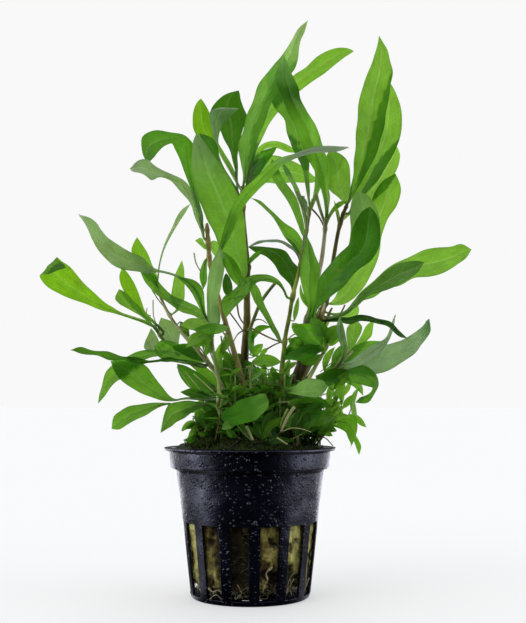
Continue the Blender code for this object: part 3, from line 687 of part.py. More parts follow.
def make_tuft(name):
    tuft = TUFTS[name]
    gx, gy, d, r = tuft["foot"]
    c = at(gx, gy, d)
    base = 0.45 + max(moss_top(c.x + r * math.sin(k), c.y - r * math.cos(k)) for k in range(7))
    foot = Vector((c.x, c.y, base))
    verts = [foot + Vector((0, 0, r * 0.75))]
    for z, k in ((r * 0.45, 0.75), (0.25, 1.0)):
        for j in range(8):
            ang = math.pi * j / 4
            verts.append(foot + Vector((math.sin(ang) * r * k, -math.cos(ang) * r * k, z)))
    verts.append(foot + Vector((0, 0, 0.0)))
    faces = []
    for j in range(8):
        k = (j + 1) % 8
        faces.append([0, 1 + j, 1 + k])
        faces.append([1 + j, 9 + j, 9 + k, 1 + k])
        faces.append([9 + k, 9 + j, 17])
    objs = [to_object(name, verts, faces, MAT_SHADED)]
    for i, leaf in enumerate(tuft["leaves"]):
        start = (foot, r, gx, gy, d)
        rings, tip = leaf_rings(leaf, start, None, rings=5, thick=0.56)
        mid = Vector((0, 0, 0))
        for q in rings[0]:
            mid += q / 4
        drop = foot + Vector((0, 0, r * 0.35)) - mid
        rings = [[q + drop * max(0.0, 1 - k / 2) for q in ring] for k, ring in enumerate(rings)]
        v, f = skin(rings, tip)
        objs.append(to_object("%s_leaf_%d" % (name, i), v, f, MAT_LEAF))
    return join_all(name, objs, MAT_SHADED)


make_pot()
make_fill()
for _name in STEMS:
    make_stem(_name)
for _name in LEAVES:
    make_leaf(_name)
for _name in TUFTS:
    make_tuft(_name)
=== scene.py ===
import math
import random

import bmesh
import bpy
from mathutils import Matrix, Vector, noise
from mathutils.bvhtree import BVHTree


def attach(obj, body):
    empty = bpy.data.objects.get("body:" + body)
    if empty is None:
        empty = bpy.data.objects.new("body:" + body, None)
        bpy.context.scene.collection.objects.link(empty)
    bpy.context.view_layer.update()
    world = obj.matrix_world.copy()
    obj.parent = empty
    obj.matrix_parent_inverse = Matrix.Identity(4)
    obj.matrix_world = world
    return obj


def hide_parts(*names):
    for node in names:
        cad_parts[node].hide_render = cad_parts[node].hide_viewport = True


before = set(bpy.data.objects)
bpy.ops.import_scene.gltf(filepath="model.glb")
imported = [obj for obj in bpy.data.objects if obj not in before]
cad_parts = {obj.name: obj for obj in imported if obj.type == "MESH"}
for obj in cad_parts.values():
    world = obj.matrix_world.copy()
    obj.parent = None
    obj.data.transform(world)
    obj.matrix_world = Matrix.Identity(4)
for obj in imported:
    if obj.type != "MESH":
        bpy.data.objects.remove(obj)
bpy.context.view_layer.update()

MM = 0.001

# ------------------------------------------------------------------ dimensions, in mm, as in the CAD
POT_HEIGHT = 47.7
FLANGE_R = 28.1
COLLAR_R_TOP = 26.5
COLLAR_R_LOW = 25.9
STEP_Z = 41.2
BODY_R_TOP = 24.1
BODY_R_SLOT = 21.95
WALL = 0.9
SLOTS = 14
SLOT_TOP_Z = 24.2
SLOT_LOW_Z = 1.6
SLOT_ANGLE = 16.2
SLOT_FIRST = -60.0
DRAIN_R_IN, DRAIN_R_OUT = 8.0, 14.6
BASE_T = 1.2
MOSS_TOP_Z = 52.6
DEPTH_SPREAD = 1.5

GRID_F, GRID_CX, GRID_CY = 1000.0, 263.0, 311.5
VIEW_DIST, VIEW_X, VIEW_Z = 330.0, 4.1, 61.0
VIEW_TILT = math.radians(5.398)


def at(gx, gy, d):
    """Grid point of the front view, at a depth in mm, positive towards the front."""
    u = (gx - GRID_CX) / GRID_F
    v = (GRID_CY - gy) / GRID_F
    ty = math.cos(VIEW_TILT) - v * math.sin(VIEW_TILT)
    tz = math.sin(VIEW_TILT) + v * math.cos(VIEW_TILT)
    t = (VIEW_DIST - d) / ty
    return Vector((VIEW_X + t * u, -d, VIEW_Z + t * tz))


STEMS = {
    "stem_left_tall": (1.15, 0.6, [(252, 434, 2), (246, 400, 3), (243, 385, 3.5), (239, 370, 4), (234, 352, 4), (229, 335, 4),
                                   (224, 318, 4), (219, 300, 3), (214, 283, 2), (210, 262, 1), (208, 240, 2), (207, 223, 3)]),
    "stem_centre": (1.6, 0.68, [(250, 433, -7), (245, 400, -7), (244, 380, -6.5), (245, 350, -6), (247, 322, -5), (247, 294, -4),
                               (247, 262, -2), (245, 240, -2), (243, 210, -2), (243, 187, -2)]),
    "stem_branch": (0.6, 0.55, [(250, 329, -3.6), (254, 318, -3), (259, 306, -2.5), (265, 296, -2), (271, 288, -1), (277, 281, 0)]),
    "stem_right_inner": (0.85, 0.5, [(277, 434, 6), (277, 412, 7), (279, 395, 8), (281, 375, 8), (283, 360, 8), (285, 340, 8),
                                      (289, 318, 7), (293, 296, 7), (298, 275, 6), (302, 255, 5), (305, 238, 4), (308, 222, 3), (310, 206, 2)]),
    "stem_right_mid": (1.35, 0.58, [(296, 434, -2), (297, 400, -1), (298, 375, 1), (303, 345, 3), (308, 318, 4), (314, 295, 3),
                                  (319, 273, 2), (323, 250, 1), (325, 230, 1), (326, 218, 2)]),
    "stem_right_back": (1.4, 0.55, [(300, 432, -9), (301, 400, -8), (304, 370, -6), (309, 345, -4), (314, 328, -1.5), (321, 313, -2),
                                    (327, 298, -5), (331, 280, -6), (333, 262, -6), (336, 244, -6), (339, 228, -5), (343, 215, -4), (347, 205, -3)]),
    "stem_pale_right": (0.65, 0.55, [(297, 434, 15), (302, 405, 16), (308, 381, 16), (315, 367, 15), (322, 355, 14), (327, 345, 13), (331, 334, 13)]),
    "stem_lower_right": (0.7, 0.6, [(306, 433, 8), (313, 405, 9), (323, 384, 8.5), (336, 368, 8)]),
    "stem_left_main": (0.7, 0.5, [(238, 434, 9), (232, 410, 9), (223, 388, 9), (211, 366, 8), (196, 349, 6.5), (182, 333, 4),
                                  (170, 316, 0.5), (161, 298, -2), (156, 284, -3)]),
    "stem_left_front": (0.7, 0.5, [(229, 434, 14.5), (221, 415, 14.5), (219, 401, 14.2), (219, 385, 13), (216, 368, 12), (213, 350, 11), (211, 334, 9.5), (209, 319, 8)]),
    "stem_left_low": (0.6, 0.5, [(240, 433, -1), (226, 405, -1.5), (206, 378, -2), (186, 360, -2.5), (168, 345, -2.5), (158, 333, -2)]),
}

# Leaves. "on": the stem that it grows from; "d": depth at the base (None: the stem's own), middle and tip;
# "e": how much nearer the first edge is than the midrib at the base, middle and tip; "fold": how far the
# midrib sinks, as a part of the half width; "st": stations from the base to the tip, each the two edges
# (left-hand edge first, going outwards), and the tip as one point.
LEAVES = {
    "leaf_top_tall": dict(on="stem_centre", d=(None, 2, 4), e=(0, 1.5, 0.3), fold=0.18, tone="mid", st=[
        (242, 187, 244, 187), (243, 176, 247, 176), (240.5, 162, 250, 163), (238.5, 145, 256, 146), (243, 130, 261, 131), (246.5, 117, 266, 118),
        (251, 105, 271, 105), (254.5, 95, 277, 95), (259, 84, 285, 85), (266, 74, 290.5, 75), (274, 64, 294.5, 69), (281, 57, 298, 58),
        (287, 48, 299.5, 49), (292, 39, 301, 40), (298, 29, 304.5, 32), (308, 20)]),
    "leaf_top_front": dict(on="stem_right_mid", d=(None, 12, 16), e=(0, -1.5, 0.5), fold=0.2, tone="mid", st=[
        (325, 216, 328, 216), (324, 203, 328, 203), (321, 189, 328, 188), (316, 175, 328, 172), (309, 161, 327, 158), (303.5, 148, 323, 146),
        (298, 134, 319, 135), (293, 122, 314, 122), (287, 110, 307, 110), (281.5, 98, 300, 98), (278, 88, 298.5, 88), (275, 79, 295, 80),
        (277, 70, 291, 72), (280.5, 62.5, 287.5, 63), (284, 57)]),
    "leaf_top_right": dict(on="stem_centre", d=(None, -10, -8), e=(0, 1.5, 0), fold=0.15, tone="bright", st=[
        (243, 196, 246, 197), (246, 178, 249, 179), (249, 158, 254, 160), (252.5, 140, 260, 143), (259, 122, 268, 127), (267, 106, 277, 113),
        (281, 90, 290, 99), (294, 75, 301, 90), (306, 67, 312, 82), (318, 56, 325, 73), (331, 49.5, 336, 64), (342, 47.5, 345, 57), (349, 48.5, 350, 54), (354, 51)]),
    "leaf_top_back": dict(on="stem_right_inner", d=(None, -2, -3), e=(0, 1, 0), fold=0.15, tone="mid", st=[
        (308.5, 204, 310.5, 204), (306, 190, 310, 190), (303, 172, 309, 172), (298, 158, 309, 158), (291, 146, 307.5, 146), (287, 132, 305.5, 132),
        (284, 120, 302.5, 120), (276, 109, 299, 108), (271, 101, 296, 99), (266, 90, 292, 89), (267, 78, 286.5, 78), (273, 67, 283, 68), (280.5, 58.5)]),
    "leaf_long_arching": dict(on="stem_left_tall", d=(None, 17, 24), e=(0, 0.8, 3), fold=0.15, tone="mid", st=[
        (211, 263, 213, 264), (219, 247, 223, 248.5), (222, 236, 229, 238.5), (225.5, 224, 234, 228), (229.5, 212, 239.5, 215), (234.5, 202, 245.5, 204.5),
        (242, 191, 255, 194), (252, 181, 265, 183), (262, 171, 273, 175), (272, 163, 280, 168), (283, 157, 289, 161.5), (295, 153, 298, 157),
        (308, 148.5, 309.5, 154.5), (320, 147, 322, 152.5), (332, 145, 334, 151), (341, 145.5, 342, 150), (349.5, 148.3)]),
    "leaf_broad_left": dict(on="stem_centre", d=(None, 6, 10), e=(0, -1.5, 0), fold=0.16, tone="mid", st=[
        (244, 285, 246.5, 285), (236, 272, 248, 270), (228, 261, 247.5, 258), (221, 250, 246.5, 245), (216.5, 239, 245.5, 231), (211.5, 228, 244.5, 217),
        (205.5, 216, 241, 203), (198, 197, 233, 184), (193.5, 181, 225.5, 172), (191.5, 164, 217.5, 160.5), (192, 150, 209.5, 149.5), (193.5, 140, 203, 140), (196.5, 133)]),
    "leaf_small_upright": dict(on="stem_centre", d=(None, -0.5, -1), e=(0, 0.8, 0), fold=0.2, tone="bright", st=[
        (240, 188, 242, 187), (234, 176, 236.5, 175), (227, 164, 230.5, 163), (220, 152, 223.5, 151), (211, 143, 217, 140), (199, 137, 217, 134),
        (193.5, 129, 214.5, 126), (192.5, 120, 211.5, 119), (193.5, 111, 208.5, 111), (195.5, 105, 205.5, 105), (198, 101, 203, 101), (201, 98.5)]),
    "leaf_curled_dark": dict(on="stem_centre", d=(None, 4, 2), e=(0, -1, -1), fold=-0.2, tone="grey", st=[
        (241, 193, 243, 192), (232, 176, 234, 175), (224, 162, 226, 161), (217, 149, 219.5, 148), (213.5, 138, 218, 138), (212, 128, 220.5, 130), (209.5, 118, 224.5, 124),
        (210, 111, 229.5, 118), (219, 108.5, 233.5, 114), (229, 108, 236, 111), (238.5, 108.5)]),
    "leaf_dark_behind": dict(on="stem_centre", d=(None, -6, -6), e=(0, 1, 0), fold=0.15, tone="dark", st=[
        (240, 199, 242, 198), (236, 180, 238, 180), (234, 166, 238, 166), (230.5, 153, 238, 153), (225.5, 142, 240, 141), (220.5, 131, 243.5, 128),
        (213.5, 121, 247, 117), (210.5, 111, 243.5, 107), (217, 101, 240.5, 99), (226, 94, 239.8, 94), (238.7, 90.3)]),
    "leaf_drooping_left": dict(on="stem_left_tall", d=(None, -1, 8), e=(0, 0.5, 1.5), fold=0.12, tone="dark", st=[
        (204.5, 231, 206.5, 231), (200, 216, 203, 214.5), (195, 201, 199, 200), (190, 187, 195.5, 187), (184, 171, 193.5, 171), (179, 158, 193, 156),
        (175, 149, 192.5, 143), (172.5, 143.5, 184, 134.5), (167, 145, 170, 132), (160, 150, 152, 131.5), (155.5, 155, 142, 137), (152.5, 159, 141.5, 146),
        (151, 161.5, 143, 155), (147.5, 163)]),
    "leaf_grey_left": dict(on="stem_left_tall", d=(None, 8, 18), e=(0, 1.2, 2.5), fold=0.12, tone="grey", st=[
        (206, 241, 207, 239), (200, 229, 204, 226), (195, 217, 201, 213), (190, 203.5, 197, 202), (181, 192, 192, 189.5), (172, 182, 184, 180.5), (164, 178.5, 172, 174.5),
        (157.5, 177.5, 161, 168.5), (152, 180, 153, 164), (145, 176, 147.5, 160.5), (138, 173.5, 139, 160), (133, 171.5, 133, 164), (129.5, 168.5)]),
    "leaf_right_tall": dict(on="stem_right_back", d=(None, 4, 2), e=(0, 1.5, 0), fold=0.18, tone="bright", st=[
        (347, 203, 349.5, 203), (350, 191, 357, 190), (352.5, 178, 364, 177), (353.8, 165, 371, 166), (355, 150, 377.5, 150), (356, 135, 382, 136), (357, 120, 385, 121),
        (358.5, 107, 387, 108), (360, 95, 389, 96), (364, 84, 391, 84), (368, 72, 392.5, 73), (373, 60, 390.5, 61), (376, 50, 387, 49.5), (378, 42, 383, 42), (379, 35.5)]),
    "leaf_right_tall_back": dict(on="stem_right_back", d=(None, -6, -6), e=(0, -1, 0), fold=0.15, tone="bright", st=[
        (346, 214, 347.5, 215), (352, 206, 355, 207.5), (359, 192, 366, 194), (365, 174, 380, 177), (370, 157, 391.5, 157), (373, 140, 399.5, 140), (376, 123, 402, 121),
        (379, 107, 400.5, 106), (383, 93, 395, 91), (387, 78)]),
    "leaf_right_behind": dict(on="stem_right_back", d=(None, -11, -9.5), e=(0, -1, 0), fold=0.15, tone="bright", st=[
        (328, 303, 330, 305), (337, 301, 340, 305), (346, 293, 351, 299), (353, 281, 362, 287), (359, 266, 373, 268), (364, 250, 379.5, 250),
        (366, 234, 382, 234), (368, 219, 388, 219), (371, 204, 397, 205), (376, 190, 401, 190), (385, 179, 399, 181), (395.5, 173.5)]),
    "leaf_right_inner": dict(on="stem_right_back", d=(None, 2, 3.5), e=(0, 1, 0), fold=0.12, tone="mid", st=[
        (333, 281, 336, 284), (340, 270, 350, 276), (346, 256, 365, 262), (349.5, 241, 376, 245), (350.5, 228, 379.5, 230), (350, 216, 379.5, 217), (351, 205, 375.5, 206),
        (353.5, 196.5, 368, 196), (359, 190.5)]),
    "leaf_right_broad": dict(on="stem_right_mid", d=(None, 13, 15), e=(0, -1.8, 0), fold=0.14, tone="dark", st=[
        (309, 318, 311, 320), (311, 303, 318.5, 308), (317, 284, 330, 298), (327, 267, 344, 285.5), (340, 253.5, 359, 269.5), (349, 243.5, 371, 260),
        (351, 234, 379, 248), (354, 225, 380.5, 234), (358.5, 216, 379, 221.5), (363.5, 210, 375, 212), (370, 206.5)]),
    "leaf_far_right_long": dict(on="stem_right_back", d=(None, 0, 5), e=(0, -2, -0.5), fold=0.15, tone="bright", st=[
        (327, 312, 327.5, 314), (336, 313, 337, 316), (344, 311, 346.5, 315), (352, 303, 355, 308), (360, 293.5, 363, 300.5), (370, 283.5, 374, 296.5),
        (382, 272.5, 386, 290), (396, 263.5, 399, 285.5), (410, 256, 413, 278.5), (424, 250.5, 429, 277), (438, 247.5, 444, 272), (452, 246, 458, 264.5),
        (463, 244.5, 467, 257.5), (471.5, 249.5)]),
    "leaf_far_right_front": dict(on="stem_right_back", d=(None, 8, 12), e=(0, -1, 0), fold=0.15, tone="dark", st=[
        (323, 315.5, 324, 317.5), (334, 315.5, 335, 318), (344, 311.5, 346, 315), (353, 302, 356, 307), (363, 291, 367, 297), (374, 281.5, 378, 293), (386, 271.5, 391, 288),
        (398, 263.5, 403, 283), (409, 261.5, 412, 277), (418, 261, 419, 270.5), (424.5, 262)]),
    "leaf_right_arch_thin": dict(on="stem_right_back", d=(None, 12, 16), e=(0, -3.5, -2), fold=0.1, tone="dark", st=[
        (319, 319, 319.5, 321), (332, 318.5, 332, 322), (344, 317, 344.5, 323), (352, 316, 353, 323.5), (362, 315.5, 363, 321.5), (372, 316, 372, 321),
        (381, 319, 380, 324.5), (390, 323, 388, 328), (398, 329, 395, 332.5), (404, 333.5, 401, 336.5), (408.5, 339)]),
    "leaf_lower_right_grey": dict(on="stem_lower_right", d=(None, 9.5, 20), e=(0, -1, -1), fold=0.14, tone="grey", st=[
        (338, 366, 339.5, 369.5), (350, 361, 353, 373), (363, 353.5, 368, 375), (376, 346.5, 381, 373), (390, 344, 396, 366.5), (403, 339, 410, 357),
        (414, 333.5, 420, 347.5), (422, 326, 427, 337.5), (427, 320.5, 430.5, 327.5), (429.5, 318.5)]),
    "leaf_lower_right_curled": dict(on="stem_lower_right", d=(None, 15, 13), e=(0, -1, -1.5), fold=0.1, tone="dark", st=[
        (330, 374, 331, 376.5), (343, 371.5, 344, 379), (352, 368, 352, 382), (362, 365, 361, 384.5), (371, 369.5, 369.5, 386.5), (377, 376, 372.5, 388),
        (379.5, 385, 369.5, 392), (374, 395, 364.5, 395.5), (367, 402.5, 359.5, 398.5), (361, 403, 357.5, 400.5), (355, 402.5)]),
    "leaf_far_left_folded": dict(on="stem_left_low", d=(None, 2, 9), e=(0, 1, 0), fold=0.1, tone="bright", st=[
        (157.5, 332, 158.5, 330), (147, 325, 149, 322), (133, 319.5, 134, 316.5), (118, 314.5, 118.5, 311), (105, 311.5, 109, 305), (90, 305.5, 99, 297.5), (75, 300.5, 87, 286),
        (60, 294, 76, 274), (47.5, 287, 68.5, 265.5), (41.5, 280, 61, 260.5), (40.3, 276, 56.7, 256.7), (43.5, 274.5, 58.5, 260), (51, 272.5, 63, 263), (66, 268)],
        lift=[(10, 0.3), (11, 1.4), (12, 2.4), (13, 2.9)]),
    "leaf_left_grey_green": dict(on="stem_left_front", d=(None, 3, 14), e=(0, 0.6, 2.2), fold=0.16, tone="grey", st=[
        (206.5, 320, 208, 318), (201.5, 303, 203.5, 302), (193, 287.5, 194.5, 285.5), (181, 279.3, 182, 277), (165, 273.5, 166, 271.3), (157, 272.3, 158, 269.5), (150, 274, 152, 267),
        (138, 272, 143.5, 258.5), (122, 269, 132, 252.5), (110, 263, 120, 246), (100, 253, 110, 239.5), (93, 240, 102, 230), (87, 229.5, 94.5, 221.5), (82, 219, 86, 216), (78.5, 213.5)]),
    "leaf_left_bright_tip": dict(on="stem_left_main", d=(None, -6, -7), e=(0, -1, 0), fold=0.15, tone="bright", st=[
        (155, 286, 157, 285), (148, 279, 157, 276), (140, 268, 153, 266), (133.5, 258, 149, 257), (131, 250, 146, 250.5), (133.5, 243.5, 142, 244), (137, 237)]),
    "leaf_left_round": dict(on="stem_left_low", d=(None, -1.5, 1), e=(0, 0.5, 0), fold=0.15, tone="bright", st=[
        (162, 335, 164, 333.5), (152.5, 323, 154.5, 321), (141, 313.5, 145, 311), (132, 303.5, 141.5, 301), (124, 291.5, 137, 289), (120, 282, 132.5, 280), (119.5, 275, 127, 272), (122, 267)]),
    "leaf_left_edge_on": dict(on="stem_left_main", d=(None, 12, 15), e=(0.8, 4, 2.5), fold=0.12, tone="dark", st=[
        (210, 367.5, 211, 365.5), (196, 364.5, 196, 362), (178, 361, 178, 358.3), (160, 361.5, 160, 358.8), (146, 363, 146, 359.8), (130, 361.5, 129, 356.5), (114, 360, 114, 353.7),
        (100, 357.5, 100, 350.8), (88, 354.5, 88, 348.8), (78, 351.7, 79, 348), (70, 350)]),
    "leaf_lower_left_big": dict(on="stem_left_front", d=(None, 11, 10), e=(0, 1, 0), fold=0.16, tone="mid", st=[
        (215, 401.5, 215.5, 399.5), (200, 400.3, 200, 398), (185, 399.7, 185, 397.3), (174, 401, 176, 398.5), (161, 400.5, 169, 395.5), (148, 396, 161, 385), (137, 391, 153.5, 375.5),
        (127, 385, 145.5, 365.5), (119.5, 378.5, 134, 361), (114, 370.5, 123, 359.5), (110.5, 361)]),
    "leaf_lower_left_pointed": dict(on="stem_left_main", d=(None, 5, 8), e=(0, 1.5, 0.5), fold=0.12, tone="mid", st=[
        (207, 367, 207, 365), (190, 364.5, 190, 362.5), (170, 361.5, 170, 359.8), (157, 361.5, 156, 359.5), (145, 363.5, 143, 360), (134.5, 370, 129, 360), (126, 376, 117, 361),
        (119, 380, 110.5, 367), (112, 386.5, 105, 374.5), (106, 394, 101.5, 386), (101.5, 400, 99, 396), (98, 404)]),
    "leaf_lower_left_round": dict(d=(12.4, 16, 18), e=(0, 1, 0), fold=0.12, tone="mid", st=[
        (171, 404.6, 170, 402.9), (165, 405.3, 163, 402.6), (156, 409, 153, 402.8), (146, 415, 141, 404), (136, 420, 130, 405.5), (127, 425, 120, 411.5), (118.5, 429.5, 113, 418), (111.5, 429)]),
    "leaf_low_left_hanging": dict(on="stem_left_front", d=(None, 16, 20), e=(0, 1, 0.5), fold=0.15, tone="mid", st=[
        (212, 406, 212, 403.5), (202, 406.5, 201, 402.5), (193, 411.5, 188, 400), (184.5, 418.5, 177, 402), (177, 421.5, 168.5, 405), (171, 426.5, 164, 414.5), (165, 430.5, 162, 424), (160.5, 433)]),
    "leaf_front_bright": dict(on="stem_left_front", d=(None, 24, 27), e=(0, -2, 0), fold=0.1, tone="dark", st=[
        (222, 411, 222, 413.5), (223.5, 411.5, 223, 420), (232, 406.5, 232, 424.5), (243, 399.5, 243, 423.5), (254, 395.5, 254, 420), (262, 393.5, 262.5, 416), (267, 398.5, 267, 411), (268.8, 405)]),
    "leaf_front_light_right": dict(on="stem_right_inner", d=(None, 19, 22), e=(0, -2, 0), fold=0.1, tone="bright", st=[
        (281, 391, 281, 393), (290, 388, 290, 393.5), (299, 382.5, 300, 395.5), (309, 379, 310, 397), (319, 379, 319, 396), (325, 382, 325, 391.5), (328, 387)]),
    "leaf_centre_dark_arch": dict(on="stem_right_inner", d=(None, -4.5, -7), e=(0, 2.5, 1), fold=-0.15, tone="dark", st=[
        (291.5, 295, 293.5, 295), (290, 284, 297.5, 283), (280.5, 276, 298.5, 268.5), (276, 266, 292.5, 260), (268, 259, 283.5, 251), (261, 254, 268, 246.5), (253, 250.5, 257, 246), (247.5, 247)]),
    "leaf_centre_green_arch": dict(on="stem_right_inner", d=(None, 14, 12), e=(0, 1, 1), fold=0.12, tone="dark", st=[
        (287.3, 298.5, 289, 297.7), (283, 290.5, 284.8, 289.3), (277, 284.6, 280.5, 281.5), (268, 281.8, 271, 275.6), (259.5, 282, 260, 274.5), (254, 285, 250.5, 275.5),
        (249.5, 290.5, 241.5, 281.5), (245, 297, 233, 290), (239.5, 303, 224.5, 296.5), (233.5, 309, 221.8, 303), (229.8, 313.5, 222.5, 310), (226, 318)]),
    "leaf_centre_strip": dict(on="stem_right_inner", d=(None, 5, 5), e=(0, 1, 0), fold=0.15, tone="mid", st=[
        (282.5, 343, 284.5, 342), (273.5, 333, 278.5, 331.5), (267, 322, 272, 320), (260, 311, 267, 309), (254, 300, 262.5, 299), (250, 290, 258.5, 288), (251.5, 279)]),
    "leaf_centre_right": dict(on="stem_right_mid", d=(None, 17, 16), e=(0, 1.5, 0), fold=0.16, tone="mid", st=[
        (307, 322, 309, 322), (307.5, 309, 314, 309), (304, 296, 316.5, 297), (301, 282, 318, 281), (300.5, 268, 320, 266), (302.5, 254, 315, 254), (305, 244, 310.5, 243), (307, 236)]),
    "leaf_centre_long": dict(on="stem_right_mid", d=(None, 1, 5), e=(0, 1, 1), fold=0.14, tone="mid", st=[
        (314, 288, 316, 286.5), (306, 268, 309.5, 266), (298, 254, 305.5, 249.5), (291, 244.5, 302, 239), (285, 237, 295, 230.5), (279, 227.5, 286, 224), (272, 217, 277, 215), (265, 209, 267, 206.5),
        (258, 203, 259, 200.5), (250, 197.5)]),
    "leaf_light_right": dict(on="stem_right_back", d=(None, -5, -6), e=(0, 1, 0), fold=0.1, tone="bright", st=[
        (345.5, 205, 347.5, 203.5), (338, 197.5, 350, 196), (330.5, 190.5, 350.5, 186), (327, 181, 350.5, 174), (325.5, 169, 348.5, 164), (325.5, 160, 344, 157), (327.5, 153.5, 337, 152), (330, 149.5)]),
}

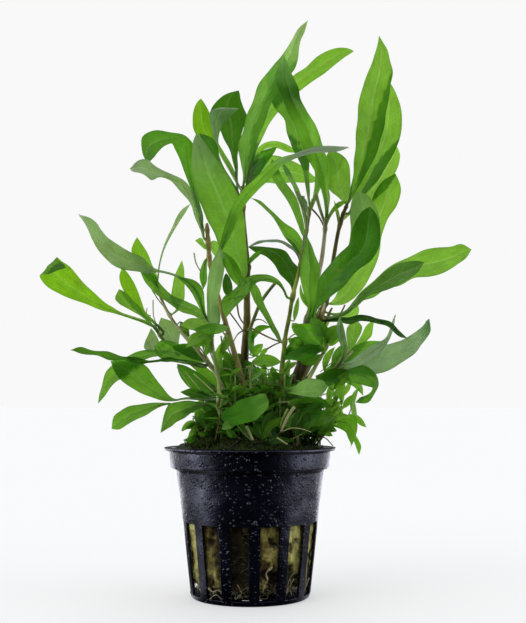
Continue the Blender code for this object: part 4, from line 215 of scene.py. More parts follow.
# Small leaves that grow straight out of a stem, in one piece with it.
SMALL = {
    "stem_left_tall": [
        dict(at=(207, 247), d=(None, 3, 4), e=(0, 0.5, 0), tone="bright", st=[(206.5, 249, 206.5, 245), (202, 247, 201, 238), (195, 240.5)]),
        dict(at=(208, 245), d=(None, 0.5, -1), e=(0, 0.5, 0), tone="bright", st=[(209, 243, 209, 248), (214, 240.5, 214, 255), (219, 244, 218, 257), (222, 252)]),
        dict(at=(209, 258), d=(None, -1, -2), e=(0, 0.5, 0), tone="dark", st=[(206, 258, 208, 260), (201.5, 266, 207, 270), (199.5, 277, 207, 281), (203, 290)]),
    ],
    "stem_centre": [
        dict(at=(243, 205), d=(None, -14, -15), e=(0, 1, 0), tone="bright", st=[(247, 187, 250, 187), (250, 168, 254, 169), (253.5, 153, 259, 157), (263, 143.5, 266, 149), (276, 141, 277, 148), (288, 145, 287, 152), (300, 153)]),
        dict(at=(243, 190), d=(None, -20, -22), e=(0, -2, 0), tone="bright", st=[(246, 184, 246, 188), (254, 163, 255, 183), (266, 156, 267, 183), (280, 156.5, 280, 183.5), (293, 161, 293, 182.5), (305, 168.5, 305, 182.5), (314, 176, 314, 182.5), (320, 180.5)]),
        dict(at=(246, 268), d=(None, -0.5, -1), e=(0, 1, 0), tone="dark", st=[(247, 267, 249.5, 266), (249.5, 258, 253, 261), (256, 252, 259, 256), (265, 249)]),
        dict(at=(243, 207), d=(None, 6.5, 7), e=(0, 0.5, 0), tone="dark", st=[(237, 193, 239, 192), (230, 181, 232, 180), (221, 169, 224, 167), (212, 158, 219, 155), (206, 148.5, 218, 148), (202, 140.5, 213, 138.5), (199, 133)]),
    ],
    "stem_branch": [],
    "stem_right_inner": [
        dict(at=(305, 238), d=(None, -1, -3), e=(0, 0.8, 0), tone="dark", st=[(301, 233, 305, 231), (297, 222, 303, 219), (293.5, 213, 301, 211), (290, 206, 299, 204), (285.5, 198, 296, 197), (280, 190, 291, 189), (274.5, 182, 285, 181), (271, 175, 280, 173), (270, 168, 277, 166), (272, 159)]),
        dict(at=(306, 231), d=(None, -6, -8), e=(0, 1.5, 1), tone="mid", st=[(303.5, 219, 306, 218), (299, 203, 302.5, 202), (294, 190, 298.5, 188), (288, 178, 292.5, 176), (283, 168, 286, 166), (280, 160)]),
        dict(at=(309, 213), d=(None, 1.5, 2), e=(0, 1, 0), tone="mid", st=[(311, 204, 315, 203), (314, 191, 320, 190), (315, 177, 325.5, 178), (313.5, 163, 326, 163), (314.5, 150, 324, 150), (320, 138)]),
        dict(at=(300, 264), d=(None, -9, -9), e=(0, 2.5, 1.5), tone="dark", st=[(298, 258, 300.5, 256), (292, 250, 294.5, 247.5), (285, 245.5, 287, 242.5), (276, 242.5, 277, 239.5), (266, 242, 266, 239.5), (256, 245, 255, 242.5), (246, 248)]),
        dict(at=(302, 254), d=(None, 6.5, 7), e=(0, 0.5, 0), tone="grey", st=[(306, 211, 308, 209), (303, 205, 307, 201), (300, 199, 302, 196), (297, 190)]),
    ],
    "stem_right_mid": [
        dict(at=(326, 219), d=(None, -9, -11), e=(0, 0.8, 0), tone="mid", st=[(327.5, 200, 330, 200), (327.5, 181, 331, 181), (327, 174, 336.5, 175), (326, 166, 340.5, 168), (327, 159, 341.5, 161), (335, 153)]),
        dict(at=(325, 228), d=(None, 3, 3), e=(0, 0.5, 0), tone="bright", st=[(328, 217, 330, 218.5), (333, 207, 336, 210), (339, 201.5, 341, 206.5), (347, 201.5)]),
    ],
    "stem_right_back": [
        dict(at=(341, 221), d=(None, -17, -19), e=(0, -1, 0), tone="bright", st=[(351, 209, 354, 212), (358, 196, 370, 203), (366, 181, 385, 191), (374, 168, 394, 175), (384, 156, 399.3, 162), (392.5, 149, 399.5, 152), (397, 146.5)]),
        dict(at=(340, 226), d=(None, -4, -3.5), e=(0, 0.5, 0), tone="bright", st=[(338, 217, 340, 217), (335, 209, 338, 208.5), (334, 200)]),
        dict(at=(319, 317), d=(None, -11, -12), e=(0, 1, 0), tone="bright", st=[(335, 318, 336, 321), (345, 315, 348, 320), (350, 306, 359, 313), (357, 300)]),
    ],
    "stem_pale_right": [
        dict(at=(330, 336), d=(None, 17, 18), e=(0, 2, 0), tone="mid", st=[(331, 341, 331, 330), (319, 345, 319, 325.5), (307, 342, 307, 323), (298, 336, 298, 324), (291, 327)]),
        dict(at=(325, 349), d=(None, 16, 15), e=(0, 2, 0), tone="dark", st=[(321, 352, 320, 345), (311, 357.5, 308, 344), (299, 360.5, 297, 348), (289, 360, 288, 354), (284, 360)]),
        dict(at=(327, 345), d=(None, 11, 11), e=(0, -1, 0), tone="bright", st=[(325, 338, 331, 346), (328, 331, 338, 342), (334, 326, 343, 334), (342, 323)]),
    ],
    "stem_lower_right": [
        dict(at=(337, 367), d=(None, 15, 7), e=(0, -1, 0), tone="grey", st=[(342, 364, 343.5, 367), (351, 360.5, 354, 367), (362, 352, 368, 361.5), (373, 344.5, 379, 354), (383, 340, 386, 345.5), (387.5, 334.5, 391, 336), (391, 325, 394, 326), (393, 319, 395, 319.5), (395.7, 314.3)]),
        dict(at=(334, 371), d=(None, 2.5, 4), e=(0, -1, 0), tone="mid", st=[(339, 363, 342, 366), (347, 353, 351, 362.5), (357, 345, 362.5, 355.5), (367, 341, 371, 348), (380.5, 341)]),
        dict(at=(335, 369), d=(None, 2, -3), e=(0, 1, 0), tone="bright", st=[(340, 359, 343, 361), (347, 349, 353, 352), (347, 341, 357, 341), (346, 333, 361, 333), (348, 326, 362, 326), (356, 319)]),
        dict(at=(333, 372), d=(None, -2, 0), e=(0, -1, 0), tone="bright", st=[(342, 362, 345, 364), (351, 351, 356, 354), (357, 342, 365.5, 342.5), (362, 334, 371.5, 336), (366, 326, 373, 328), (374.5, 319)]),
        dict(at=(336, 368), d=(None, 15, 17), e=(0, 1, 0), tone="grey", st=[(341, 358, 345, 358), (341, 348, 347, 348), (337.5, 336, 346, 337), (336.5, 325, 343.5, 326), (340, 316)]),
        dict(at=(325, 380), d=(None, 6, 4), e=(0, 0.5, 0), tone="mid", st=[(340, 379, 339, 381.5), (352, 380.5, 350, 384.5), (361, 384, 355, 388), (363.5, 396)]),
    ],
    "stem_left_main": [
        dict(at=(170, 316), d=(None, -5, -5), e=(0, 0.8, 0), tone="bright", st=[(176, 309, 179, 310), (171.5, 298, 184, 300), (172.5, 287, 184.5, 288), (174.5, 276, 184.5, 277), (178, 268, 184, 268), (182, 260)]),
        dict(at=(157, 286), d=(None, -4, -5), e=(0, 1, 1.5), tone="grey", st=[(157.3, 276, 159, 276), (158.5, 266, 160, 266), (162, 251, 163.8, 252), (166, 240, 168, 241.5), (171, 229.5, 174, 231), (177, 217, 181, 219.5), (184, 207.5, 187, 210), (192, 202.5)]),
        dict(at=(207, 361), d=(None, 6, 5), e=(0, 1, 0), tone="mid", st=[(203, 363, 203, 358), (190, 361, 192, 351), (175, 359.5, 179, 344), (163, 359, 167, 340.5), (157, 355, 159, 341.5), (154, 348)]),
    ],
    "stem_left_front": [
        dict(at=(212, 338), d=(None, 10.5, 10), e=(0, 1, 0), tone="grey", st=[(211, 330, 216, 331), (207.5, 319, 219, 320), (207, 303, 217.5, 303), (207, 288, 221, 288), (208.5, 274, 223.5, 274), (212, 262, 225, 262), (216, 254, 224, 254), (220, 248)]),
        dict(at=(210, 327), d=(None, 12, 12), e=(0, 1.5, 0), tone="bright", st=[(204, 329, 204, 320), (194, 330.5, 194, 318), (186, 328.5, 187, 319.5), (180, 325)]),
        dict(at=(212, 338), d=(None, 12.5, 13), e=(0, 1.5, 0), tone="bright", st=[(208, 338, 207, 332.5), (200, 342, 196, 332.5), (193, 345.5, 189.5, 336), (186, 347.5)]),
        dict(at=(220, 396), d=(None, 9, 8), e=(0, 1.5, 0), tone="dark", st=[(209, 399.5, 209, 395), (198, 398.5, 199, 389), (188, 396.5, 189, 388.5), (180, 392)]),
        dict(at=(210, 328), d=(None, 3, 2), e=(0, 1, 0), tone="mid", st=[(203, 322, 205, 318.5), (195, 316.5, 199.5, 308.5), (182, 312, 188, 302), (169.5, 304, 174, 296.5), (160, 297, 166.5, 290), (152, 290, 159, 282), (145, 282, 154, 274), (140, 271)]),
        dict(at=(209, 324), d=(None, 10.5, 9), e=(0, 1, 0), tone="mid", st=[(202.5, 314, 206, 313), (197.5, 304, 204.5, 302), (193, 295, 203, 290), (187, 287, 197, 281.5), (176, 276)]),
    ],
    "stem_left_low": [
        dict(at=(158, 335), d=(None, 3.5, 5), e=(0, 1, 0), tone="bright", st=[(148, 322.5, 150, 320.5), (136, 313.5, 141, 308), (126, 307.5, 134, 301), (118.5, 303, 128, 295), (115, 297.5, 123, 291), (119, 289)]),
        dict(at=(166, 343), d=(None, -7, -9), e=(0, 1, 0), tone="grey", st=[(152, 352, 160, 349), (144.5, 349, 159, 341), (145, 341.5, 156, 334.5), (148, 335, 153.5, 331), (151, 328)]),
        dict(at=(180, 355), d=(None, -7, -7), e=(0, 1, 0), tone="grey", st=[(171, 343.5, 179, 340.5), (163, 341, 180, 334), (158.5, 334, 177, 328), (158, 326, 172, 321.5), (161, 317.5)]),
        dict(at=(172, 349), d=(None, 0, 1), e=(0, 1.5, 0), tone="mid", st=[(159, 356, 160, 351), (152, 357.5, 151, 349.5), (144, 360, 143, 350.5), (135, 359, 135, 352.5), (127, 356.5)]),
    ],
}

TUFTS = {
    "undergrowth_left": dict(foot=(205, 437, 9, 2.2), leaves=[
        dict(d=(9, 10, 11), tone="mid", st=[(203, 434, 206, 432), (197, 430, 201, 424), (189, 429, 193, 422), (182, 431)]),
        dict(d=(9, 13, 15), tone="dark", st=[(202, 437, 204, 433), (195, 441, 196, 434), (189, 443, 188, 438), (183, 440)]),
        dict(d=(9, 8, 7), tone="mid", st=[(204, 431, 208, 431), (197, 420, 204, 417), (194, 410, 200, 408), (194, 402)]),
        dict(d=(9, 5, 3), tone="mid", st=[(207, 430, 210, 431), (207, 420, 213, 421), (205, 411, 210, 410), (205, 404)]),
    ]),
    "undergrowth_front": dict(foot=(262, 441, 18, 2.6), leaves=[
        dict(d=(18, 20, 21), tone="mid", st=[(258, 438, 262, 437), (247, 432, 250, 426), (239, 432, 240, 426), (232, 431)]),
        dict(d=(18, 21, 22), tone="bright", st=[(262, 437, 266, 438), (265, 428, 272, 430), (272, 420, 279, 424), (283, 417)]),
        dict(d=(18, 22, 24), tone="mid", st=[(266, 440, 266, 444), (276, 437, 277, 444), (287, 438, 287, 443), (294, 441)]),
        dict(d=(18, 17, 16), tone="dark", st=[(259, 436, 263, 436), (255, 425, 263, 425), (257, 417, 264, 416), (261, 410)]),
    ]),
    "undergrowth_right": dict(foot=(318, 438, 3, 2.4), leaves=[
        dict(d=(3, 5, 6), tone="mid", st=[(317, 434, 321, 435), (320, 423, 327, 426), (326, 414, 333, 418), (336, 409)]),
        dict(d=(3, 4, 3), tone="dark", st=[(315, 434, 319, 434), (311, 424, 318, 423), (311, 413, 317, 412), (314, 403)]),
        dict(d=(3, 6, 8), tone="mid", st=[(319, 430, 318, 434), (324, 428, 323, 435), (329, 430, 328, 436.5), (333, 436)]),
    ]),
    "undergrowth_back": dict(foot=(262, 431, -16, 3.0), leaves=[
        dict(d=(-16, -17, -18), tone="mid", st=[(258, 427, 262, 427), (252, 412, 261, 412), (250, 398, 258, 396), (252, 386)]),
        dict(d=(-16, -19, -21), tone="mid", st=[(262, 427, 266, 427), (266, 412, 275, 413), (273, 400, 281, 402), (281, 390)]),
        dict(d=(-16, -19, -20), tone="dark", st=[(257, 430, 259, 427), (241, 420, 246, 413), (229, 412, 234, 405), (220, 402)]),
        dict(d=(-16, -18, -20), tone="mid", st=[(266, 427, 268, 430), (281, 415, 285, 421), (294, 407, 297, 413), (307, 404)]),
        dict(d=(-16, -21, -24), tone="dark", st=[(260, 427, 264, 427), (258, 419, 266, 419), (259, 410, 266, 410), (263, 402)]),
    ]),
    "sprig_right": dict(foot=(320, 434, -4, 1.3), leaves=[
        dict(d=(-4, 4, 7), tone="mid", st=[(329, 424, 331, 427), (337, 419.5, 337, 424), (346, 415.5, 342.5, 428.5), (354.5, 415, 346, 433), (357.5, 424, 348.5, 439), (356.5, 434, 351, 444), (349, 450)]),
        dict(d=(-4, 1, 3), tone="mid", st=[(333, 424, 333, 427), (345, 427, 343, 430.5), (354, 433, 351, 436.5), (359, 440.5, 354.5, 443), (361.3, 448, 357, 450), (359, 455)]),
        dict(d=(-4, -2, 0), tone="mid", st=[(333, 420, 334, 423), (346, 415, 347, 418.5), (355, 414, 354, 419), (363, 420, 359.5, 425), (366.5, 427.5)]),
    ]),
}


# ------------------------------------------------------------------ curves
def quad(f, t):
    a, b, c = f
    return a + (-3 * a + 4 * b - c) * t + (2 * a - 4 * b + 2 * c) * t * t


def knots_of(mids):
    s = [0.0]
    for a, b in zip(mids, mids[1:]):
        s.append(s[-1] + max(math.hypot(b[0] - a[0], b[1] - a[1]), 0.5))
    return s


def curve_at(knots, rows, s):
    n = len(knots)
    i = 0
    while i < n - 2 and s > knots[i + 1]:
        i += 1

    def slope(k):
        if k == 0:
            return [(b - a) / (knots[1] - knots[0]) for a, b in zip(rows[0], rows[1])]
        if k == n - 1:
            return [(b - a) / (knots[-1] - knots[-2]) for a, b in zip(rows[-2], rows[-1])]
        h0, h1 = knots[k] - knots[k - 1], knots[k + 1] - knots[k]
        return [((b - a) / h0 * h1 + (c - b) / h1 * h0) / (h0 + h1) for a, b, c in zip(rows[k - 1], rows[k], rows[k + 1])]

    h = knots[i + 1] - knots[i]
    u = min(max((s - knots[i]) / h, 0.0), 1.0)
    m0, m1 = slope(i), slope(i + 1)
    a = 2 * u ** 3 - 3 * u ** 2 + 1
    b = u ** 3 - 2 * u ** 2 + u
    c = -2 * u ** 3 + 3 * u ** 2
    d = u ** 3 - u ** 2
    return [a * p + b * h * q + c * r + d * h * w for p, q, r, w in zip(rows[i], m0, rows[i + 1], m1)]


def moss_top(x, y):
    r = math.hypot(x, y)
    a = math.atan2(x, -y)
    dome = [(0, MOSS_TOP_Z), (10, MOSS_TOP_Z - 0.4), (17, MOSS_TOP_Z - 1.8), (22, MOSS_TOP_Z - 3.6), (25.1, MOSS_TOP_Z - 5.6)]
    z = dome[-1][1]
    for (r0, z0), (r1, z1) in zip(dome, dome[1:]):
        if r <= r1:
            z = z0 + (z1 - z0) * (r - r0) / (r1 - r0)
            break
    return z + 0.5 * math.sin(3 * a + 0.8) * min(r / 14, 1.0)


def smooth(a, b, x):
    t = min(max((x - a) / (b - a), 0.0), 1.0)
    return t * t * (3 - 2 * t)


def rough_noise(p, scale, seed=0.0):
    return noise.noise(Vector((p.x / scale + seed, p.y / scale - seed * 0.7, p.z / scale + seed * 0.3)))


# ------------------------------------------------------------------ materials
def nodes_of(name):
    mat = bpy.data.materials.new(name)
    mat.use_nodes = True
    tree = mat.node_tree
    for n in list(tree.nodes):
        tree.nodes.remove(n)
    out = tree.nodes.new("ShaderNodeOutputMaterial")
    return mat, tree, out


def math_node(tree, op, a, b=None, c=None, clamp=False):
    n = tree.nodes.new("ShaderNodeMath")
    n.operation = op
    n.use_clamp = clamp
    for i, v in enumerate((a, b, c)):
        if v is None:
            continue
        if isinstance(v, (int, float)):
            n.inputs[i].default_value = v
        else:
            tree.links.new(v, n.inputs[i])
    return n.outputs[0]


def ramp_node(tree, fac, stops, interp="LINEAR"):
    n = tree.nodes.new("ShaderNodeValToRGB")
    n.color_ramp.interpolation = interp
    els = n.color_ramp.elements
    while len(els) > 1:
        els.remove(els[-1])
    els[0].position = stops[0][0]
    els[0].color = (*stops[0][1], 1)
    for p, c in stops[1:]:
        e = els.new(p)
        e.color = (*c, 1)
    tree.links.new(fac, n.inputs[0])
    return n.outputs[0]


def mix_color(tree, fac, a, b, mode="MIX"):
    n = tree.nodes.new("ShaderNodeMix")
    n.data_type = "RGBA"
    n.blend_type = mode
    for sock, v in ((n.inputs[0], fac), (n.inputs[6], a), (n.inputs[7], b)):
        if isinstance(v, (int, float)):
            sock.default_value = v
        elif isinstance(v, tuple):
            sock.default_value = (*v, 1)
        else:
            tree.links.new(v, sock)
    return n.outputs[2]


def noise_node(tree, coord, scale, detail=3.0, rough=0.55, dist=0.0):
    n = tree.nodes.new("ShaderNodeTexNoise")
    n.inputs["Scale"].default_value = scale
    n.inputs["Detail"].default_value = detail
    n.inputs["Roughness"].default_value = rough
    n.inputs["Distortion"].default_value = dist
    tree.links.new(coord, n.inputs["Vector"])
    return n.outputs[0]


def object_coord(tree):
    n = tree.nodes.new("ShaderNodeTexCoord")
    return n.outputs["Object"]


def leaf_material(name, base, back, light, through=0.5, rough=0.42, spec=0.3, vein=0.35, age=(0.30, 0.20, 0.05), zone=None, rib_on=1.0):
    """A thin leaf: veins run from the midrib to the edges, light comes through the blade.

    UV: x runs across the blade from edge to edge, y is the distance along it in decimetres.
    The colour attribute "shade" is low where other leaves keep the light from behind away; it darkens the blade's
    colours as painted shade.
    zone: list of (where it starts, where it is full, colour) of tints that grow along the blade."""
    mat, tree, out = nodes_of(name)
    uvn = tree.nodes.new("ShaderNodeUVMap")
    uvn.uv_map = "UVMap"
    sep = tree.nodes.new("ShaderNodeSeparateXYZ")
    tree.links.new(uvn.outputs[0], sep.inputs[0])
    u, v = sep.outputs[0], sep.outputs[1]
    x = math_node(tree, "ABSOLUTE", math_node(tree, "MULTIPLY_ADD", u, 2.0, -1.0))
    coord = object_coord(tree)
    wob = noise_node(tree, coord, 260, 2.0)
    side = math_node(tree, "MULTIPLY", math_node(tree, "GREATER_THAN", u, 0.5), 0.5)
    phase = math_node(tree, "MULTIPLY", v, 30.0)
    phase = math_node(tree, "SUBTRACT", phase, math_node(tree, "MULTIPLY", x, 1.15))
    phase = math_node(tree, "ADD", phase, math_node(tree, "MULTIPLY", wob, 0.5))
    phase = math_node(tree, "ADD", phase, side)
    f = math_node(tree, "FRACT", phase)
    d = math_node(tree, "ABSOLUTE", math_node(tree, "SUBTRACT", f, 0.5))
    veins = math_node(tree, "SUBTRACT", 1.0, math_node(tree, "DIVIDE", d, 0.085), clamp=True)
    fade = math_node(tree, "SUBTRACT", 1.0, math_node(tree, "POWER", x, 4.0))
    veins = math_node(tree, "MULTIPLY", veins, fade)
    rib = math_node(tree, "SUBTRACT", 1.15, math_node(tree, "DIVIDE", x, 0.085), clamp=True)
    rib = math_node(tree, "MULTIPLY", rib, rib_on)
    mask = math_node(tree, "MAXIMUM", math_node(tree, "MULTIPLY", veins, vein), rib)
    grain = tree.nodes.new("ShaderNodeCombineXYZ")
    osep = tree.nodes.new("ShaderNodeSeparateXYZ")
    tree.links.new(coord, osep.inputs[0])
    tree.links.new(math_node(tree, "MULTIPLY", u, 15.0), grain.inputs[0])
    tree.links.new(math_node(tree, "MULTIPLY", v, 13.0), grain.inputs[1])
    tree.links.new(math_node(tree, "MULTIPLY", osep.outputs[0], 60.0), grain.inputs[2])
    streak = noise_node(tree, grain.outputs[0], 1.0, 3.0, 0.6)
    shade_in = tree.nodes.new("ShaderNodeAttribute")
    shade_in.attribute_name = "shade"
    ssep = tree.nodes.new("ShaderNodeSeparateColor")
    tree.links.new(shade_in.outputs["Color"], ssep.inputs[0])
    shade = ssep.outputs[0]
    patch = noise_node(tree, coord, 120, 4.0, 0.6)
    fine = noise_node(tree, coord, 900, 2.0, 0.6)
    tone = math_node(tree, "MULTIPLY_ADD", patch, 0.75, 0.625)
    tone = math_node(tree, "MULTIPLY", tone, math_node(tree, "MULTIPLY_ADD", streak, 0.62, 0.69))
    tone = math_node(tree, "MULTIPLY", tone, math_node(tree, "MULTIPLY_ADD", fine, 0.24, 0.88))
    edge = math_node(tree, "POWER", x, 14.0)
    foot = math_node(tree, "SUBTRACT", 1.0, math_node(tree, "DIVIDE", v, 0.10), clamp=True)

    def coloured(col, light, dim):
        c = mix_color(tree, mask, col, light)
        c = mix_color(tree, math_node(tree, "MULTIPLY", foot, 0.45), c, light)
        c = mix_color(tree, math_node(tree, "MULTIPLY", edge, 0.5), c, tuple(q * 0.45 for q in col))
        for start, full, tint in (zone or []):
            grow = math_node(tree, "DIVIDE", math_node(tree, "SUBTRACT", math_node(tree, "ADD", v, math_node(tree, "MULTIPLY_ADD", patch, 0.06, -0.03)), start), full - start, clamp=True)
            c = mix_color(tree, grow, c, tint)
        spots = math_node(tree, "MULTIPLY", math_node(tree, "GREATER_THAN", noise_node(tree, coord, 420, 1.0), 0.735), 0.35)
        c = mix_color(tree, spots, c, age)
        toned = tree.nodes.new("ShaderNodeVectorMath")
        toned.operation = "SCALE"
        tree.links.new(c, toned.inputs[0])
        tree.links.new(math_node(tree, "MULTIPLY", tone, dim), toned.inputs["Scale"])
        return toned.outputs[0]

    # painted shade: the lower the stored shade, the more red and blue this takes out of the colour of the light through
    # the blade, so shaded parts turn greener
    def filtered(col, s):
        green = tree.nodes.new("ShaderNodeCombineColor")
        tree.links.new(math_node(tree, "POWER", s, 0.65), green.inputs[0])
        green.inputs[1].default_value = 1.0
        tree.links.new(math_node(tree, "POWER", s, 0.9), green.inputs[2])
        return mix_color(tree, 1.0, col, green.outputs[0], "MULTIPLY")

    bump = tree.nodes.new("ShaderNodeBump")
    bump.inputs["Strength"].default_value = 0.55
    bump.inputs["Distance"].default_value = 0.00022
    high = math_node(tree, "ADD", math_node(tree, "MULTIPLY", mask, -0.8), math_node(tree, "MULTIPLY", fine, 0.5))
    high = math_node(tree, "ADD", high, math_node(tree, "MULTIPLY", patch, 1.2))
    tree.links.new(high, bump.inputs["Height"])
    top = tree.nodes.new("ShaderNodeBsdfPrincipled")
    # the stored shade also darkens the colour that the blade reflects: painted shade
    tree.links.new(coloured(base, light, math_node(tree, "MULTIPLY_ADD", shade, 0.45, 0.55)), top.inputs["Base Color"])
    top.inputs["Roughness"].default_value = rough
    top.inputs["Specular IOR Level"].default_value = spec
    tree.links.new(bump.outputs[0], top.inputs["Normal"])
    thin = tree.nodes.new("ShaderNodeBsdfTranslucent")
    glow = (min(back[0] * 1.15 + 0.07, 1.0), min(back[1] * 1.10 + 0.05, 1.0), back[2] * 1.6 + 0.03)
    tree.links.new(filtered(coloured(back, glow, shade), shade), thin.inputs["Color"])
    tree.links.new(bump.outputs[0], thin.inputs["Normal"])
    mix = tree.nodes.new("ShaderNodeMixShader")
    mix.inputs[0].default_value = through
    tree.links.new(top.outputs[0], mix.inputs[1])
    tree.links.new(thin.outputs[0], mix.inputs[2])
    tree.links.new(mix.outputs[0], out.inputs["Surface"])
    return mat


def simple_material(name, stops, scale, rough=0.6, spec=0.4, bump=0.3, bump_mm=0.2, fine=3.0, stretch=None, attribute=None, through=0.0):
    """Mottled surface: a colour ramp over noise, with bump from the same noise. through: share of the light that passes."""
    mat, tree, out = nodes_of(name)
    coord = object_coord(tree)
    if stretch:
        mp = tree.nodes.new("ShaderNodeMapping")
        mp.inputs["Scale"].default_value = stretch
        tree.links.new(coord, mp.inputs["Vector"])
        coord = mp.outputs[0]
    big = noise_node(tree, coord, scale, 4.0, 0.65)
    small = noise_node(tree, coord, scale * fine, 3.0, 0.6)
    both = math_node(tree, "ADD", math_node(tree, "MULTIPLY", big, 0.65), math_node(tree, "MULTIPLY", small, 0.35))
    col = ramp_node(tree, both, stops)
    if attribute:
        an = tree.nodes.new("ShaderNodeAttribute")
        an.attribute_name = attribute
        col = mix_color(tree, 1.0, col, an.outputs["Color"], "MULTIPLY")
    bs = tree.nodes.new("ShaderNodeBsdfPrincipled")
    tree.links.new(col, bs.inputs["Base Color"])
    bs.inputs["Roughness"].default_value = rough
    bs.inputs["Specular IOR Level"].default_value = spec
    bn = tree.nodes.new("ShaderNodeBump")
    bn.inputs["Strength"].default_value = bump
    bn.inputs["Distance"].default_value = bump_mm * MM
    tree.links.new(both, bn.inputs["Height"])
    tree.links.new(bn.outputs[0], bs.inputs["Normal"])
    if through:
        thin = tree.nodes.new("ShaderNodeBsdfTranslucent")
        tree.links.new(mix_color(tree, 1.0, col, (1.9, 1.75, 1.3), "MULTIPLY"), thin.inputs["Color"])
        mix = tree.nodes.new("ShaderNodeMixShader")
        mix.inputs[0].default_value = through
        tree.links.new(bs.outputs[0], mix.inputs[1])
        tree.links.new(thin.outputs[0], mix.inputs[2])
        tree.links.new(mix.outputs[0], out.inputs["Surface"])
    else:
        tree.links.new(bs.outputs[0], out.inputs["Surface"])
    return mat


def pot_material():
    """Moulded black plastic, damp and spotted, with patches that are glossier than the rest. The pale specks in its
    colour are painted glints of water drops.
    """
    mat, tree, out = nodes_of("damp_black_plastic_painted_glints")
    coord = object_coord(tree)
    speck = noise_node(tree, coord, 1500, 2.0, 0.6)
    broad = noise_node(tree, coord, 120, 1.5, 0.5)
    blotch = noise_node(tree, coord, 170, 3.0, 0.6)

    def beads(scale, least, most):
        cell = tree.nodes.new("ShaderNodeTexVoronoi")
        cell.inputs["Scale"].default_value = scale
        tree.links.new(coord, cell.inputs["Vector"])
        pick = tree.nodes.new("ShaderNodeSeparateColor")
        tree.links.new(cell.outputs["Color"], pick.inputs[0])
        size = math_node(tree, "MULTIPLY_ADD", pick.outputs[0], most - least, least)
        near = math_node(tree, "DIVIDE", cell.outputs["Distance"], size)
        return math_node(tree, "SUBTRACT", 1.0, math_node(tree, "MULTIPLY", near, near), clamp=True)

    small, large = beads(900, 0.04, 0.42), beads(470, 0.0, 0.31)
    bs = tree.nodes.new("ShaderNodeBsdfPrincipled")
    col = ramp_node(tree, broad, [(0.3, (0.0010, 0.0010, 0.0035)), (0.7, (0.0032, 0.0030, 0.0090))])
    # pale specks painted into the colour: painted glints of water drops
    pale = math_node(tree, "MULTIPLY", math_node(tree, "GREATER_THAN", speck, 0.715), 0.16)
    col = mix_color(tree, pale, col, (0.10, 0.10, 0.12))
    tree.links.new(col, bs.inputs["Base Color"])
    rough = math_node(tree, "MULTIPLY_ADD", blotch, 0.36, 0.07)
    rough = math_node(tree, "SUBTRACT", rough, math_node(tree, "MULTIPLY", large, 0.12))
    geo = tree.nodes.new("ShaderNodeNewGeometry")
    nsep = tree.nodes.new("ShaderNodeSeparateXYZ")
    tree.links.new(geo.outputs["Normal"], nsep.inputs[0])
    flat = math_node(tree, "MULTIPLY_ADD", nsep.outputs[2], 2.0, -0.6, clamp=True)
    # the top of the rim is dull with dried film
    tree.links.new(math_node(tree, "ADD", rough, math_node(tree, "MULTIPLY", flat, 0.5), clamp=True), bs.inputs["Roughness"])
    dots = math_node(tree, "MULTIPLY", math_node(tree, "MAXIMUM", beads(560, -0.02, 0.26), beads(880, -0.02, 0.30)), 2.2, clamp=True)
    spec = math_node(tree, "MULTIPLY_ADD", flat, -0.42, 0.5)
    tree.links.new(math_node(tree, "MULTIPLY", spec, math_node(tree, "MULTIPLY_ADD", dots, -0.86, 1.0)), bs.inputs["Specular IOR Level"])
    bs.inputs["Specular Tint"].default_value = (0.77, 0.81, 1.0, 1)
    bn = tree.nodes.new("ShaderNodeBump")
    bn.inputs["Strength"].default_value = 1.0
    bn.inputs["Distance"].default_value = 0.00042
    high = math_node(tree, "ADD", math_node(tree, "MULTIPLY", small, 0.72), math_node(tree, "MULTIPLY", large, 0.78))
    high = math_node(tree, "ADD", high, math_node(tree, "MULTIPLY", speck, 0.22))
    high = math_node(tree, "ADD", high, math_node(tree, "MULTIPLY", broad, 1.6))
    tree.links.new(high, bn.inputs["Height"])
    tree.links.new(bn.outputs[0], bs.inputs["Normal"])
    tree.links.new(bs.outputs[0], out.inputs["Surface"])
    return mat


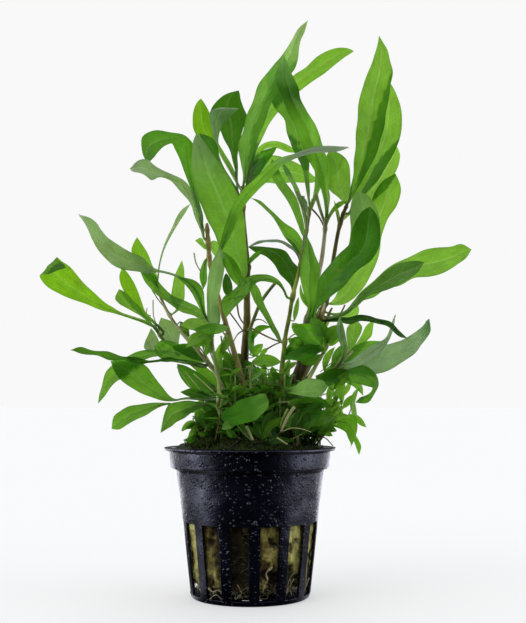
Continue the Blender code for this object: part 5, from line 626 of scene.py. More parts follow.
LEAF_MATS = {
    "bright": [leaf_material("leaf_bright_a", (0.056, 0.136, 0.012), (0.262, 0.570, 0.042), (0.20, 0.33, 0.08), 0.55, 0.42, 0.15),
               leaf_material("leaf_bright_b", (0.050, 0.126, 0.011), (0.238, 0.545, 0.037), (0.18, 0.31, 0.07), 0.55, 0.40, 0.15)],
    "mid": [leaf_material("leaf_mid_a", (0.038, 0.116, 0.010), (0.215, 0.530, 0.036), (0.16, 0.28, 0.07), 0.54, 0.38, 0.14),
            leaf_material("leaf_mid_b", (0.034, 0.106, 0.009), (0.190, 0.500, 0.032), (0.14, 0.26, 0.06), 0.54, 0.40, 0.14)],
    "dark": [leaf_material("leaf_dark_a", (0.020, 0.076, 0.006), (0.115, 0.370, 0.016), (0.09, 0.19, 0.04), 0.50, 0.36, 0.13),
             leaf_material("leaf_dark_b", (0.017, 0.068, 0.005), (0.100, 0.340, 0.014), (0.08, 0.17, 0.04), 0.50, 0.38, 0.13)],
    # grey: a pale grey-green base colour that paints the sheen of reflected light
    "grey": [leaf_material("leaf_grey_a", (0.110, 0.180, 0.085), (0.270, 0.470, 0.105), (0.24, 0.33, 0.18), 0.45, 0.36, 0.5),
             leaf_material("leaf_grey_b", (0.098, 0.165, 0.072), (0.250, 0.450, 0.090), (0.22, 0.31, 0.16), 0.45, 0.36, 0.5)],
    "deep": [leaf_material("leaf_deep_a", (0.011, 0.044, 0.002), (0.050, 0.190, 0.006), (0.04, 0.11, 0.02), 0.46, 0.42, 0.12),
             leaf_material("leaf_deep_b", (0.013, 0.048, 0.003), (0.055, 0.200, 0.008), (0.05, 0.11, 0.02), 0.45, 0.42, 0.25)],
    # sage: between the mid green and the grey; its greyness is painted sheen
    "sage": [leaf_material("leaf_sage_a", (0.062, 0.140, 0.040), (0.230, 0.480, 0.060), (0.18, 0.29, 0.12), 0.48, 0.38, 0.35),
             leaf_material("leaf_sage_b", (0.055, 0.130, 0.034), (0.215, 0.460, 0.052), (0.17, 0.28, 0.11), 0.48, 0.38, 0.35)],
    # arch: the grey tint that grows at the tip is painted sheen
    "arch": [leaf_material("leaf_arch", (0.058, 0.160, 0.012), (0.250, 0.600, 0.040), (0.14, 0.26, 0.06), 0.50, 0.36, 0.3, 0.35, (0.30, 0.20, 0.05), [(0.43, 0.54, (0.19, 0.27, 0.15))])] * 2,
    # oval: the two zones that lighten the blade towards its far end are a painted highlight
    "oval": [leaf_material("leaf_oval", (0.024, 0.125, 0.001), (0.070, 0.290, 0.003), (0.05, 0.17, 0.02), 0.35, 0.55, 0.04, 0.15, (0.10, 0.16, 0.03), [(0.08, 0.17, (0.050, 0.180, 0.006)), (0.20, 0.26, (0.13, 0.32, 0.040))], 0.0)] * 2,
    "plain": [leaf_material("leaf_plain", (0.125, 0.265, 0.050), (0.300, 0.600, 0.080), (0.20, 0.35, 0.10), 0.40, 0.42, 0.2, 0.2, (0.12, 0.18, 0.04), None, 0.35)] * 2,
    "lime": [leaf_material("leaf_lime_a", (0.050, 0.128, 0.005), (0.225, 0.540, 0.012), (0.17, 0.30, 0.05), 0.55, 0.48, 0.12),
             leaf_material("leaf_lime_b", (0.046, 0.120, 0.004), (0.215, 0.510, 0.010), (0.16, 0.28, 0.04), 0.55, 0.48, 0.12)],
    "dusk": [leaf_material("leaf_dusk_a", (0.014, 0.056, 0.003), (0.070, 0.245, 0.008), (0.05, 0.12, 0.02), 0.47, 0.42, 0.15),
             leaf_material("leaf_dusk_b", (0.012, 0.050, 0.003), (0.062, 0.225, 0.007), (0.05, 0.11, 0.02), 0.47, 0.42, 0.15)],
    # ash: the grey base colour is painted sheen; the zone greens it towards the tip
    "ash": [leaf_material("leaf_ash", (0.150, 0.235, 0.140), (0.250, 0.440, 0.140), (0.24, 0.33, 0.22), 0.42, 0.40, 0.45, 0.3, (0.20, 0.22, 0.10), [(0.30, 0.37, (0.07, 0.19, 0.03))])] * 2,
    # top: the pale grey-green tint that grows at the tip is painted sheen
    "top": [leaf_material("leaf_top", (0.060, 0.140, 0.022), (0.215, 0.510, 0.050), (0.17, 0.29, 0.08), 0.54, 0.40, 0.22, 0.35, (0.30, 0.20, 0.05), [(0.40, 0.58, (0.30, 0.46, 0.14))])] * 2,
    # front: the dark band part way up is painted shade of the leaves behind; the pale tip is painted light
    "front": [leaf_material("leaf_front", (0.050, 0.140, 0.010), (0.235, 0.560, 0.034), (0.19, 0.31, 0.09), 0.54, 0.38, 0.24, 0.35, (0.30, 0.20, 0.05),
                            [(0.33, 0.42, (0.055, 0.175, 0.012)), (0.45, 0.56, (0.20, 0.42, 0.09))])] * 2,
    "dull": [leaf_material("leaf_dull", (0.052, 0.135, 0.026), (0.165, 0.380, 0.036), (0.28, 0.38, 0.18), 0.45, 0.40, 0.26, 0.5)] * 2,
    # broad: the pale grey-green zone towards the tip is painted sheen
    "broad": [leaf_material("leaf_broad", (0.050, 0.138, 0.016), (0.225, 0.545, 0.042), (0.19, 0.32, 0.09), 0.54, 0.38, 0.22, 0.4, (0.30, 0.20, 0.05), [(0.36, 0.56, (0.20, 0.33, 0.12))])] * 2,
    # sheen: a pale base colour that paints the sheen of reflected light
    "sheen": [leaf_material("leaf_sheen_green", (0.250, 0.420, 0.140), (0.290, 0.560, 0.110), (0.28, 0.40, 0.18), 0.46, 0.38, 0.35, 0.3)] * 2,
    # silver: a pale grey base colour that paints the sheen of reflected light
    "silver": [leaf_material("leaf_silver", (0.270, 0.390, 0.210), (0.270, 0.470, 0.140), (0.28, 0.37, 0.24), 0.42, 0.38, 0.45, 0.3)] * 2,
    "leafy": [leaf_material("leaf_leafy", (0.165, 0.350, 0.030), (0.300, 0.640, 0.045), (0.24, 0.42, 0.09), 0.42, 0.42, 0.15, 0.2)] * 2,
    "vivid": [leaf_material("leaf_vivid", (0.105, 0.360, 0.008), (0.300, 0.740, 0.024), (0.18, 0.36, 0.07), 0.48, 0.42, 0.12, 0.3)] * 2,
    "forest": [leaf_material("leaf_forest", (0.044, 0.200, 0.006), (0.140, 0.480, 0.012), (0.10, 0.26, 0.04), 0.46, 0.42, 0.12, 0.3)] * 2,
    "haze": [leaf_material("leaf_haze", (0.115, 0.230, 0.068), (0.280, 0.540, 0.080), (0.20, 0.31, 0.13), 0.45, 0.40, 0.25)] * 2,
    "gloom": [leaf_material("leaf_gloom", (0.008, 0.036, 0.002), (0.050, 0.190, 0.006), (0.05, 0.12, 0.02), 0.5, 0.6, 0.03, 0.3)] * 2,
    "low_bright": [leaf_material("leaf_low_bright", (0.112, 0.285, 0.013), (0.29, 0.66, 0.034), (0.24, 0.38, 0.1), 0.42, 0.40, 0.12)],
    "low_mid": [leaf_material("leaf_low_mid", (0.078, 0.245, 0.010), (0.225, 0.58, 0.028), (0.18, 0.31, 0.07), 0.42, 0.40, 0.12)],
    "low_dark": [leaf_material("leaf_low_dark", (0.045, 0.172, 0.007), (0.125, 0.42, 0.015), (0.1, 0.21, 0.04), 0.42, 0.40, 0.12)],
    "low_deep": [leaf_material("leaf_low_deep", (0.019, 0.078, 0.003), (0.05, 0.19, 0.006), (0.05, 0.12, 0.02), 0.42, 0.40, 0.12)],
    "low_dusk": [leaf_material("leaf_low_dusk", (0.028, 0.112, 0.004), (0.07, 0.245, 0.008), (0.07, 0.15, 0.03), 0.42, 0.40, 0.12)],
    "matt": [leaf_material("leaf_matt", (0.032, 0.105, 0.010), (0.150, 0.400, 0.022), (0.12, 0.22, 0.05), 0.48, 0.70, 0.0, 0.3, (0.20, 0.20, 0.05), None, 0.3)] * 2,
}
# leaves whose surface differs from the tone in the table
LOOKS = {"leaf_long_arching": "arch", "leaf_front_bright": "oval", "leaf_front_light_right": "plain", "leaf_curled_dark": "sage",
         "leaf_centre_dark_arch": "gloom", "leaf_centre_green_arch": "mid", "leaf_top_front": "front", "leaf_right_arch_thin": "gloom", "leaf_right_inner": "haze", "stem_left_front_leaf_2": "leafy", "stem_left_front_leaf_3": "leafy", "stem_lower_right_leaf_5": "sheen",
         "stem_pale_right_leaf_1": "vivid", "stem_pale_right_leaf_3": "vivid", "stem_pale_right_leaf_2": "forest",
         "leaf_top_tall": "top", "leaf_broad_left": "broad", "leaf_dark_behind": "dusk", "leaf_far_left_folded": "lime", "leaf_left_bright_tip": "lime",
         "leaf_left_round": "lime", "leaf_small_upright": "lime", "leaf_left_edge_on": "matt", "leaf_lower_right_grey": "ash",
         "leaf_lower_right_curled": "mid", "leaf_far_right_front": "dull",
         "stem_left_front_leaf_1": "sheen", "stem_lower_right_leaf_1": "silver", "stem_right_inner_leaf_1": "mid", "stem_right_inner_leaf_4": "deep"}
# how much light from behind is left where other leaves cover a leaf, where it isn't the usual share
LIT = {"leaf_long_arching": 1.0, "leaf_front_light_right": 0.85, "leaf_front_bright": 0.8, "leaf_right_inner": 0.95, "leaf_right_broad": 0.6,
       "leaf_centre_right": 0.85, "leaf_lower_right_curled": 0.42, "leaf_lower_right_grey": 1.0, "leaf_centre_strip": 0.6, "leaf_broad_left": 0.97,
       "leaf_lower_left_big": 0.35, "leaf_low_left_hanging": 0.4, "leaf_light_right": 0.7, "leaf_left_grey_green": 0.85, "leaf_top_tall": 0.6, "leaf_top_front": 0.75,
       "stem_lower_right_leaf_1": 0.9, "stem_left_front_leaf_1": 0.85, "stem_left_front_leaf_2": 0.95, "stem_left_front_leaf_3": 0.95, "leaf_centre_green_arch": 0.45,
       "leaf_curled_dark": 0.62, "leaf_far_right_front": 0.7, "leaf_right_tall": 0.3, "leaf_centre_dark_arch": 0.1}
SHADED = []


# midribs and stalks: their colour is multiplied by the stored shade, as painted shade
RIB_MATS = {
    "bright": simple_material("rib_bright", [(0.3, (0.26, 0.42, 0.10)), (0.5, (0.34, 0.52, 0.14)), (0.7, (0.45, 0.62, 0.22))], 300, 0.45, 0.3, 0.2, 0.05, 3.0, None, "shade", 0.5),
    "mid": simple_material("rib_mid", [(0.3, (0.20, 0.36, 0.08)), (0.5, (0.27, 0.44, 0.12)), (0.7, (0.38, 0.54, 0.18))], 300, 0.45, 0.3, 0.2, 0.05, 3.0, None, "shade", 0.5),
    "dark": simple_material("rib_dark", [(0.3, (0.10, 0.23, 0.04)), (0.5, (0.15, 0.30, 0.07)), (0.7, (0.23, 0.39, 0.11))], 300, 0.45, 0.3, 0.2, 0.05, 3.0, None, "shade", 0.5),
    "grey": simple_material("rib_grey", [(0.3, (0.34, 0.46, 0.22)), (0.5, (0.44, 0.57, 0.30)), (0.7, (0.56, 0.68, 0.40))], 300, 0.45, 0.3, 0.2, 0.05, 3.0, None, "shade", 0.5),
    "deep": simple_material("rib_deep", [(0.3, (0.03, 0.08, 0.02)), (0.5, (0.05, 0.12, 0.03)), (0.7, (0.09, 0.18, 0.05))], 300, 0.45, 0.3, 0.2, 0.05, 3.0, None, "shade", 0.5),
}
RIB_MATS["sage"] = RIB_MATS["grey"]
RIB_MATS["arch"] = RIB_MATS["mid"]
RIB_MATS["oval"] = LEAF_MATS["oval"][0]
RIB_MATS["plain"] = RIB_MATS["mid"]
RIB_MATS.update({"haze": RIB_MATS["mid"], "leafy": RIB_MATS["bright"], "vivid": RIB_MATS["mid"], "forest": RIB_MATS["dark"], "gloom": RIB_MATS["deep"], "lime": RIB_MATS["bright"], "dusk": RIB_MATS["dark"], "ash": RIB_MATS["grey"], "top": RIB_MATS["bright"], "matt": RIB_MATS["dark"], "broad": RIB_MATS["bright"], "sheen": RIB_MATS["grey"], "silver": RIB_MATS["grey"], "front": RIB_MATS["bright"], "dull": RIB_MATS["grey"]})
POT_MAT = pot_material()
STEM_MATS = {
    "fresh": simple_material("stem_fresh", [(0.30, (0.17, 0.24, 0.05)), (0.5, (0.33, 0.43, 0.11)), (0.72, (0.50, 0.60, 0.21))], 240, 0.5, 0.25, 0.3, 0.10, 3, (1, 1, 0.16)),
    "tan": simple_material("stem_tan", [(0.30, (0.17, 0.115, 0.040)), (0.5, (0.38, 0.315, 0.105)), (0.72, (0.58, 0.55, 0.20))], 240, 0.6, 0.18, 0.35, 0.12, 3, (1, 1, 0.16)),
    "brown": simple_material("stem_brown", [(0.30, (0.050, 0.026, 0.009)), (0.5, (0.155, 0.110, 0.030)), (0.72, (0.33, 0.31, 0.09))], 240, 0.6, 0.18, 0.4, 0.15, 3, (1, 1, 0.16)),
    "green": simple_material("stem_green", [(0.30, (0.09, 0.15, 0.02)), (0.5, (0.17, 0.25, 0.04)), (0.72, (0.30, 0.38, 0.10))], 240, 0.45, 0.45, 0.3, 0.10, 3, (1, 1, 0.16)),
    "olive": simple_material("stem_olive", [(0.30, (0.085, 0.095, 0.010)), (0.5, (0.19, 0.245, 0.028)), (0.72, (0.36, 0.42, 0.07))], 240, 0.6, 0.15, 0.35, 0.12, 3, (1, 1, 0.16)),
    "greytan": simple_material("stem_greytan", [(0.30, (0.16, 0.13, 0.06)), (0.5, (0.33, 0.31, 0.16)), (0.72, (0.52, 0.52, 0.32))], 240, 0.5, 0.35, 0.35, 0.12, 3, (1, 1, 0.16)),
    "umber": simple_material("stem_umber", [(0.30, (0.035, 0.028, 0.006)), (0.5, (0.12, 0.100, 0.022)), (0.72, (0.28, 0.26, 0.07))], 240, 0.6, 0.18, 0.35, 0.12, 3, (1, 1, 0.16)),
    "pale": simple_material("stem_pale", [(0.30, (0.22, 0.24, 0.08)), (0.5, (0.36, 0.37, 0.15)), (0.72, (0.50, 0.48, 0.24))], 240, 0.5, 0.4, 0.3, 0.10, 3, (1, 1, 0.16)),
}
STEM_SKINS = {
    "fresh": simple_material("skin_fresh", [(0.30, (0.17, 0.24, 0.05)), (0.5, (0.33, 0.43, 0.11)), (0.72, (0.50, 0.60, 0.21))], 240, 0.5, 0.25, 0.3, 0.10, 3, (1, 1, 0.16), "patch"),
    "tan": simple_material("skin_tan", [(0.30, (0.17, 0.115, 0.040)), (0.5, (0.38, 0.315, 0.105)), (0.72, (0.58, 0.55, 0.20))], 240, 0.6, 0.18, 0.35, 0.12, 3, (1, 1, 0.16), "patch"),
    "brown": simple_material("skin_brown", [(0.30, (0.050, 0.026, 0.009)), (0.5, (0.155, 0.110, 0.030)), (0.72, (0.33, 0.31, 0.09))], 240, 0.6, 0.18, 0.4, 0.15, 3, (1, 1, 0.16), "patch"),
    "green": simple_material("skin_green", [(0.30, (0.09, 0.15, 0.02)), (0.5, (0.17, 0.25, 0.04)), (0.72, (0.30, 0.38, 0.10))], 240, 0.45, 0.45, 0.3, 0.10, 3, (1, 1, 0.16), "patch"),
    "olive": simple_material("skin_olive", [(0.30, (0.085, 0.095, 0.010)), (0.5, (0.19, 0.245, 0.028)), (0.72, (0.36, 0.42, 0.07))], 240, 0.6, 0.15, 0.35, 0.12, 3, (1, 1, 0.16), "patch"),
    "greytan": simple_material("skin_greytan", [(0.30, (0.16, 0.13, 0.06)), (0.5, (0.33, 0.31, 0.16)), (0.72, (0.52, 0.52, 0.32))], 240, 0.5, 0.35, 0.35, 0.12, 3, (1, 1, 0.16), "patch"),
    "umber": simple_material("skin_umber", [(0.30, (0.035, 0.028, 0.006)), (0.5, (0.12, 0.100, 0.022)), (0.72, (0.28, 0.26, 0.07))], 240, 0.6, 0.18, 0.35, 0.12, 3, (1, 1, 0.16), "patch"),
    "pale": simple_material("skin_pale", [(0.30, (0.22, 0.24, 0.08)), (0.5, (0.36, 0.37, 0.15)), (0.72, (0.50, 0.48, 0.24))], 240, 0.5, 0.4, 0.3, 0.10, 3, (1, 1, 0.16), "patch"),
}
MOSS_MAT = simple_material("wet_moss", [(0.32, (0.003, 0.006, 0.001)), (0.5, (0.010, 0.019, 0.002)), (0.68, (0.030, 0.046, 0.006))], 420, 0.8, 0.1, 0.8, 0.5)
FIBRE_MAT = simple_material("moss_fibre", [(0.3, (0.008, 0.017, 0.001)), (0.5, (0.026, 0.047, 0.004)), (0.7, (0.078, 0.110, 0.012))], 500, 0.6, 0.18, 0.3, 0.1)
WOOL_MAT = simple_material("mineral_wool", [(0.30, (0.26, 0.23, 0.12)), (0.5, (0.58, 0.555, 0.335)), (0.70, (0.92, 0.895, 0.63))], 760, 0.75, 0.25, 0.9, 0.5, 3.0, (1, 1, 0.7), "patch")
STRAND_MAT = simple_material("wool_strand", [(0.3, (0.05, 0.045, 0.018)), (0.5, (0.13, 0.12, 0.055)), (0.7, (0.26, 0.25, 0.14))], 300, 0.6, 0.4, 0.2, 0.05)
ROOT_MAT = simple_material("pale_root", [(0.3, (0.10, 0.075, 0.030)), (0.5, (0.30, 0.26, 0.14)), (0.7, (0.62, 0.59, 0.43))], 420, 0.5, 0.45, 0.3, 0.08)
DARK_MAT = simple_material("dark_debris", [(0.3, (0.006, 0.004, 0.002)), (0.5, (0.020, 0.013, 0.006)), (0.7, (0.06, 0.035, 0.014))], 380, 0.6, 0.4, 0.6, 0.3)


# ------------------------------------------------------------------ mesh helpers
def new_object(name, verts, faces, mats, smooth=True, uv=None, face_mats=None, colors=None):
    mesh = bpy.data.meshes.new(name)
    mesh.from_pydata([tuple(c * MM for c in v) for v in verts], [], faces)
    mesh.validate()
    for m in (mats if isinstance(mats, list) else [mats]):
        mesh.materials.append(m)
    if smooth:
        mesh.shade_smooth()
    if uv is not None:
        layer = mesh.uv_layers.new(name="UVMap")
        for loop in mesh.loops:
            layer.data[loop.index].uv = uv[loop.vertex_index]
    if face_mats is not None:
        for p in mesh.polygons:
            p.material_index = face_mats[p.index]
    if colors is not None:
        ca = mesh.color_attributes.new("patch", "FLOAT_COLOR", "POINT")
        for i, c in enumerate(colors):
            ca.data[i].color = (*c, 1)
    obj = bpy.data.objects.new(name, mesh)
    bpy.context.scene.collection.objects.link(obj)
    return obj


class Batch:
    """Many small closed or open shapes gathered into one mesh."""

    def __init__(self):
        self.verts, self.faces, self.uv, self.fm = [], [], [], []

    def add(self, verts, faces, uv=None, mat=0, split=None, mat2=0):
        """Adds a shape. Faces from number split on take the second material."""
        o = len(self.verts)
        self.verts += [Vector(v) for v in verts]
        self.faces += [[i + o for i in f] for f in faces]
        self.uv += uv if uv is not None else [(0.5, 0.0)] * len(verts)
        split = len(faces) if split is None else split
        self.fm += [mat] * split + [mat2] * (len(faces) - split)

    def make(self, name, mats, slot, nodes, smooth=True):
        obj = new_object(name, self.verts, self.faces, mats, smooth, self.uv, self.fm)
        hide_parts(*nodes)
        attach(obj, "root")
        return obj


def tube_points(path, radii, sides=8, twist=0.0, cap=True, squash=1.0):
    """Verts and faces of a tube along points, closed at both ends, with its UV along the middle of a leaf."""
    n = len(path)
    verts, faces, uv = [], [], []
    side = None
    s = 0.0
    for i, p in enumerate(path):
        a, b = path[max(i - 1, 0)], path[min(i + 1, n - 1)]
        tan = (b - a)
        tan = tan.normalized() if tan.length > 1e-9 else Vector((0, 0, 1))
        if side is None:
            side = Vector((1, 0, 0)) if abs(tan.x) < 0.8 else Vector((0, 1, 0))
        side = (side - tan * side.dot(tan)).normalized()
        other = tan.cross(side)
        if i:
            s += (p - path[i - 1]).length
        for j in range(sides):
            ang = 2 * math.pi * j / sides + twist
            verts.append(p + (side * math.cos(ang) + other * math.sin(ang) * squash) * radii[i])
            uv.append((0.5, s / 100))
    for i in range(n - 1):
        for j in range(sides):
            k = (j + 1) % sides
            faces.append([i * sides + j, i * sides + k, (i + 1) * sides + k, (i + 1) * sides + j])
    if cap:
        faces.append(list(range(sides))[::-1])
        faces.append(list(range((n - 1) * sides, n * sides)))
    return verts, faces, uv


def spline(points, n):
    """Smooth 3-D path through points."""
    if len(points) == 2:
        return [points[0].lerp(points[1], i / (n - 1)) for i in range(n)]
    knots = [0.0]
    for a, b in zip(points, points[1:]):
        knots.append(knots[-1] + max((b - a).length, 1e-4))
    rows = [list(p) for p in points]
    return [Vector(curve_at(knots, rows, knots[-1] * i / (n - 1))) for i in range(n)]


# ------------------------------------------------------------------ stems
def stem_samples(name, n=120):
    r0, r1, pts = STEMS[name]
    knots = knots_of(pts)
    out = []
    for i in range(n + 1):
        gx, gy, d = curve_at(knots, pts, knots[-1] * i / n)
        out.append((at(gx, gy, d), r0 + (r1 - r0) * i / n, gx, gy, d))
    return out


STEM_CACHE = {name: stem_samples(name) for name in STEMS}


def stem_spot(name, gx, gy):
    return min(STEM_CACHE[name], key=lambda q: (q[2] - gx) ** 2 + (q[3] - gy) ** 2)


# ------------------------------------------------------------------ leaves
def ribbon(leaf, start=None, n=160):
    st = leaf["st"]
    rows = [list(q) for q in st[:-1]] + [[st[-1][0], st[-1][1], st[-1][0], st[-1][1]]]
    d = list(leaf["d"])
    if start is not None:
        p, r, gx, gy, sd = start
        if d[0] is None:
            d = [sd] + [sd + (v - sd) * DEPTH_SPREAD for v in d[1:]]
        lx, ly, rx, ry = rows[0]
        w = math.hypot(rx - lx, ry - ly) or 1.0
        k = 1.1 / w
        rows.insert(0, [gx - (rx - lx) * k, gy - (ry - ly) * k, gx + (rx - lx) * k, gy + (ry - ly) * k])
        if math.hypot((lx + rx) / 2 - gx, (ly + ry) / 2 - gy) < 1.2:
            rows.pop(1)
    lift = [0.0] * len(rows)
    shift = len(rows) - len(st)
    for i, v in leaf.get("lift", []):
        lift[i + shift] = v
    rows = [r + [v] for r, v in zip(rows, lift)]
    knots = knots_of([((r[0] + r[2]) / 2, (r[1] + r[3]) / 2) for r in rows])
    e = leaf.get("e", (0, 0, 0))
    raw = []
    for i in range(n + 1):
        t = i / n
        lx, ly, rx, ry, v = curve_at(knots, rows, knots[-1] * t)
        dd, ee = quad(d, t) + v, quad(e, t) * min(t * 4, 1.0)
        raw.append((at(lx, ly, dd + ee), at(rx, ry, dd - ee), t))
    out = []
    last_away = None
    for i, (left, right, t) in enumerate(raw):
        a, b = raw[max(i - 3, 0)], raw[min(i + 3, n)]
        tan = (b[0] + b[1]) / 2 - (a[0] + a[1]) / 2
        w = right - left
        if w.length < 0.05 and i > 6:
            prev = raw[i - 6]
            w = (prev[1] - prev[0])
            w = w.normalized() * 0.05 if w.length > 1e-6 else Vector((0.05, 0, 0))
        away = tan.cross(w)
        away = away.normalized() if away.length > 1e-9 else (last_away or Vector((0, 1, 0)))
        last_away = away
        out.append((left, right, away, t))
    return out


def blade(leaf, start, seed, rows=None, across=None, ruffle=0.3, rib0=0.42, groove=1.0):
    """Verts, faces and UV of a leaf: a curved veined sheet with its midrib and stalk as a tapering tube."""
    dense = ribbon(leaf, start)
    fold = leaf.get("fold", 0.1)
    mids = [(q[0] + q[1]) / 2 for q in dense]
    length = sum((b - a).length for a, b in zip(mids, mids[1:]))
    widest = max((q[1] - q[0]).length for q in dense)
    rows = rows or max(12, min(52, int(length / 0.95)))
    across = across or (12 if widest > 4.5 else 8)
    rng = random.Random(seed)
    ph = [rng.uniform(0, 6.28) for _ in range(4)]
    wave_len = rng.uniform(9, 14)
    verts, uv, faces, ribs = [], [], [], []
    s = 0.0
    prev = None
    for i in range(rows):
        q = dense[int(round((len(dense) - 1) * (1 - (1 - i / rows) ** 1.06)))]
        left, right, away, t = q
        w = right - left
        if w.length < 0.5:
            c = (left + right) / 2
            w = (w.normalized() if w.length > 1e-6 else Vector((1, 0, 0))) * 0.5
            left, right = c - w / 2, c + w / 2
        hw = w.length / 2
        c = (left + right) / 2
        if prev is not None:
            s += (c - prev).length
        prev = c
        body = smooth(0.35, 1.6, hw)
        for j in range(across + 1):
            x = -1 + 2 * j / across
            ax = abs(x)
            p = c + (right - left) * (x / 2)
            dip = fold * hw * (1 - ax ** 1.35)
            arch = -0.055 * hw * math.sin(math.pi * ax) * groove
            wav = ruffle * body * ax * ax * min(hw / 2.5, 1.2) * math.sin(6.283 * s / wave_len + ph[0 if x < 0 else 1])
            fine = 0.10 * body * rough_noise(p, 2.6, seed * 3.7) + 0.16 * body * ax * rough_noise(p, 6.0, seed * 1.3 + 9)
            verts.append(p + away * (dip + arch + wav + fine))
            uv.append((j / across, s / 100))
        ribs.append((c + away * (fold * hw), t, hw))
    tip = dense[-1]
    verts.append((tip[0] + tip[1]) / 2)
    uv.append((0.5, (s + ((tip[0] + tip[1]) / 2 - prev).length) / 100))
    m = across + 1
    for i in range(rows - 1):
        for j in range(across):
            faces.append([i * m + j, i * m + j + 1, (i + 1) * m + j + 1, (i + 1) * m + j])
    o = (rows - 1) * m
    for j in range(across):
        faces.append([o + j, o + j + 1, len(verts) - 1])
    path = [r[0] for r in ribs]
    radii = []
    for p, t, hw in ribs:
        r = rib0 * (1 - smooth(0.0, 0.50, t)) + 0.10 * (1 - 0.8 * t)
        wide = smooth(0.5, 1.7, hw)
        radii.append(max(min(r, rib0 * (1 - wide) + 0.08 * wide), 0.03))
    step = max(1, rows // 22)
    keep = list(range(0, rows - 1, step))
    tv, tf, tuv = tube_points([path[k] for k in keep], [radii[k] for k in keep], 6)
    off = len(verts)
    nb = len(faces)
    verts += tv
    uv += [(0.5, q[1]) for q in tuv]
    faces += [[i + off for i in f] for f in tf]
    return verts, faces, uv, nb


# outlines seen more closely than the CAD needs
FINER = {"leaf_right_behind": [(328, 303, 330, 305), (333, 300, 340, 305), (338, 291, 352, 300), (345, 279, 363, 288), (353, 264, 374, 269), (361, 250, 380, 250),
                               (365, 234, 382, 234), (368, 219, 388, 219), (371, 204, 397, 205), (376, 190, 401, 190), (385, 179, 399, 181), (395.5, 173.5)],
         "leaf_front_bright": [(221.3, 416, 221.8, 419.5), (223.5, 411.5, 225.5, 422.5), (228.5, 407.5, 231.5, 425), (236, 402.5, 240.5, 424.5), (246, 398, 250.5, 421.5),
                               (255, 395.2, 259, 417), (262, 393.8, 265, 411.5), (266.5, 395.5, 268.3, 407), (269, 401.5)],
         "leaf_right_tall_back": [(346, 214, 347.5, 215), (351, 206, 355, 207.5), (354, 192, 366, 194), (358, 174, 380, 177), (362, 157, 391.5, 157), (367.5, 140, 399.5, 140),
                                  (372, 123, 402, 121), (377, 107, 400.5, 106), (383, 93, 395, 91), (387, 78)]}


def leaf_piece(name, leaf, start, nodes, seed, **kw):
    if name.replace("_blade", "") in FINER:
        leaf = dict(leaf, st=FINER[name.replace("_blade", "")])
    tone = LOOKS.get(name.replace("_blade", ""), leaf["tone"])
    if tone == "oval":
        kw = dict(kw, rib0=0.15)
    verts, faces, uv, nb = blade(leaf, start, seed, **kw)
    mats = [LEAF_MATS[tone][seed % 2], RIB_MATS[tone]]
    obj = new_object(name, verts, faces, mats, True, uv, [0] * nb + [1] * (len(faces) - nb))
    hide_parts(*nodes)
    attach(obj, "root")
    SHADED.append((obj, LIT.get(name.replace("_blade", ""), 0.48 if "_leaf_" in name else 0.2)))
    return obj


def free_leaf(base, direction, length, width, droop, roll, seed, rows=9, across=6, curl=0.2):
    """A small leaf from a point: verts, faces, UV."""
    d = direction.normalized()
    side = d.cross(Vector((0, 0, 1)))
    side = side.normalized() if side.length > 1e-3 else Vector((1, 0, 0))
    side = Matrix.Rotation(roll, 3, d) @ side
    up = side.cross(d).normalized()
    verts, faces, uv = [], [], []
    for i in range(rows):
        t = i / rows
        hw = width / 2 * (math.sin(math.pi * min(t * 0.92 + 0.06, 1.0)) ** 0.8) * (0.25 + 0.75 * smooth(0.0, 0.35, t))
        c = base + d * (length * t) + Vector((0, 0, -droop * length * t * t))
        for j in range(across + 1):
            x = -1 + 2 * j / across
            p = c + side * (x * hw) + up * (curl * hw * (abs(x) ** 1.5 - 0.5)) + up * (0.12 * hw * rough_noise(c + side * x * 3, 2.0, seed))
            verts.append(p)
            uv.append((j / across, length * t / 100))
    verts.append(base + d * length + Vector((0, 0, -droop * length)))
    uv.append((0.5, length / 100))
    m = across + 1
    for i in range(rows - 1):
        for j in range(across):
            faces.append([i * m + j, i * m + j + 1, (i + 1) * m + j + 1, (i + 1) * m + j])
    o = (rows - 1) * m
    for j in range(across):
        faces.append([o + j, o + j + 1, len(verts) - 1])
    path = [base + d * (length * t) + Vector((0, 0, -droop * length * t * t)) - up * (curl * width * 0.2) for t in (0.0, 0.2, 0.45, 0.7, 0.9)]
    tv, tf, tuv = tube_points(path, [0.16, 0.14, 0.11, 0.08, 0.04], 5)
    off = len(verts)
    return verts + tv, faces + [[i + off for i in f] for f in tf], uv + [(0.5, q[1]) for q in tuv], len(faces)


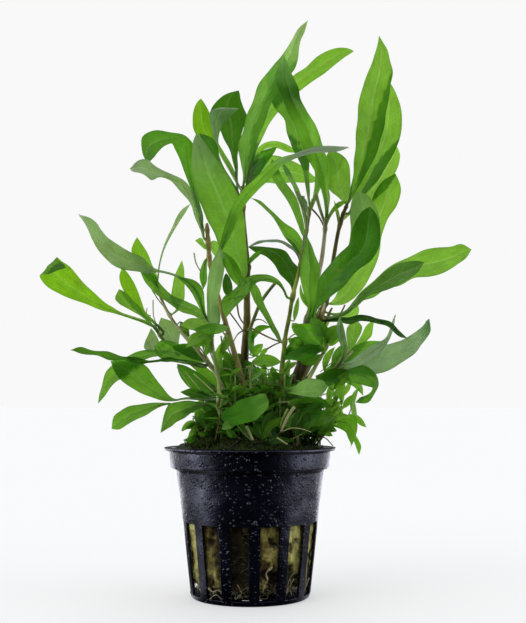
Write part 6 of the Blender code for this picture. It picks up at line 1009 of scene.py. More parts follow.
# ------------------------------------------------------------------ pot
def make_pot():
    def rounded(chain, where, r=0.35, n=3):
        """Rounds the listed corners of a chain of (r, z) points."""
        out = []
        for i, p in enumerate(chain):
            if i not in where:
                out.append(p)
                continue
            a, b = Vector(chain[i - 1]), Vector(chain[i + 1])
            q = Vector(p)
            rr = min(r, (a - q).length * 0.45, (b - q).length * 0.45)
            u, v = q + (a - q).normalized() * rr, q + (b - q).normalized() * rr
            for k in range(n + 1):
                t = k / n
                w = u.lerp(q, t).lerp(q.lerp(v, t), t)
                out.append((w.x, w.y))
        return out

    top_outer = rounded([(COLLAR_R_TOP - WALL + 0.2, POT_HEIGHT), (FLANGE_R, POT_HEIGHT - 0.05), (FLANGE_R - 0.15, POT_HEIGHT - 1.0),
                         (COLLAR_R_TOP, POT_HEIGHT - 1.15), (COLLAR_R_LOW, STEP_Z), (BODY_R_TOP, STEP_Z - 0.9), (22.95, 32.0),
                         (BODY_R_SLOT, SLOT_TOP_Z)], {1, 2, 3, 4, 5}, 0.45)
    mids = [(20.75, 13.0)]
    low_outer = [(19.45, SLOT_LOW_Z)] + rounded([(19.45, SLOT_LOW_Z), (18.9, 0.0), (DRAIN_R_OUT, 0.0)], {1}, 0.7, 3)[1:-1]
    outer = top_outer + mids + low_outer + [(DRAIN_R_OUT, 0.0), (DRAIN_R_IN, 0.0), (3.0, 0.0)]
    ot, ob = len(top_outer) - 1, len(top_outer) + len(mids)
    od = len(outer) - 3
    inner = [(COLLAR_R_TOP - WALL, POT_HEIGHT - 0.2), (COLLAR_R_LOW - WALL, STEP_Z), (BODY_R_TOP - WALL, STEP_Z - 0.9), (22.95 - WALL, 32.0),
             (BODY_R_SLOT - WALL, SLOT_TOP_Z), (20.75 - WALL, 13.0), (19.45 - WALL, SLOT_LOW_Z), (18.3, BASE_T),
             (DRAIN_R_OUT, BASE_T), (DRAIN_R_IN, BASE_T), (3.0, BASE_T)]
    it, ib, idr = 4, 6, 8
    pitch = 360.0 / SLOTS
    angles, is_open = [], []
    for s in range(SLOTS):
        c = SLOT_FIRST + s * pitch
        h, rib = SLOT_ANGLE / 2, pitch - SLOT_ANGLE
        for k in range(6):
            angles.append(c - h + SLOT_ANGLE * k / 6)
            is_open.append(True)
        for k in range(4):
            angles.append(c + h + rib * k / 4)
            is_open.append(False)
    cols = len(angles)
    no, ni = len(outer), len(inner)
    verts = []
    for j in range(cols):
        a = math.radians(angles[j])
        for r, z in outer + inner:
            wob = 0.10 * math.sin(3 * a + 0.7) + 0.06 * math.sin(7 * a)
            rr = r + wob * smooth(20, 28, r)
            verts.append((rr * math.sin(a), -rr * math.cos(a), z))
    per = no + ni
    under, floor_i = len(verts), len(verts) + 1
    verts += [(0, 0, 0), (0, 0, BASE_T)]
    O = lambda i, j: j * per + i
    I = lambda i, j: j * per + no + i
    faces = []
    open_o = set(range(ot, ob)) | {od}
    open_i = set(range(it, ib)) | {idr}
    for j in range(cols):
        k = (j + 1) % cols
        for i in range(no - 1):
            if not (is_open[j] and i in open_o):
                faces.append([O(i, j), O(i + 1, j), O(i + 1, k), O(i, k)])
        for i in range(ni - 1):
            if not (is_open[j] and i in open_i):
                faces.append([I(i, k), I(i + 1, k), I(i + 1, j), I(i, j)])
        faces.append([O(0, k), I(0, k), I(0, j), O(0, j)])
        faces.append([O(no - 1, j), under, O(no - 1, k)])
        faces.append([I(ni - 1, k), floor_i, I(ni - 1, j)])
        if is_open[j]:
            faces.append([O(ot, j), O(ot, k), I(it, k), I(it, j)])
            faces.append([O(ob, k), O(ob, j), I(ib, j), I(ib, k)])
            faces.append([O(od, j), O(od, k), I(idr, k), I(idr, j)])
            faces.append([O(od + 1, k), O(od + 1, j), I(idr + 1, j), I(idr + 1, k)])
        if is_open[j] != is_open[j - 1]:
            rows = [(ot + n, it + n) for n in range(ob - ot)]
            for o0, i0 in rows:
                q = [O(o0, j), O(o0 + 1, j), I(i0 + 1, j), I(i0, j)]
                faces.append(q if is_open[j - 1] else q[::-1])
            q = [O(od, j), O(od + 1, j), I(idr + 1, j), I(idr, j)]
            faces.append(q if is_open[j - 1] else q[::-1])
    obj = new_object("net_pot_moulded", verts, faces, POT_MAT)
    bm = bmesh.new()
    bm.from_mesh(obj.data)
    bmesh.ops.delete(bm, geom=[v for v in bm.verts if not v.link_faces], context="VERTS")
    bmesh.ops.recalc_face_normals(bm, faces=bm.faces)
    bm.to_mesh(obj.data)
    bm.free()
    mod = obj.modifiers.new("edges", "BEVEL")
    mod.width = 0.16 * MM
    mod.segments = 2
    mod.limit_method = "ANGLE"
    mod.angle_limit = math.radians(50)
    mod.harden_normals = False
    obj.data.shade_smooth()
    obj.data.set_sharp_from_angle(angle=math.radians(50))
    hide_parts("net_pot")
    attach(obj, "root")
    return obj


# ------------------------------------------------------------------ mineral wool, roots and moss
# patches on the plug: angle from the front, height, size in mm, colour
WOOL_PATCHES = [
    (-62, 15, 10, (0.30, 0.30, 0.15)), (-68, 22, 4, (0.34, 0.35, 0.18)), (-56, 4, 3.0, (0.12, 0.11, 0.05)), (-60, 9, 1.4, (0.10, 0.09, 0.03)),
    (-34, 20, 5.5, (0.10, 0.080, 0.028)), (-36, 13.5, 3.0, (0.17, 0.15, 0.060)), (-32, 22.5, 1.7, (0.010, 0.007, 0.003)), (-37, 19, 1.5, (0.02, 0.015, 0.006)),
    (-29, 16, 1.2, (0.012, 0.010, 0.004)), (-33, 9, 2.6, (0.24, 0.22, 0.10)), (-39, 6.5, 1.6, (0.02, 0.016, 0.006)), (-34, 3.5, 2.0, (0.13, 0.12, 0.05)),
    (-9, 14, 9, (0.013, 0.011, 0.004)), (-12, 22, 2.2, (0.030, 0.024, 0.009)), (-9, 2.8, 1.6, (0.10, 0.035, 0.018)),
    (17, 21.5, 3.2, (0.21, 0.19, 0.075)), (13, 17, 2.4, (0.12, 0.10, 0.035)), (22, 18, 1.8, (0.03, 0.02, 0.008)), (20, 14.5, 3.0, (0.28, 0.25, 0.115)),
    (13, 12, 1.8, (0.10, 0.075, 0.03)), (19, 7, 4.0, (0.020, 0.014, 0.006)), (12, 6, 1.5, (0.22, 0.20, 0.09)),
    (43, 20, 5.0, (0.36, 0.345, 0.17)), (44, 15, 3.2, (0.33, 0.32, 0.15)), (47, 19.5, 1.3, (0.012, 0.010, 0.004)), (39, 17, 1.0, (0.05, 0.04, 0.015)),
    (44, 8, 4.2, (0.026, 0.024, 0.009)), (48, 11, 1.4, (0.13, 0.12, 0.05)),
    (69, 16, 8, (0.30, 0.31, 0.14)), (66, 6, 3, (0.16, 0.155, 0.07)),
    (94, 15, 8, (0.18, 0.16, 0.07)), (120, 18, 7, (0.09, 0.07, 0.025)), (122, 9, 4, (0.26, 0.24, 0.11)), (146, 15, 8, (0.24, 0.22, 0.10)),
    (172, 20, 6, (0.12, 0.09, 0.035)), (176, 10, 5, (0.29, 0.27, 0.12)), (197, 16, 8, (0.05, 0.04, 0.016)), (223, 18, 6, (0.27, 0.25, 0.115)),
    (226, 9, 4, (0.10, 0.08, 0.03)), (248, 15, 8, (0.18, 0.16, 0.065)), (274, 15, 8, (0.27, 0.25, 0.115)),
]


def make_wool():
    g = 0.75
    prof = [(0.0, 45.0), (12, 45.1), (22.6, 44.9), (24.2, 44.1), (COLLAR_R_LOW - WALL - g, STEP_Z + 0.2), (BODY_R_TOP - WALL - g, STEP_Z - 1.4),
            (22.95 - WALL - g, 32.0), (BODY_R_SLOT - WALL - g, SLOT_TOP_Z), (20.75 - WALL - g, 13.0), (19.75 - WALL - g, 5.6), (18.1, 4.9), (14, 4.7), (0, 4.7)]
    knots = [0.0]
    for a, b in zip(prof, prof[1:]):
        knots.append(knots[-1] + math.hypot(b[0] - a[0], b[1] - a[1]))
    rows, cols = 130, 300
    verts, colors, faces = [], [], []
    for i in range(rows + 1):
        s = knots[-1] * i / rows
        k = max(j for j in range(len(knots)) if knots[j] <= s + 1e-9)
        k = min(k, len(prof) - 2)
        t = (s - knots[k]) / (knots[k + 1] - knots[k])
        r = prof[k][0] + (prof[k + 1][0] - prof[k][0]) * t
        z = prof[k][1] + (prof[k + 1][1] - prof[k][1]) * t
        for j in range(cols):
            a = 2 * math.pi * j / cols
            p = Vector((r * math.sin(a), -r * math.cos(a), z))
            q = Vector((p.x, p.y, p.z * 0.6)) + Vector((1, 1, 1)) * (0.8 * rough_noise(p, 2.5, 15))
            n = 0.75 * rough_noise(q, 2.4, 3) + 0.34 * rough_noise(q, 1.0, 7) + 0.20 * rough_noise(p, 5, 1)
            col = Vector((0.14, 0.12, 0.05)) * (0.65 + 0.9 * (0.5 + rough_noise(p, 3.2, 5)))
            for pa, pz, size, pc in WOOL_PATCHES:
                da = (math.degrees(a) - pa + 180) % 360 - 180
                dist = math.hypot(math.radians(da) * r, (z - pz) * 0.8) + 1.5 * rough_noise(p, 1.7, 11) + 0.8 * rough_noise(p, 0.7, 2)
                w = 1 - smooth(size * 0.72, size * 1.15, dist)
                if w > 0:
                    col = col.lerp(Vector(pc), w)
            dark = 1 - smooth(0.02, 0.10, col.x)
            # lighter where the noise n pushes the surface out and darker where it sinks in: painted shade of the lumps
            # and hollows, with a random tone on top
            col = col * min(max(0.95 + 0.62 * n + 0.5 * rough_noise(p, 0.7, 31), 0.3), 1.6)
            rr = r + (n * 0.8 + 0.25 - 0.9 * dark) * smooth(0, 6, r) if r > 15 and z > 4.9 and z < 44 else r
            zz = z if r > 15 else z + n * 0.4
            verts.append((rr * math.sin(a), -rr * math.cos(a), zz))
            colors.append(tuple(max(c, 0.0) * 2.1 for c in col))
    for i in range(rows):
        for j in range(cols):
            k = (j + 1) % cols
            faces.append([i * cols + j, (i + 1) * cols + j, (i + 1) * cols + k, i * cols + k])
    obj = new_object("mineral_wool_plug", verts, faces, WOOL_MAT, True, None, None, colors)
    bm = bmesh.new()
    bm.from_mesh(obj.data)
    bmesh.ops.remove_doubles(bm, verts=bm.verts, dist=1e-7)
    bmesh.ops.recalc_face_normals(bm, faces=bm.faces)
    bm.to_mesh(obj.data)
    bm.free()
    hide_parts("rock_wool_plug")
    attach(obj, "root")
    # fine strands of wool that lie on the plug's side
    rng = random.Random(5)
    b = Batch()
    for _ in range(320):
        a = rng.uniform(0, 2 * math.pi)
        z = rng.uniform(3.5, 24.5)
        r = 19.35 + (z - 1.6) * 0.106 - WALL - 0.45 + rng.uniform(-0.2, 0.15)
        da, dz = rng.uniform(-0.18, 0.18), rng.uniform(-3.0, 3.0)
        path = []
        for k in range(5):
            t = k / 4
            aa = a + da * t + 0.03 * math.sin(6 * t + z)
            zz = min(max(z + dz * t, 2.4), 24.4)
            rk = r + 0.25 * math.sin(math.pi * t)
            path.append(Vector((rk * math.sin(aa), -rk * math.cos(aa), zz)))
        w = rng.uniform(0.03, 0.065)
        v, f, uv = tube_points(path, [w] * 5, 4)
        b.add(v, f, uv)
    b.make("mineral_wool_strands", [STRAND_MAT], "rock_wool", ["rock_wool_plug"])


def make_roots():
    rng = random.Random(11)
    b = Batch()
    # the tangle under the plug
    for _ in range(120):
        a = rng.uniform(0, 2 * math.pi)
        r = rng.uniform(3, 16)
        path = []
        for k in range(8):
            a += rng.uniform(-0.05, 0.36) * 8 / max(r, 6)
            r = min(max(r + rng.uniform(-1.3, 1.6), 2), 17.0)
            path.append(Vector((r * math.sin(a), -r * math.cos(a), rng.uniform(1.75, 4.6))))
        w = rng.uniform(0.12, 0.34)
        n = 22
        v, f, uv = tube_points(spline(path, n), [w * (1 - 0.6 * i / n) for i in range(n)], 5)
        b.add(v, f, uv)
    # roots that hang down behind the slots
    for _ in range(64):
        a = rng.uniform(0, 2 * math.pi)
        z = rng.uniform(4.5, 9)
        low = rng.uniform(2.0, 4.2)
        path = []
        for k in range(5):
            t = k / 4
            zz = z + (low - z) * t
            r = 19.35 + (zz - 1.6) * 0.106 - WALL - rng.uniform(0.15, 0.7)
            a += rng.uniform(-0.05, 0.05)
            path.append(Vector((r * math.sin(a), -r * math.cos(a), zz)))
        w = rng.uniform(0.05, 0.13)
        v, f, uv = tube_points(spline(path, 12), [w * (1 - 0.5 * i / 12) for i in range(12)], 5)
        b.add(v, f, uv)
    for pts, w in [
        ([(272.5, 567, 18.2), (266, 574, 18.5), (267.5, 580, 18.5), (264, 587, 18.3), (262.5, 593, 18.1)], 0.34),
        ([(287, 592, 14.4), (288.5, 582, 14.3), (292, 575, 13.8), (295, 572, 13.2)], 0.17),
        ([(294, 579, 13.6), (290, 587, 14.0), (292, 596, 13.4)], 0.14),
        ([(208, 588, 14.2), (213, 592, 15.0), (219, 590, 15.6), (223, 596, 15.8)], 0.26),
        ([(209, 600, 14.0), (216, 595, 15.2), (224, 602, 15.8)], 0.22),
        ([(196, 586, 10.0), (201, 591, 11.0), (203, 599, 11.6)], 0.26),
        ([(309, 578, 8.2), (306, 586, 8.8), (304, 594, 8.8)], 0.20),
    ]:
        path = spline([at(*p) for p in pts], 20)
        v, f, uv = tube_points(path, [w * (0.85 + 0.25 * math.sin(i * 0.9)) * (1 - 0.35 * i / 20) for i in range(20)], 8)
        b.add(v, f, uv)
    b.make("root_strands", [ROOT_MAT], "root_fibre", ["root_tangle"])


def make_moss():
    rows, cols = 44, 150
    verts, faces = [(0, 0, moss_top(0, 0) - 0.6)], []
    for i in range(1, rows + 1):
        r = 25.0 * i / rows
        for j in range(cols):
            a = 2 * math.pi * j / cols
            x, y = r * math.sin(a), -r * math.cos(a)
            p = Vector((x, y, 50))
            n = 0.9 * rough_noise(p, 3.5, 2) + 0.7 * rough_noise(p, 1.4, 6) + 0.4 * rough_noise(p, 0.7, 4)
            verts.append((x, y, max(moss_top(x, y) - 0.75 + n, 45.6)))
    base = len(verts)
    for j in range(cols):
        a = 2 * math.pi * j / cols
        verts.append((24.6 * math.sin(a), -24.6 * math.cos(a), 45.3))
    verts.append((0, 0, 45.3))
    for j in range(cols):
        k = (j + 1) % cols
        faces.append([0, 1 + j, 1 + k])
        for i in range(rows - 1):
            faces.append([1 + i * cols + j, 1 + (i + 1) * cols + j, 1 + (i + 1) * cols + k, 1 + i * cols + k])
        faces.append([1 + (rows - 1) * cols + j, base + j, base + k, 1 + (rows - 1) * cols + k])
        faces.append([base + j, len(verts) - 1, base + k])
    obj = new_object("moss_bed", verts, faces, MOSS_MAT)
    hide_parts("moss_mat")
    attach(obj, "root")
    rng = random.Random(21)
    b = Batch()
    for n in range(3400):
        a = rng.uniform(0, 2 * math.pi)
        r = 24.6 * math.sqrt(rng.random())
        x, y = r * math.sin(a), -r * math.cos(a)
        z = moss_top(x, y) - 1.0
        lean = Vector((rng.uniform(-1, 1), rng.uniform(-1, 1), rng.uniform(0.15, 1.1)))
        if r > 21:
            lean = Vector((-x * 0.02 + rng.uniform(-0.7, 0.7), -y * 0.02 + rng.uniform(-0.7, 0.7), rng.uniform(0.3, 1.0)))
        lean.normalize()
        ln = rng.uniform(1.2, 3.4)
        p0 = Vector((x, y, z))
        bend = Vector((rng.uniform(-0.6, 0.6), rng.uniform(-0.6, 0.6), rng.uniform(-0.5, 0.1)))
        path = [p0, p0 + lean * ln * 0.5, p0 + lean * ln + bend * ln * 0.4]
        w = rng.uniform(0.05, 0.16)
        end = to_grid(path[2])
        if (end[0] < 191 and end[1] < 446) or (end[0] > 312 and end[1] < 444):
            continue
        v, f, uv = tube_points(path, [w, w * 0.8, w * 0.25], 4)
        b.add(v, f, uv, 0 if rng.random() < 0.9 else 1)
    for n in range(520):
        gx, gy, d = rng.uniform(193, 214), rng.uniform(437, 447), rng.uniform(4, 17)
        c = at(gx, gy, d)
        if math.hypot(c.x, c.y) > 24.3:
            continue
        p0 = Vector((c.x, c.y, moss_top(c.x, c.y) - 0.8))
        lean = Vector((rng.uniform(-0.9, 0.6), rng.uniform(-0.6, 0.6), rng.uniform(0.5, 1.2))).normalized()
        ln = rng.uniform(1.6, 4.2)
        path = [p0, p0 + lean * ln * 0.5 + Vector((0, 0, 0.2)), p0 + lean * ln + Vector((rng.uniform(-0.5, 0.5), rng.uniform(-0.5, 0.5), -0.2))]
        w = rng.uniform(0.08, 0.17)
        v, f, uv = tube_points(path, [w, w * 0.8, w * 0.3], 4)
        b.add(v, f, uv, 0)
    for spot, size, count in (((203, 438.5, 11), 2.8, 760), ((197, 442, 8), 1.7, 300), ((212, 441, 12), 1.6, 260), ((226, 442, 16), 1.3, 200), ((288, 442, 15), 1.5, 220)):
        c = at(*spot)
        for n in range(count):
            out = Vector((rng.gauss(0, 1), rng.gauss(0, 1), rng.gauss(0.35, 1))).normalized()
            if out.z < -0.45:
                continue
            side = Vector((rng.uniform(-1, 1), rng.uniform(-1, 1), rng.uniform(-1, 1)))
            ln = rng.uniform(0.5, 1.3)
            p0 = c + out * size * rng.uniform(0.6, 0.9)
            path = [p0, p0 + out * ln * 0.5 + side * 0.2, p0 + out * ln + side * 0.6]
            w = rng.uniform(0.07, 0.15)
            v, f, uv = tube_points(path, [w, w * 0.8, w * 0.3], 4)
            b.add(v, f, uv, 0)
        knob = []
        for i in range(1, 9):
            for j in range(16):
                t, a = math.pi * i / 9, 2 * math.pi * j / 16
                q = Vector((math.sin(t) * math.cos(a), math.sin(t) * math.sin(a), math.cos(t)))
                knob.append(c + q * size * (0.78 + 0.14 * rough_noise(q * 2.0 + c, 1.0, 7)))
        rings = [[(i * 16 + j, (i + 1) * 16 + j, (i + 1) * 16 + (j + 1) % 16, i * 16 + (j + 1) % 16) for j in range(16)] for i in range(7)]
        caps = [list(range(16)), [112 + j for j in range(15, -1, -1)]]
        b.add(knob, [list(q) for ring in rings for q in ring] + caps, [(0.0, 0.0)] * len(knob), 3)
    for n in range(30):
        a = rng.uniform(0, 2 * math.pi)
        r = 23 * math.sqrt(rng.random())
        x, y = r * math.sin(a), -r * math.cos(a)
        p = [Vector((x, y, moss_top(x, y) + rng.uniform(-0.3, 0.6)))]
        head = rng.uniform(0, 6.28)
        for k in range(4):
            head += rng.uniform(-0.7, 0.7)
            q = p[-1] + Vector((math.cos(head), math.sin(head), 0)) * rng.uniform(1.2, 2.6)
            if math.hypot(q.x, q.y) > 24.4:
                break
            q.z = moss_top(q.x, q.y) + rng.uniform(-0.4, 0.8)
            p.append(q)
        if len(p) < 3:
            continue
        path = spline(p, 14)
        w = rng.uniform(0.10, 0.22)
        v, f, uv = tube_points(path, [w] * 14, 5)
        b.add(v, f, uv, 1)
    for pts, w in [([(246, 426, 23.5), (249.5, 433, 23.5), (253, 440.5, 24.0)], 0.42), ([(277, 437.5, 22.5), (282, 441, 23), (287.5, 444.5, 23.5)], 0.32)]:
        path = spline([at(*p) for p in pts], 10)
        v, f, uv = tube_points(path, [w * (1 - 0.3 * i / 10) for i in range(10)], 7)
        b.add(v, f, uv, 2)
    b.make("moss_fibres", [FIBRE_MAT, DARK_MAT, STEM_MATS["pale"], MOSS_MAT], "moss", ["moss_mat"])


# ------------------------------------------------------------------ stems
STEM_LOOK = {"stem_left_tall": "tan", "stem_centre": "brown", "stem_branch": "green", "stem_right_inner": "olive", "stem_right_mid": "greytan",
             "stem_right_back": "umber", "stem_pale_right": "fresh", "stem_lower_right": "green", "stem_left_main": "pale",
             "stem_left_front": "green", "stem_left_low": "green"}


# heights between which a stem goes from dark brown to its own colour
DARK_FOOT = {"stem_centre": (76, 92), "stem_right_mid": (79, 91), "stem_right_back": (78, 92), "stem_left_tall": (63, 74), "stem_right_inner": (58, 68)}


def make_stems():
    joints = {n: [] for n in STEMS}
    for leaf in LEAVES.values():
        if "on" in leaf:
            a = leaf["st"][0]
            joints[leaf["on"]].append(stem_spot(leaf["on"], (a[0] + a[2]) / 2, (a[1] + a[3]) / 2))
    for name, small in SMALL.items():
        for leaf in small:
            joints[name].append(stem_spot(name, *leaf["at"]))
    for index, name in enumerate(STEMS):
        pts = [q[0] for q in STEM_CACHE[name]]
        rad = [q[1] for q in STEM_CACHE[name]]
        if name == "stem_branch":
            foot = min(STEM_CACHE["stem_centre"], key=lambda q: (q[0] - pts[0]).length)[0]
            pts, rad = [foot] + pts, [rad[0]] + rad
        else:
            foot = pts[0]
            drop = Vector((foot.x * 0.96, foot.y * 0.96, min(foot.z - 3, moss_top(foot.x, foot.y) - 3.5)))
            pts, rad = [drop] + pts, [rad[0]] + rad
        length = sum((b - a).length for a, b in zip(pts, pts[1:]))
        n = int(length / 0.7)
        knots = [0.0]
        for a, b in zip(pts, pts[1:]):
            knots.append(knots[-1] + max((b - a).length, 1e-4))
        path, radii = [], []
        for i in range(n):
            row = curve_at(knots, [list(p) + [r] for p, r in zip(pts, rad)], knots[-1] * i / (n - 1))
            p = Vector(row[:3])
            swell = sum(math.exp(-((p - q[0]).length / 0.95) ** 2) for q in joints[name])
            path.append(p + 0.12 * Vector((rough_noise(p, 6, index), rough_noise(p, 6, index + 20), 0)))
            radii.append(row[3] * (1 + 0.42 * min(swell, 1.0) + 0.10 * rough_noise(p, 3, index)))
        radii[-1] *= 0.7
        v, f, uv = tube_points(path, radii, 12)
        low, high = DARK_FOOT.get(name, (55.0, 62.0))
        shades = []
        for p in v:
            t = smooth(low, high, p.z + 2.0 * rough_noise(p, 4.0, index))
            k = 0.88 + 0.35 * rough_noise(p, 2.5, index + 40)
            shades.append(tuple(k * (a + (1 - a) * t) for a in (0.30, 0.215, 0.17)))
        obj = new_object(name + "_skin", v, f, STEM_SKINS[STEM_LOOK[name]], colors=shades)
        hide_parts(name)
        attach(obj, "root")
        for i, leaf in enumerate(SMALL[name]):
            spot = stem_spot(name, *leaf["at"])
            leaf_piece("%s_leaf_%d" % (name, i + 1), leaf, spot, [name], 100 + index * 10 + i, rib0=0.26, ruffle=0.15, rows=None)


def make_leaves():
    for i, (name, leaf) in enumerate(LEAVES.items()):
        start = None
        if "on" in leaf:
            a = leaf["st"][0]
            start = stem_spot(leaf["on"], (a[0] + a[2]) / 2, (a[1] + a[3]) / 2)
        leaf_piece(name + "_blade", leaf, start, [name], i + 1)


